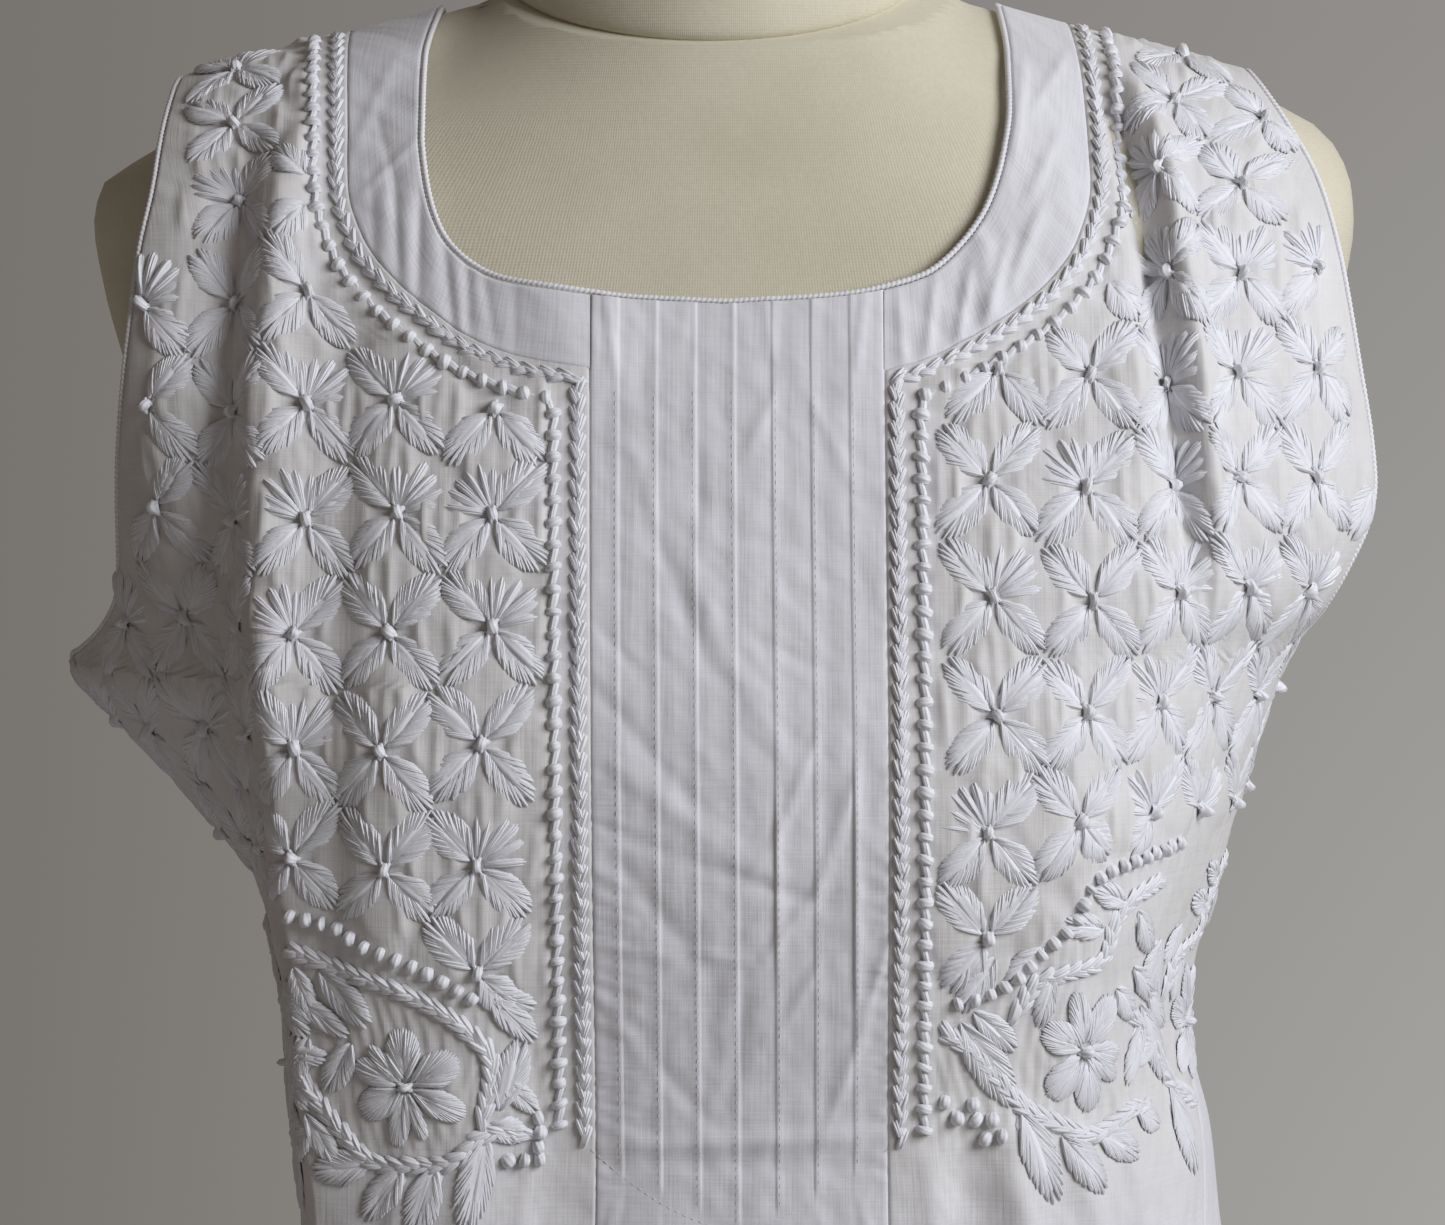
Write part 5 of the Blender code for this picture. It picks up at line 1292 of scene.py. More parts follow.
def binding_shell(name, path, centre, material):
    """A rolled and whipped edge: a round tube with the slanting bumps of its stitches."""
    path = closed_curve(binding_path(path, centre), BINDING_STEP)
    ahead = np.roll(path, -2, axis=0) - np.roll(path, 2, axis=0)
    ahead /= np.linalg.norm(ahead, axis=1, keepdims=True)
    out = outward(path[:, 0], path[:, 1], path[:, 2])
    beside = np.cross(ahead, out)
    beside /= np.linalg.norm(beside, axis=1, keepdims=True)
    out = np.cross(beside, ahead)
    run = length_along(path)
    turns = round(run[-1] / WHIP_PITCH)
    points, flats = [], []
    for n, turn in enumerate(np.linspace(0, 2 * math.pi, BINDING_SIDES, endpoint=False)):
        whip = np.sin(2 * math.pi * turns * run / run[-1] + 1.3 * math.sin(turn))
        radius = (PRESSED_RADIUS + WHIP_HEIGHT * whip)[:, None]
        points.append(path + radius * (beside * math.sin(turn) + out * math.cos(turn)))
        flats.append(np.stack([np.full(len(run), n * 0.001), run], axis=1))
    shell = Shell()
    shell.grid(np.transpose(points, (1, 0, 2)), np.transpose(flats, (1, 0, 2)), closed=True)
    last, first = shell.count - BINDING_SIDES, 0
    around = np.arange(BINDING_SIDES)
    after = (around + 1) % BINDING_SIDES
    shell.faces.append(np.stack([last + around, first + around, first + after, last + after], axis=1))
    made = shell.make(name, material)
    face_outwards(made)
    return made


def face_outwards(made):
    """Turns the faces of a closed piece outwards."""
    mesh = bmesh.new()
    mesh.from_mesh(made.data)
    bmesh.ops.recalc_face_normals(mesh, faces=mesh.faces)
    mesh.to_mesh(made.data)
    mesh.free()


def neck_binding(material):
    front_left, front_right, back_left, back_right = (
        [at_lengths(row, [BINDING_ROOM])[0] for row in band_rows(side, face, 60)]
        for face in ("front", "back") for side in SIDES)
    x = np.linspace(-placket_x("left", 1.28), placket_x("right", 1.28), 24)[1:-1]
    middle = on_cloth(x, np.array([neckline_z(v) for v in x]), "front")
    loop = front_left + list(middle) + front_right[::-1] + back_right[1:] + back_left[::-1][1:-1]
    return binding_shell("neck_binding_rolled", loop, np.array([0.0, 0.0, 1.34]), material)


def armhole_ends(side, face):
    """Where the rows of a panel end at the armhole, from the shoulder down."""
    low = level_of(ARMHOLE[side][-1][1] + 0.0005)
    ends = []
    for level in np.concatenate([np.linspace(TOP_LEVEL, 1, 24)[:-1], np.linspace(1, low, 56)]):
        x_out, cut_out = outer_end(level, side, face)
        row = row_points(level, 0.09, x_out, side, face)
        ends.append(at_lengths(row, [length_along(row)[-1] - cut_out])[0])
    return ends


def armhole_binding(side, material):
    seam = row_points(level_of(ARMHOLE[side][-1][1] - UNDERARM_DROP), 0.09, None, side, "front")[-1]
    loop = armhole_ends(side, "front") + [seam] + armhole_ends(side, "back")[::-1]
    centre = np.array([side_sign(side) * 0.20, SIDE_Y, 1.26])
    return binding_shell("armhole_binding_" + side + "_rolled", loop, centre, material)


# The dress form
FORM_SIDES = 96
FORM_STEP = 0.0060
NECK_SIDES = 96


def form_ring(z, sides):
    """One section of the dress form, with where each of its points lies on the knitted cover."""
    flat = float(FORM["flat"](z))
    neck = float(NECK["half"](z)) if z > NECK_PLANE_Z - 0.015 else 0.0
    ring = []
    for i in range(sides):
        turn = 2 * math.pi * i / sides
        wide = max(float(FORM["left" if turn > math.pi else "right"](z)), neck)
        x = wide * math.copysign(abs(math.sin(turn)) ** (2 / max(flat, 2)), math.sin(turn))
        face = "front" if math.cos(turn) > 0 else "back"
        depth = float(form_depth(x, z, face)) if abs(math.cos(turn)) > 1e-9 else 0.0
        ring.append((x, SIDE_Y + (depth if face == "back" else -depth), z))
    return ring


def capped(mesh, rings):
    """Joins closed rings of points, and caps the first and the last."""
    made = [[mesh.verts.new(p) for p in ring] for ring in rings]
    for low, high in zip(made, made[1:]):
        for i in range(len(low)):
            j = (i + 1) % len(low)
            mesh.faces.new([low[i], low[j], high[j], high[i]])
    mesh.faces.new(made[0][::-1])
    mesh.faces.new(made[-1])


def torso_cover(material):
    """The padded torso in its knitted cover, cut off by the sloping plane of the neck."""
    low, high = FORM_SECTIONS[-1][0], 1.340
    heights = list(np.linspace(low, high, int((high - low) / FORM_STEP)))
    heights += list(np.arange(high + 0.0015, 1.415, 0.0015))
    first = form_ring(heights[0], FORM_SIDES)
    eased = [[(x * k, SIDE_Y + (y - SIDE_Y) * k, z + rise) for x, y, z in first]
             for k, rise in ((0.94, 0.0), (0.975, 0.0003), (0.992, 0.0012))]
    rings = eased + [[(x, y, z + 0.0030) for x, y, z in first]]
    rings += [form_ring(z, FORM_SIDES) for z in heights[1:]]
    mesh = bmesh.new()
    capped(mesh, rings)
    plane = Vector((0, 0, NECK_PLANE_Z))
    up = Vector((0, -NECK_PLANE_SLOPE, 1)).normalized()
    parts = mesh.verts[:] + mesh.edges[:] + mesh.faces[:]
    cut = bmesh.ops.bisect_plane(mesh, geom=parts, plane_co=plane, plane_no=up, clear_outer=True, dist=1e-6)
    bmesh.ops.contextual_create(mesh, geom=[e for e in cut["geom_cut"] if isinstance(e, bmesh.types.BMEdge)])
    bmesh.ops.recalc_face_normals(mesh, faces=mesh.faces)
    return cover(mesh, "form_torso_cover", material)


def cover(mesh, name, material):
    """A closed piece in the knitted cover. Its flat places run round the body and up it."""
    data = bpy.data.meshes.new(name)
    mesh.to_mesh(data)
    mesh.free()
    layer = data.uv_layers.new(name="UVMap")
    for face in data.polygons:
        turns = [math.atan2(data.vertices[v].co.x, SIDE_Y - data.vertices[v].co.y) for v in face.vertices]
        for corner, vertex, turn in zip(face.loop_indices, face.vertices, turns):
            if max(turns) - min(turns) > math.pi and turn < 0:
                turn += 2 * math.pi
            layer.data[corner].uv = (turn * 0.13, data.vertices[vertex].co.z)
    made = finished(name, data, material)
    data.set_sharp_from_angle(angle=math.radians(60))
    return made


NECK_COVER = (
    # height above the sloping plane, half width, half depth, share of the slope
    (-0.0010, 0.0640, 0.0610, 1.00), (0.0000, 0.0655, 0.0625, 1.00), (0.0008, 0.0666, 0.0636, 1.00),
    (0.0018, 0.0673, 0.0644, 1.00), (0.0030, 0.0677, 0.0648, 1.00), (0.0048, 0.0680, 0.0650, 1.00),
    (0.0074, 0.0679, 0.0649, 0.98), (0.0100, 0.0675, 0.0645, 0.95), (0.0150, 0.0665, 0.0637, 0.90),
    (0.0200, 0.0655, 0.0628, 0.85), (0.0270, 0.0641, 0.0615, 0.78), (0.0340, 0.0628, 0.0603, 0.70),
    (0.0430, 0.0615, 0.0592, 0.60), (0.0520, 0.0605, 0.0583, 0.50), (0.0600, 0.0598, 0.0577, 0.44),
    (0.0680, 0.0592, 0.0572, 0.38), (0.0720, 0.0583, 0.0563, 0.36), (0.0750, 0.0570, 0.0550, 0.34),
    (0.0772, 0.0550, 0.0530, 0.33), (0.0782, 0.0525, 0.0505, 0.32), (0.0785, 0.0500, 0.0480, 0.32),
)


def neck_cover(material):
    """The covered neck on its sloping seam."""
    rings = []
    for height, half, depth, slope in NECK_COVER:
        ring = []
        for i in range(NECK_SIDES):
            turn = 2 * math.pi * i / NECK_SIDES
            x = NECK_CENTRE[0] + half * math.sin(turn)
            y = NECK_CENTRE[1] - 0.10 * height - depth * math.cos(turn)
            ring.append((x, y, NECK_PLANE_Z + height + slope * NECK_PLANE_SLOPE * y))
        rings.append(ring)
    mesh = bmesh.new()
    capped(mesh, rings)
    bmesh.ops.recalc_face_normals(mesh, faces=mesh.faces)
    return cover(mesh, "form_neck_cover", material)


class Value:
    """A socket of a node tree. A sum written with it adds the Math nodes that it needs."""

    def __init__(self, tree, socket):
        self.tree, self.socket = tree, socket

    def __add__(self, other):
        return self.tree.maths("ADD", self, other)

    def __sub__(self, other):
        return self.tree.maths("SUBTRACT", self, other)

    def __rsub__(self, other):
        return self.tree.maths("SUBTRACT", other, self)

    def __mul__(self, other):
        return self.tree.maths("MULTIPLY", self, other)

    def __pow__(self, power):
        return self.tree.maths("POWER", self, power)

    __radd__ = __add__
    __rmul__ = __mul__


class Tree:
    """A node tree. Every node of it comes from one method."""

    def __init__(self, tree):
        self.tree = tree

    def node(self, kind, settings=None, values=None):
        """A node of a type, with its settings, and then the values or links of its sockets."""
        made = self.tree.nodes.new(kind)
        for name, setting in (settings or {}).items():
            setattr(made, name, setting)
        for name, value in (values or {}).items():
            if isinstance(value, Value):
                self.tree.links.new(value.socket, made.inputs[name])
            else:
                made.inputs[name].default_value = value
        return made

    def value(self, kind, settings=None, values=None, output=0):
        return Value(self, self.node(kind, settings, values).outputs[output])

    def maths(self, operation, *values):
        return self.value("ShaderNodeMath", {"operation": operation}, dict(enumerate(values)))

    def split(self, where):
        parts = self.node("ShaderNodeSeparateXYZ", None, {0: where})
        return [Value(self, out) for out in parts.outputs]

    def mix(self, low, high, share):
        """A colour between two others, each with its alpha or linked."""
        return self.value("ShaderNodeMix", {"data_type": "RGBA"}, {"Factor": share, 6: low, 7: high},
                          output=2)

    def within(self, value, low, high):
        """Where a value lies from low to high, as a share from 0 to 1."""
        return self.value("ShaderNodeMapRange", {"clamp": True},
                          {"Value": value, "From Min": low, "From Max": high})


class Finish(Tree):
    """The material of one finish, named for its slot in the record."""

    def __init__(self, slot):
        self.slot = slot
        self.material = bpy.data.materials.new(slot)
        self.material.use_nodes = True
        super().__init__(self.material.node_tree)
        self.shader = self.tree.nodes["Principled BSDF"]

    def set(self, **values):
        """Sets sockets of the shader, named in words joined by low lines."""
        for name, value in values.items():
            socket = self.shader.inputs[name.replace("_", " ").title().replace("Ior", "IOR")]
            if isinstance(value, Value):
                self.tree.links.new(value.socket, socket)
            else:
                socket.default_value = value

    def place(self, source, scale=(1, 1, 1)):
        """Places on the piece, in its flat cloth or in the object, stretched."""
        where = self.value("ShaderNodeTexCoord", output=source)
        return self.value("ShaderNodeMapping", None, {"Vector": where, "Scale": scale})

    def noise(self, where, scale, detail=2.0, roughness=0.5):
        return self.value("ShaderNodeTexNoise", None,
                          {"Vector": where, "Scale": scale, "Detail": detail, "Roughness": roughness})

    def wrinkles(self, lean, width, length):
        """Fine soft wrinkles that lean from upright by an angle in degrees."""
        x, y, z = self.split(self.place(OBJECT))
        turn = math.radians(lean)
        round_body = x + y
        beside = round_body * (math.cos(turn) / width) - z * (math.sin(turn) / width)
        along = round_body * (math.sin(turn) / length) + z * (math.cos(turn) / length)
        return self.noise(self.value("ShaderNodeCombineXYZ", None, {"X": beside, "Y": along}), 1.0, 0.6, 0.5)

    def between(self, low, high, share):
        """A colour between two others, each of three numbers."""
        return self.mix((*low, 1), (*high, 1), share)

    def bumps(self, *layers):
        """Normals with layers of relief, each (height, strength, distance)."""
        normal = None
        for height, strength, distance in layers:
            values = {"Height": height, "Strength": strength, "Distance": distance}
            if normal is not None:
                values["Normal"] = normal
            normal = self.value("ShaderNodeBump", None, values)
        return normal


OBJECT, UV = 3, 2
# Pitch of the threads of the cotton, and the heights between which its colour goes over to the skirt's
WARP = 0.00062
SKIRT_TONE_Z = (0.990, 1.030)
# Soft wrinkles all over the cotton: lean from upright in degrees, width, length, strength and depth
WRINKLES = ((-42, 0.0085, 0.0160, 0.55, 0.0016), (24, 0.0075, 0.0130, 0.50, 0.0015))


def woven(slot, light, shade, warmth, sheen, slub_strength, below=None):
    """Fine cotton: crossing threads with thicker places along them, and slight unevenness of colour.
    Below the worked border it may have another pair of colours."""
    finish = Finish(slot)
    flat = finish.place(UV)
    across, up, _ = finish.split(flat)
    warp = finish.maths("SINE", across * (2 * math.pi / WARP))
    weft = finish.maths("SINE", up * (2 * math.pi / (WARP * 1.15)))
    slubs_up = finish.noise(finish.place(UV, (1 / 0.0011, 1 / 0.030, 1)), 1.0, 3.0, 0.6)
    slubs_across = finish.noise(finish.place(UV, (1 / 0.024, 1 / 0.0012, 1)), 1.0, 3.0, 0.6)
    cloudy = finish.noise(finish.place(OBJECT), 26.0, 3.0, 0.55)
    fine = slubs_up * 0.6 + slubs_across * 0.4
    share = finish.within(cloudy * 0.6 + fine * 0.4, 0.34, 0.66)
    colour = finish.between(shade, light, share)
    if below is not None:
        _, _, height = finish.split(finish.place(OBJECT))
        colour = finish.mix(finish.between(*below, share), colour, finish.within(height, *SKIRT_TONE_Z))
    finish.set(
        base_color=colour,
        roughness=finish.within(fine, 0.2, 0.8) * 0.12 + 0.74,
        sheen_weight=sheen,
        sheen_roughness=0.5,
        specular_ior_level=0.22,
        normal=finish.bumps((slubs_up + slubs_across, slub_strength, 0.0005), (warp * weft, 0.06, 0.00012),
                            *[(finish.wrinkles(*row[:3]), *row[3:]) for row in WRINKLES]),
    )
    finish.shader.inputs["Sheen Tint"].default_value = (*warmth, 1)
    return finish


def thread(slot, light, shade, strands):
    """Soft many-stranded cotton thread, with its strands along each stitch. Its colour is darker in the furrows
    between the strands, which is painted shade, and it also varies at random in clouds.
    """
    finish = Finish(slot)
    along, across, _ = finish.split(finish.place(UV))
    strand = finish.maths("SINE", across * (2 * math.pi * strands) + along * 5.0)
    fuzz = finish.noise(finish.place(OBJECT), 900.0, 2.0, 0.6)
    cloudy = finish.noise(finish.place(OBJECT), 120.0, 2.0, 0.5)
    # Painted shade: the colour is darker in the furrows between the strands, where the strand bump is low
    painted_furrow_shade = finish.within(strand * 0.5 + 0.5, 0.0, 0.7)
    finish.set(
        base_color=finish.between(shade, light, finish.within(painted_furrow_shade * 0.5 + cloudy, 0.45, 0.95)),
        roughness=finish.within(fuzz, 0.2, 0.8) * 0.15 + 0.50,
        sheen_weight=0.35,
        sheen_roughness=0.4,
        specular_ior_level=0.35,
        normal=finish.bumps((strand, 0.40, 0.00020), (fuzz, 0.22, 0.0004)),
    )
    return finish


def jersey():
    """Fine cream knit stretched over the form: upright wales of small stitches."""
    finish = Finish("cream_jersey")
    across, up, _ = finish.split(finish.place(UV))
    wales = finish.maths("SINE", across * (2 * math.pi / 0.00125))
    courses = finish.maths("SINE", up * (2 * math.pi / 0.00095) + finish.maths("ABSOLUTE", wales) * 1.4)
    cloudy = finish.noise(finish.place(OBJECT), 18.0, 3.0, 0.5)
    fuzz = finish.noise(finish.place(OBJECT), 620.0, 2.0, 0.6)
    finish.set(
        base_color=finish.between((0.63, 0.59, 0.45), (0.73, 0.69, 0.545),
                                  finish.within(cloudy * 0.7 + fuzz * 0.3, 0.35, 0.65)),
        roughness=finish.within(fuzz, 0.2, 0.8) * 0.1 + 0.78,
        sheen_weight=0.25,
        specular_ior_level=0.2,
        normal=finish.bumps((wales * 0.6 + courses * 0.5, 0.22, 0.00022), (fuzz, 0.15, 0.0004)),
    )
    return finish


def steel():
    """Satin grey paint over steel, faintly dimpled and rubbed duller in places."""
    finish = Finish("painted_steel")
    peel = finish.noise(finish.place(OBJECT), 420.0, 2.0, 0.5)
    rubbed = finish.noise(finish.place(OBJECT), 22.0, 4.0, 0.6)
    finish.set(
        base_color=finish.between((0.43, 0.43, 0.41), (0.50, 0.50, 0.48), finish.within(rubbed, 0.35, 0.65)),
        roughness=finish.within(rubbed, 0.3, 0.7) * 0.18 + 0.34,
        metallic=0.3,
        normal=finish.bumps((peel, 0.10, 0.0005)),
    )
    return finish


def stitch_tree(finish):
    """Stitches laid on the flat cloth. Each is an arched strand with blunt ends, set out by a point that
    says where its middle is, how it is turned and how long, wide and high it is."""
    group = bpy.data.node_groups.new("stitches", "GeometryNodeTree")
    group.interface.new_socket("Geometry", in_out="INPUT", socket_type="NodeSocketGeometry")
    for name, kind, value in (("Steps along", "NodeSocketInt", 6), ("Steps across", "NodeSocketInt", 5),
                              ("Arch", "NodeSocketFloat", 0.35), ("Sunk", "NodeSocketFloat", 0.18)):
        group.interface.new_socket(name, in_out="INPUT", socket_type=kind).default_value = value
    group.interface.new_socket("Geometry", in_out="OUTPUT", socket_type="NodeSocketGeometry")
    tree = Tree(group)
    inputs = tree.node("NodeGroupInput")
    given = {out.name: Value(tree, out) for out in inputs.outputs if out.name}
    grid = tree.node("GeometryNodeMeshGrid", None, {"Size X": 1.0, "Size Y": 1.0,
                                                    "Vertices X": given["Steps along"],
                                                    "Vertices Y": given["Steps across"]})
    mapped = tree.value("GeometryNodeStoreNamedAttribute", {"data_type": "FLOAT2", "domain": "CORNER"},
                        {"Geometry": Value(tree, grid.outputs["Mesh"]), "Name": "UVMap",
                         "Value": Value(tree, grid.outputs["UV Map"])})
    along, across, _ = tree.split(tree.value("GeometryNodeInputPosition"))
    run = tree.maths("SINE", along * math.pi) * 0.5
    blunt = (1.0 - (run * 2.0) ** 4.0) ** 0.5
    arched = (1.0 - (run * 2.0) ** 2.0) * given["Arch"]
    side = tree.maths("SINE", across * math.pi) * 0.5 * (blunt * 0.75 + 0.25)
    rise = tree.maths("COSINE", across * math.pi) * (blunt * 0.85 + 0.15) + arched - given["Sunk"]
    formed = tree.value("ShaderNodeCombineXYZ", None, {"X": run, "Y": side, "Z": rise})
    strand = tree.value("GeometryNodeSetPosition", None, {"Geometry": mapped, "Position": formed})
    turn, size = (tree.value("GeometryNodeInputNamedAttribute", {"data_type": "FLOAT_VECTOR"}, {"Name": name})
                  for name in ("turn", "size"))
    laid = tree.value("GeometryNodeInstanceOnPoints", None,
                      {"Points": given["Geometry"], "Instance": strand, "Rotation": turn, "Scale": size})
    real = tree.value("GeometryNodeRealizeInstances", None, {"Geometry": laid})
    done = tree.value("GeometryNodeSetMaterial", None, {"Geometry": real, "Material": finish.material})
    output = tree.node("NodeGroupOutput")
    group.links.new(done.socket, output.inputs["Geometry"])
    return group


class Work:
    """Stitches of one piece of embroidery, laid out on the flat cloth of a panel."""

    def __init__(self, seed):
        self.rows = []
        self.chance = np.random.default_rng(seed)

    def stitch(self, start, end, width, height, lift=0.0, uneven=1.0):
        """One stitch between two flat places. Its size varies a little."""
        start, end = np.asarray(start, float), np.asarray(end, float)
        middle, reach = (start + end) / 2, end - start
        wide, high = 1 + uneven * 0.14 * self.chance.standard_normal(2)
        self.rows.append((*middle, lift, math.atan2(-reach[1], reach[0]), math.hypot(*reach),
                          width * min(max(wide, 0.7), 1.3), height * min(max(high, 0.7), 1.4)))

    def make(self, name, finish, wrap, flip, steps=(6, 5), arch=0.55):
        """All the stitches as one mesh, wrapped onto the worn cloth."""
        rows = np.array(self.rows)
        data = bpy.data.meshes.new(name)
        data.from_pydata([(s, -t, lift) for s, t, lift in rows[:, :3]], [], [])
        for label, values in (("turn", np.stack([0 * rows[:, 3], 0 * rows[:, 3], rows[:, 3]], axis=1)),
                              ("size", rows[:, 4:7])):
            attribute = data.attributes.new(label, "FLOAT_VECTOR", "POINT")
            attribute.data.foreach_set("vector", values.astype(np.float32).ravel())
        source = placed(name, data)
        group = stitch_tree(finish)
        sewn = source.modifiers.new("stitches", "NODES")
        sewn.node_group = group
        shape = {"Steps along": steps[0], "Steps across": steps[1], "Arch": arch}
        for item in group.interface.items_tree:
            if item.in_out == "INPUT" and item.name in shape:
                sewn[item.identifier] = shape[item.name]
        bpy.context.view_layer.update()
        evaluated = source.evaluated_get(bpy.context.evaluated_depsgraph_get())
        mesh = bpy.data.meshes.new_from_object(evaluated)
        source.modifiers.clear()
        bpy.data.objects.remove(source)
        bpy.data.node_groups.remove(group)
        flat = np.empty(len(mesh.vertices) * 3, dtype=np.float32)
        mesh.vertices.foreach_get("co", flat)
        flat = flat.reshape(-1, 3).astype(float)
        worn = wrap(flat[:, 0], -flat[:, 1], flat[:, 2])
        mesh.vertices.foreach_set("co", worn.astype(np.float32).ravel())
        if flip:
            mesh.flip_normals()
        mesh.name = name
        return finished(name, mesh, finish)


def turned(vector, degrees):
    turn = math.radians(degrees)
    return np.array([vector[0] * math.cos(turn) - vector[1] * math.sin(turn),
                     vector[0] * math.sin(turn) + vector[1] * math.cos(turn)])


def quarter_turned(way):
    """The direction a quarter turn from another."""
    return np.array([-way[1], way[0]])


def leaf_half(share):
    """Half width of a leaf along it, of one at its widest."""
    return math.sin(math.pi * min(max(share, 0.0), 1.0) ** 1.05) ** 0.62


# Width and height of a strand of a leaf, the height of the padding below it and how far it lifts a strand
LEAF_STITCH = (0.00128, 0.00080)
PADDING = 0.00115
STRAND_LIFT = 0.00055


def leaf(work, base, tip, width, per_side=13):
    """A plump leaf: long slanting stitches leave both sides of its midrib, over a padding of wide ones."""
    base, tip = np.asarray(base, float), np.asarray(tip, float)
    length = math.hypot(*(tip - base))
    along = (tip - base) / length
    beside = quarter_turned(along)
    chance = work.chance
    for hand in (-1, 1):
        out = beside * hand * width
        work.stitch(base + along * length * 0.04 + out * 0.07, base + along * length * 0.92 + out * 0.14,
                    width * 0.40, PADDING)
        work.stitch(base + along * length * 0.10 + out * 0.10, base + along * length * 0.74 + out * 0.30,
                    width * 0.36, PADDING * 0.85)
        for n in range(per_side):
            share = n / (per_side - 1)
            root = 0.02 + 0.50 * share
            reach = min(0.40 + 0.60 * share + chance.normal(0, 0.010), 1.0)
            edge = (width / 2 - 0.0004) * leaf_half(reach * 0.975) + chance.normal(0, 0.00016)
            start = base + along * length * root + beside * hand * 0.00030
            end = base + along * length * reach + beside * hand * max(edge, 0.0003)
            work.stitch(start, end, *LEAF_STITCH, lift=STRAND_LIFT)


# Length, width and height of a round knot: a plain one, one at the middle of a flower, one of the row
# beside a seam and one of a cluster
PLAIN_KNOT, FLOWER_KNOT = (0.0046, 0.0034, 0.0024), (0.0042, 0.0030, 0.0029)
ROW_KNOT, CLUSTER_KNOT = (0.0048, 0.0031, 0.0021), (0.0046, 0.0038, 0.0026)
KNOT_LIFT = 0.0002


def bead(work, centre, across, along, size=PLAIN_KNOT, longer=0.0):
    """A fat round knot of thread."""
    length, wide, high = size
    across = across * ((length + longer) / 2) + along * work.chance.normal(0, 0.0003)
    work.stitch(centre - across, centre + across, wide, high, lift=KNOT_LIFT)


def knot(work, centre, across, along):
    """The small round knot at the middle of a flower, with the thread that ties it down."""
    for turn in (-32, 28):
        way = turned(across, turn + work.chance.normal(0, 8)) * 0.0030
        work.stitch(centre - way, centre + way, 0.0015, 0.0016, lift=KNOT_LIFT)
    bead(work, np.asarray(centre), across, along, FLOWER_KNOT, abs(work.chance.normal(0, 0.0005)))


RIGHTWARDS, DOWNWARDS = np.array([1.0, 0.0]), np.array([0.0, 1.0])


def rays(work, centre, start, end, count, reach):
    """A fan of long loops with round ends instead of a leaf. Each is three thick stitches."""
    for n in range(count):
        turn = start + (end - start) * n / (count - 1)
        length = reach * (0.86 + 0.18 * math.sin(math.pi * (n + 0.5) / count))
        length += work.chance.normal(0, 0.0008)
        way = turned(RIGHTWARDS, -turn + work.chance.normal(0, 2.0))
        beside = turned(way, 90)
        for off in (-0.00075, 0.00075, 0.0):
            root = centre + way * 0.0020 + beside * off * 0.4
            tip = centre + way * length * (1.0 if off == 0 else 0.97) + beside * off * 1.15
            work.stitch(root, tip, 0.00160, 0.00145 if off == 0 else 0.00115)


def edge_distance(line, place):
    """Distance from a flat place to a line."""
    start, end = line[:-1], line[1:]
    reach = end - start
    share = ((place - start) * reach).sum(axis=1) / np.maximum((reach ** 2).sum(axis=1), 1e-16)
    near = start + reach * np.clip(share, 0, 1)[:, None]
    return float(np.sqrt(((near - place) ** 2).sum(axis=1)).min())


def spaced(line, pitch, start=0.0):
    """Places along a line at a pitch, with the direction of the line at each."""
    along = length_along(line)
    at = np.arange(start, along[-1], pitch)
    place, ahead, behind = (read_along(at + off, along, line) for off in (0.0, 0.0015, -0.0015))
    way = ahead - behind
    return place, way / np.linalg.norm(way, axis=1, keepdims=True)


def beside_line(line, distance):
    """A line beside one that runs down a panel, at a distance inside it. Its corners are cut clean."""
    place, way = spaced(line, 0.0012)
    moved = place + np.stack([way[:, 1], -way[:, 0]], axis=1) * distance
    return np.array([p for p in moved if edge_distance(line, p) > distance * 0.985])


def smooth_line(points, step=0.0012):
    """A smooth open line through flat places."""
    points = np.array(points, float)
    padded = np.concatenate([2 * points[:1] - points[1:2], points, 2 * points[-1:] - points[-2:-1]])
    made = []
    for p0, p1, p2, p3 in zip(padded, padded[1:], padded[2:], padded[3:]):
        made.append(bend(p0, p1, p2, p3, max(2, int(np.linalg.norm(p2 - p1) / step))))
    return np.concatenate(made + [points[-1:]])


def wheat_chain(work, line, pitch=0.0056, spread=0.0019, reach=0.0072, strands=3, thick=0.00145):
    """A chain of slanting legs like an ear of wheat. They leave the middle by turns, each over the last."""
    place, way = spaced(line, pitch / 2)
    for n, (centre, ahead) in enumerate(zip(place, way)):
        hand = 1 if n % 2 else -1
        across = quarter_turned(ahead) * hand
        longer = reach * work.chance.uniform(0.90, 1.10)
        for strand in range(strands):
            off = (strand - (strands - 1) / 2) * thick * 0.56
            work.stitch(centre + ahead * longer * 0.5 + across * (off * 0.45 - 0.0006),
                        centre - ahead * (longer * 0.5 - abs(off) * 0.8) + across * (spread * 0.78 + off),
                        thick, 0.00125)


def stem(work, line):
    """A broad stem of overlapping slanting stitches."""
    wheat_chain(work, line, 0.0048, 0.0025, 0.0090, 2, 0.00235)


def knot_row(work, line, pitch=0.0066, start=0.003, inside=None):
    """A row of fat knots joined by a thick thread that slants from one to the next."""
    place, way = spaced(line, pitch, start)
    for n, (centre, ahead) in enumerate(zip(place, way)):
        if inside is not None and not inside(centre):
            continue
        across = quarter_turned(ahead)
        slant = turned(across, work.chance.normal(10, 7))
        bead(work, centre, slant, ahead, ROW_KNOT, work.chance.normal(0, 0.0004))
        if n + 1 < len(place) and (inside is None or inside(place[n + 1])):
            work.stitch(centre + across * 0.0010, place[n + 1] - across * 0.0010, 0.00230, 0.00110)


# Seeds of the stitches' unevenness
SEEDS = {"lattice": {"left": 31, "right": 47}, "border": {"left": 5, "right": 9}, "middle": 12, "hem": 3}
# How far from the seam the chain and the row of knots run, and the tip, middle and root of a leaf stay
CHAIN_ROW, KNOT_ROW = 0.0036, 0.0108
TIP_CLEAR, BODY_CLEAR, ROOT_CLEAR = 0.0100, 0.0165, 0.0128
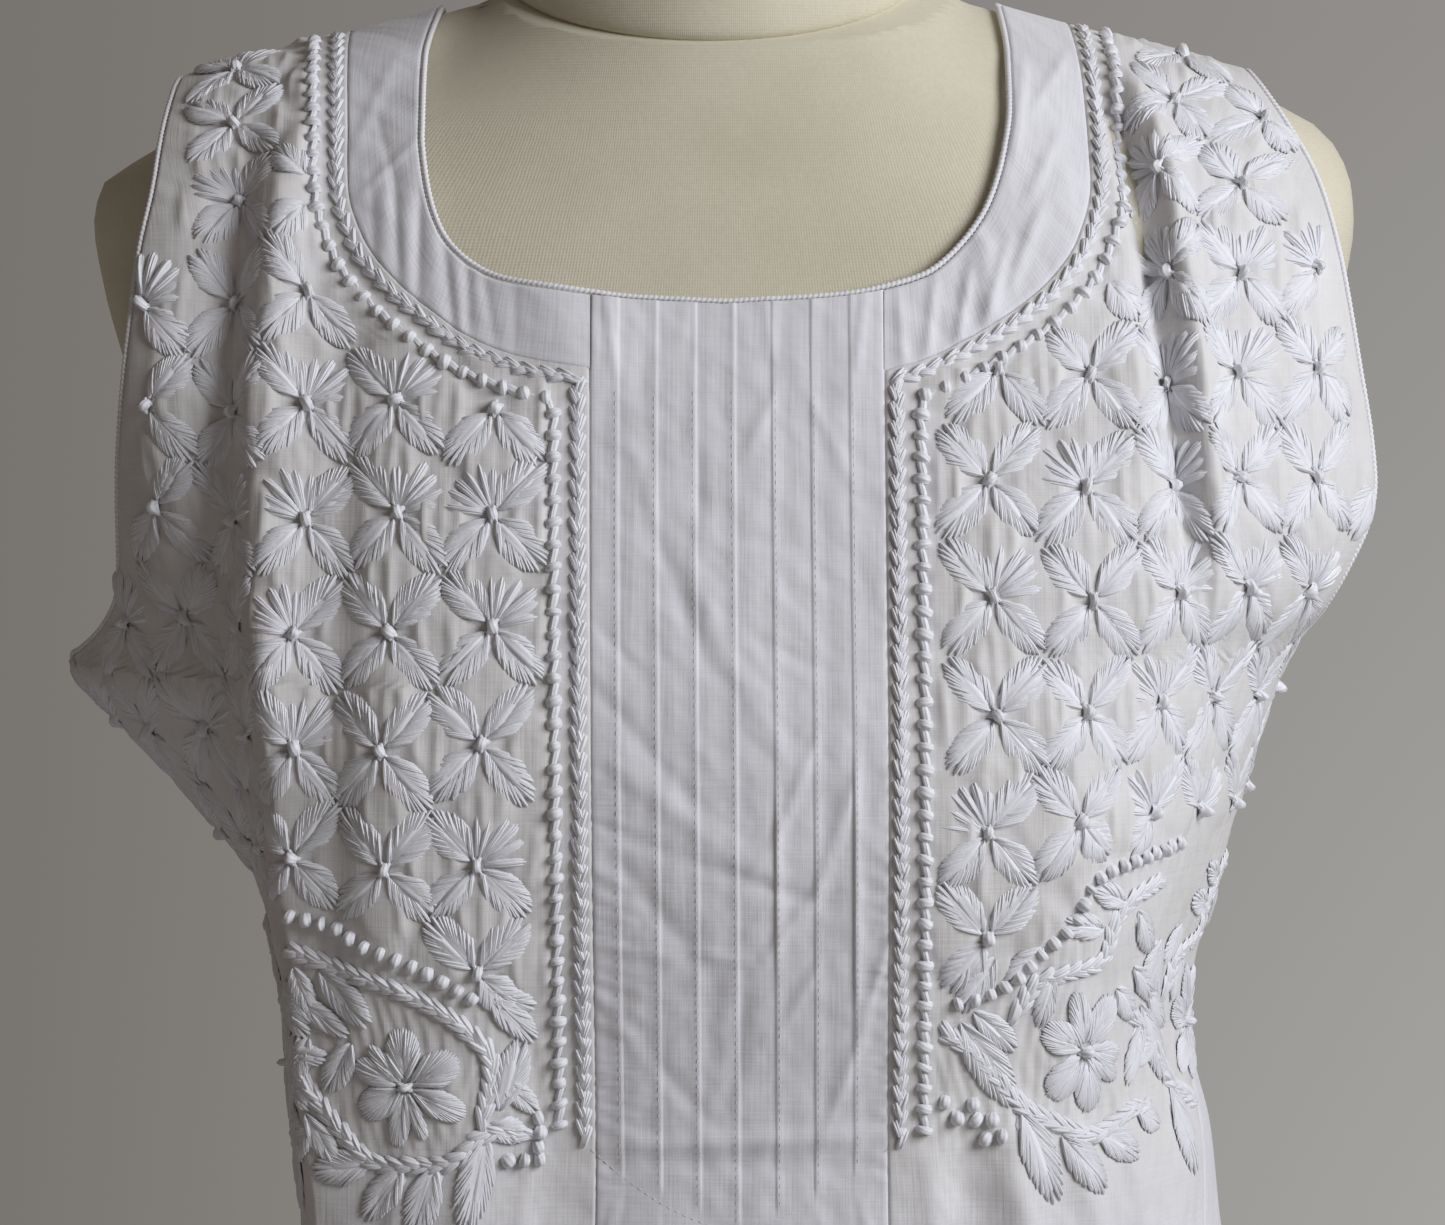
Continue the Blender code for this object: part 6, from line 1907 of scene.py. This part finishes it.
# Where a leaf starts and ends, as shares of the way from its flower to the corner of the cell
LEAF_FROM, LEAF_TO = 0.08, 0.985
LEAF_WIDTH = 0.0132
# Share of the flowers that have a fan, the directions that it starts from in the outer and the inner upper
# corner of the cell, and its loops, reach and spread. Directions are in degrees from outwards.
FAN_SHARE = 0.42
FAN_FROM = {1: 10, -1: 88}
FAN_LOOPS, FAN_REACH, FAN_SPREAD = 6, 0.0168, 82
# A leaf that has no room is made shorter, and one beside a seam starts farther out
LEAF_LENGTHS = (1.0, 0.86, 0.74)
LEAF_FROM_SEAM = 0.32
# How far leaves and knots stay from the edges of their panel, and leaves from the border
PANEL_MARGIN = 0.0035
BORDER_GAP = 0.003


def seam_line(side):
    """The seam of a front panel on the flat cloth: down its neck band and then the middle panel."""
    chart = CHARTS[side]
    band = [tuple(place) for place in BAND_CURVE[side][::3]]
    down = [(placket_x(side, z), z) for z in np.arange(1.256, EMBROIDERY_END_Z[side] + 0.004, -0.004)]
    line = chart.line(band + down)
    return line[line[:, 1] > 0]


def fits(side, seam, base, tip):
    """Whether a leaf has room between the knots, the beads and the edges of its panel."""
    chart = CHARTS[side]
    middle = (base + tip) / 2
    return (chart.inside(tip, PANEL_MARGIN) and chart.inside(base, 0.0025)
            and edge_distance(seam, tip) > TIP_CLEAR and edge_distance(seam, base) > ROOT_CLEAR
            and edge_distance(seam, middle) > BODY_CLEAR and above_waist(side, *tip) > BORDER_GAP
            and above_waist(side, *base) > BORDER_GAP)


def lattice_flower(work, side, seam, centre):
    """One flower of the lattice: a knot and leaves to the corners of its cell, or fans in place of some."""
    chance = work.chance
    corners = ((1, -1), (-1, -1), (-1, 1), (1, 1))
    fan = chance.integers(0, 2) if chance.random() < FAN_SHARE else None
    centre = centre + chance.normal(0, 0.0004, 2)
    made = 0
    for n, corner in enumerate(corners):
        reach = np.array(corner) * np.array(LATTICE_PITCH) / 2
        if n == fan:
            turn = FAN_FROM[corner[0]]
            if fits(side, seam, centre, centre + reach * 0.80):
                rays(work, centre, turn, turn + FAN_SPREAD, FAN_LOOPS, FAN_REACH)
                made += 1
            continue
        start = centre + reach * LEAF_FROM
        if edge_distance(seam, start) < ROOT_CLEAR:
            start = centre + reach * LEAF_FROM_SEAM
        for share in LEAF_LENGTHS:
            tip = centre + reach * LEAF_TO * share + chance.normal(0, 0.0005, 2)
            if fits(side, seam, start, tip):
                leaf(work, start, tip, LEAF_WIDTH * chance.uniform(0.92, 1.08))
                made += 1
                break
    open_cloth = CHARTS[side].inside(centre, 0.003) and centre[1] > 0.006
    if made and open_cloth and edge_distance(seam, centre) > ROOT_CLEAR:
        knot(work, centre, turned(DOWNWARDS, chance.normal(0, 28)), RIGHTWARDS)


def lattice(side, finish):
    """The flowers over the whole front panel of one side, shoulder to waist."""
    chart, work = CHARTS[side], Work(SEEDS["lattice"][side])
    seam = seam_line(side)
    start = chart.flat(*LATTICE_START[side])
    for row in range(-6, 5):
        for column in range(-3, 8):
            shift = 0.0012 * math.sin(row * 2.1 + column) + 0.0010 * row * (1 if side == "left" else -1)
            centre = start + np.array([column * LATTICE_PITCH[0] + shift,
                                       row * LATTICE_PITCH[1] + 0.0016 * math.sin(column * 1.7 + row)])
            near = chart.inside(centre, -0.012) and 0 < centre[1] < chart.t[-1]
            if near and above_waist(side, *centre) > -0.02:
                lattice_flower(work, side, seam, centre)
    return work.make("embroidery_" + side, finish, chart.wrap, side == "left")


# Worked border at the waist. Places are millimetres outwards and up from the middle of its big flower.
BIG_FLOWER = {"left": (0.0935, 1.0460), "right": (0.1075, 1.0535)}
# Petals as turn from outwards, length and width
PETALS = {
    "left": ((88, 18.8, 11.5), (151, 19.0, 11.8), (205, 20.0, 10.2), (254, 17.5, 5.0), (276, 19.3, 7.6),
             (321, 16.5, 11.5), (22, 16.5, 9.5), (53, 16.5, 6.0)),
    "right": ((58, 20.4, 12.5), (103, 20.5, 9.0), (156, 17.7, 12.0), (228, 18.7, 12.5), (280, 20.0, 11.5),
              (319, 16.5, 8.0), (354, 15.5, 8.5)),
}
WAIST_STEMS = {
    "left": (((36, 42), (22, 37), (8, 33), (-6, 27), (-18, 19), (-26, 8), (-23, -12)),
             ((36, 4), (28, -6), (20, -16), (11, -24), (-2, -25), (-14, -23), (-24, -15), (-38, -16))),
    "right": (((34, 52), (20, 48), (11, 41), (6, 30), (-6, 27), (-17, 24), (-24, 14)),
              ((-46, 8), (-36, 0), (-28, -9), (-20, -17), (-8, -23), (4, -27), (18, -22), (30, -21))),
}
# Leaves as base, tip and width
WAIST_LEAVES = {
    "left": (((27, 36), (10, 19), 10.0), ((35, 37), (29, 21), 7.0), ((16, 13), (25, -3), 9.0),
             ((-26, 29), (-40, 14), 8.5), ((-25, 30), (-40, 25), 7.5), ((-28, -8), (-36, 15), 9.8),
             ((32, -10), (21, -27), 7.0), ((11, -25), (30, -28), 10.0), ((30, 14), (37, -2), 7.5),
             ((1, -26), (13, -42), 9.6), ((-9, -24), (-2, -47), 10.4), ((-24, -14), (-18, -46), 10.6),
             ((-29, 3), (-40, -9), 7.0), ((36, 27), (17, 15), 7.0), ((30, -14), (40, -26), 8.0),
             ((-25, -12), (-37, -16), 8.0), ((36, 8), (24, 8), 6.0)),
    "right": (((-42, 12), (-24, -16), 11.0), ((-31, 33), (-42, 15), 9.5), ((-38, 15), (-24, 2), 8.0),
              ((13, 19), (24, 8), 9.0), ((22, 25), (36, 13), 8.5), ((29, 6), (20, -14), 8.0),
              ((22, 44), (32, 29), 9.0), ((6, 40), (-10, 43), 8.0), ((16, 47), (1, 53), 7.5),
              ((-22, -17), (-9, -47), 11.2), ((-8, -26), (9, -45), 10.2), ((5, -26), (24, -36), 9.0),
              ((-13, 27), (-17, 9), 7.0), ((24, -21), (38, -29), 8.0), ((36, 32), (39, 12), 7.5),
              ((38, 0), (26, -8), 7.0), ((-16, 36), (-28, 24), 7.5)),
}
WAIST_KNOTS = {
    "left": ((-40, -10.5), (-40.5, -15), (-40, -19.5), (-31, -23.5), (-35.8, -23.5), (-40.5, -23.5)),
    "right": ((-37, -15), (-31, -20), (-36, -20), (-28, -25), (-42, -19), (-46, -14), (-33, -26)),
}
NEXT_BORDER = 0.070
# Metres for each millimetre of the border, and of its leaves' widths, which are worked a little fuller
MILLIMETRE = 0.001
LEAF_MILLIMETRE = 0.00116
BEAD_PITCH = 0.0052
# The row of beads over the border stops this far from the seam
BEADS_CLEAR = {"left": 0.0350, "right": 0.0180}


def petal(work, centre, turn, length, width):
    """A rounded petal of long stitches that fan out from its base, over a padding."""
    way = turned(RIGHTWARDS, -turn)
    beside = turned(way, 90)
    per_side = max(3, int(round(width / 0.00115)))
    for hand in (-1, 1):
        out = beside * hand * width
        work.stitch(centre + way * length * 0.16 + out * 0.08, centre + way * length * 0.94 + out * 0.18,
                    width * 0.42, PADDING)
        for n in range(per_side):
            share = n / (per_side - 1)
            bend = share * math.pi / 2
            reach = length * (0.60 + 0.40 * math.sin(bend)) + work.chance.normal(0, 0.0002)
            edge = (width / 2 - 0.0005) * math.cos(bend) ** 0.8
            root = length * (0.13 + 0.22 * share)
            end = centre + way * reach + beside * hand * max(edge, 0.0003)
            work.stitch(centre + way * root + out * 0.03, end, 0.00135, 0.00085, lift=STRAND_LIFT)


def waist_border(work, side, outwards):
    """One length of the border at the waist, moved outwards by a distance."""
    chart = CHARTS[side]
    middle_x, middle_z = BIG_FLOWER[side]
    flower = chart.flat(middle_x, middle_z) + np.array([outwards, 0.0])

    def place(x, y):
        return flower + np.array([x, -y]) * MILLIMETRE

    def worked(spot):
        return chart.inside(spot, 0.003) and spot[1] < chart.t[-1] - 0.002

    if worked(flower):
        for turn, length, width in PETALS[side]:
            petal(work, flower, turn + work.chance.normal(0, 3), length * MILLIMETRE, width * MILLIMETRE)
        knot(work, flower, RIGHTWARDS, DOWNWARDS)
    for (x0, y0), (x1, y1), width in WAIST_LEAVES[side]:
        base, tip = place(x0, y0), place(x1, y1)
        if worked(base) and worked(tip):
            leaf(work, base, tip, width * LEAF_MILLIMETRE, 11)
    for line in WAIST_STEMS[side]:
        whole = smooth_line([place(x, y) for x, y in line])
        kept = [spot for spot in whole if worked(spot)]
        if len(kept) > 4:
            stem(work, np.array(kept))
    for x, y in WAIST_KNOTS[side]:
        if outwards == 0 and worked(place(x, y)):
            across = turned(DOWNWARDS, work.chance.normal(0, 15))
            bead(work, place(x, y), across, RIGHTWARDS, CLUSTER_KNOT)


def borders(side, finish):
    """Chains and knots along the seams, the beads and leaves of the waist border."""
    chart, work = CHARTS[side], Work(SEEDS["border"][side])
    seam = seam_line(side)
    wheat_chain(work, beside_line(seam, CHAIN_ROW))
    row = beside_line(seam, KNOT_ROW)
    knot_row(work, row, inside=lambda spot: chart.inside(spot, PANEL_MARGIN))
    beads = smooth_line([spot for spot in WAIST_LINE[side] if spot[0] < chart.end.max() + 0.02])
    place, way = spaced(beads, BEAD_PITCH, 0.002)
    for centre, ahead in zip(place, way):
        if chart.inside(centre, 0.004) and edge_distance(seam, centre) > BEADS_CLEAR[side]:
            bead(work, centre, quarter_turned(ahead), ahead)
    for outwards in (0.0, NEXT_BORDER):
        waist_border(work, side, outwards)
    return work.make("border_" + side, finish, chart.wrap, side == "left")


# Machine stitching on the plain cloth
SEWN = (0.00032, 0.00022)
SEWN_PITCH = 0.0026
V_STITCH = ((-0.0392, 1.0250), (-0.0295, 1.0165), (-0.0135, 1.0062), (0.0035, 1.0010), (0.0205, 1.0060),
            (0.0385, 1.0165), (0.0482, 1.0250))


def sewn_line(work, line):
    """A line of machine stitches on a flat line."""
    place, way = spaced(np.array(line, float), SEWN_PITCH)
    for centre, ahead in zip(place, way):
        work.stitch(centre - ahead * 0.0010, centre + ahead * 0.0010, *SEWN, uneven=0.4)


def middle_wrap(x, t, height):
    """From the flat middle panel, x across and t down from z 0, onto the worn cloth."""
    tucks = np.concatenate([tuck_relief(np.array([a]), np.array([b])) for a, b in zip(x, -t)])
    return raised(on_cloth(x, -t, "front"), WALL + tucks + height)


def middle_stitching(finish):
    """Stitching of the middle panel: beside each tuck and in a wide V below them."""
    work = Work(SEEDS["middle"])
    for n in range(TUCK_COUNT):
        zs = np.arange(tuck_end(n) + 0.003, 1.272, 0.004)[::-1]
        sewn_line(work, [(tuck_lines(z)[n] + (-0.0007 if n < TUCK_TURNED else 0.0007), -z) for z in zs])
    sewn_line(work, [(x, -z) for x, z in smooth_line(V_STITCH, 0.004)])
    return work.make("stitching_front_centre", finish, middle_wrap, False, steps=(3, 3), arch=0.2)


def hem_stitching(finish):
    """The line of stitching that holds the turned hem, all round the skirt."""
    z = HEM_Z + HEM_HEIGHT - 0.0015
    around = []
    for side, face, order in (("right", "front", 1), ("right", "back", -1), ("left", "back", 1),
                              ("left", "front", -1)):
        around.append(row_points(level_of(z), 0.0, None, side, face)[::order])
    ring = np.concatenate(around)
    along = length_along(ring)

    def wrap(s, t, height):
        base = read_along(s, along, ring)
        base[:, 2] -= t
        return raised(base, WALL + height)

    work = Work(SEEDS["hem"])
    sewn_line(work, [(s, 0.0) for s in np.arange(0.001, along[-1], 0.01)])
    return work.make("stitching_hem", finish, wrap, False, steps=(3, 3), arch=0.2)


def declare(made, slot, *nodes):
    """A finished piece: it moves with the whole, stands for its CAD nodes and takes its slot's finish."""
    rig.ride(made, "root")
    if nodes:
        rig.replaces(made, *nodes)
    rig.slot(made, slot)
    return made


PLAIN = woven("plain_cotton", (0.805, 0.805, 0.840), (0.72, 0.72, 0.755), (1.0, 1.0, 1.0), 0.20, 0.30)
GROUND = woven("embroidered_cotton", (0.765, 0.755, 0.750), (0.67, 0.66, 0.655), (1.0, 0.985, 0.965), 0.15,
               0.35, ((0.71, 0.705, 0.735), (0.795, 0.79, 0.82)))
THREAD = thread("embroidery_thread", (0.84, 0.85, 0.890), (0.745, 0.75, 0.785), 3.0)
BOUND = thread("binding_cotton", (0.84, 0.84, 0.870), (0.745, 0.745, 0.775), 2.0)
JERSEY = jersey()
STEEL = steel()

cloth = {}
for side in SIDES:
    cloth["front_" + side] = declare(front_shell(side, GROUND), "embroidered_cotton", "front_" + side)
    cloth["neck_band_" + side] = declare(neck_band(side, PLAIN), "plain_cotton", "neck_band_" + side)
    cloth["gore_" + side] = declare(gore_shell(side, PLAIN), "plain_cotton", "gore_" + side)
    declare(armhole_binding(side, BOUND), "binding_cotton", "armhole_binding_" + side)
cloth["front_centre"] = declare(middle_shell(PLAIN), "plain_cotton", "front_centre")
cloth["back"] = declare(back_shell(PLAIN), "plain_cotton", "back")
cloth["neck_band_back"] = declare(back_neck_band(PLAIN), "plain_cotton", "neck_band_back")
declare(neck_binding(BOUND), "binding_cotton", "neck_binding")
declare(torso_cover(JERSEY), "cream_jersey", "form_torso")
declare(neck_cover(JERSEY), "cream_jersey", "form_neck")
for name in ("stand_pole", "stand_base"):
    frame["nodes"][name].data.materials.clear()
    frame["nodes"][name].data.materials.append(STEEL.material)

worked = {}
for side in SIDES:
    worked[side] = [declare(lattice(side, THREAD), "embroidered_cotton"),
                    declare(borders(side, THREAD), "embroidered_cotton")]
declare(middle_stitching(THREAD), "plain_cotton")
declare(hem_stitching(THREAD), "plain_cotton")

# Width and length of the flat cut of each piece, and its area
CUTS = {
    "front_left": (0.31, 0.78, 0.125), "front_right": (0.31, 0.78, 0.125),
    "front_centre": (0.140, 0.68, 0.081), "back": (0.66, 0.79, 0.300),
    "gore_left": (0.19, 0.49, 0.061), "gore_right": (0.19, 0.49, 0.061),
    "neck_band_left": (0.10, 0.14, 0.0046), "neck_band_right": (0.10, 0.14, 0.0046),
    "neck_band_back": (0.24, 0.10, 0.0112),
}
for name, (width, length, area) in CUTS.items():
    side = name.split("_")[-1]
    extra = worked[side] if name in ("front_left", "front_right") else []
    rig.sheet(cloth[name], flat=(width, length), held="hung", rests_on=["form_torso_cover"], area=area,
             with_pieces=extra)


# The photograph's view: a camera 1.6 m in front of the chest and slightly above it
VIEW_DISTANCE = 1.6
VIEW_ELEVATION = math.radians(4.0)
VIEW_TARGET = (-0.00045, -0.090, 1.186)
VIEW_LENS = 132.87
FLOOR_REACH = 2.6


def camera():
    data = bpy.data.cameras.new("camera")
    data.lens, data.sensor_width = VIEW_LENS, 36.0
    data.clip_start, data.clip_end = 0.05, 60.0
    made = placed("camera", data)
    back, up = VIEW_DISTANCE * math.cos(VIEW_ELEVATION), VIEW_DISTANCE * math.sin(VIEW_ELEVATION)
    made.location = (VIEW_TARGET[0], VIEW_TARGET[1] - back, VIEW_TARGET[2] + up)
    made.rotation_euler = (math.pi / 2 - VIEW_ELEVATION, 0, 0)
    bpy.context.scene.camera = made


def light(name, place, size, watts, colour, aim=(0.0, -0.05, 1.18)):
    """A soft square light that faces a place on the tunic."""
    data = bpy.data.lights.new(name, "AREA")
    data.shape, data.size = "SQUARE", size
    data.energy, data.color = watts, colour
    made = placed(name, data)
    made.location = place
    made.rotation_euler = (Vector(aim) - Vector(place)).to_track_quat("-Z", "Y").to_euler()
    made.visible_camera = False


def studio():
    """A pale floor, a grey room that is darker to the left, and a soft window light from the right."""
    data = bpy.data.meshes.new("floor")
    corners = [(x * FLOOR_REACH, y * FLOOR_REACH, 0) for x, y in ((-1, -1), (1, -1), (1, 1), (-1, 1))]
    data.from_pydata(corners, [], [(0, 1, 2, 3)])
    floor = placed("floor", data)
    pale = Finish("pale_floor")
    share = pale.within(pale.noise(pale.place(OBJECT), 40.0, 3.0, 0.6), 0.35, 0.65)
    pale.set(base_color=pale.between((0.60, 0.595, 0.58), (0.66, 0.655, 0.64), share), roughness=0.8)
    data.materials.append(pale.material)
    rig.stage(floor)

    world = bpy.data.worlds.new("room")
    bpy.context.scene.world = world
    world.use_nodes = True
    tree = Tree(world.node_tree)
    x, _, z = tree.split(tree.value("ShaderNodeTexCoord"))
    right = tree.mix((0.381, 0.376, 0.357, 1), (0.290, 0.278, 0.266, 1), tree.within(z, -0.18, 0.04))
    seen = tree.mix((0.180, 0.168, 0.156, 1), right, tree.within(x, -0.15, 0.15))
    shade = tree.mix((0.118, 0.102, 0.090, 1), seen, tree.value("ShaderNodeLightPath"))
    back = world.node_tree.nodes["Background"]
    world.node_tree.links.new(shade.socket, back.inputs["Color"])
    back.inputs["Strength"].default_value = 1.0

    light("window", (1.50, -1.14, 1.93), 1.1, 36.5, (0.94, 0.955, 1.0))
    light("behind", (0.6, 2.2, 2.2), 1.6, 12.0, (0.95, 0.97, 1.0))


camera()
studio()
bpy.context.scene.view_settings.view_transform = "Standard"

with open("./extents.json", "w") as file:
    json.dump({name: [[round(float(v), 6) for v in corner] for corner in box]
               for name, box in (("cad", CAD_BOX), ("visual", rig.bounds()))}, file)
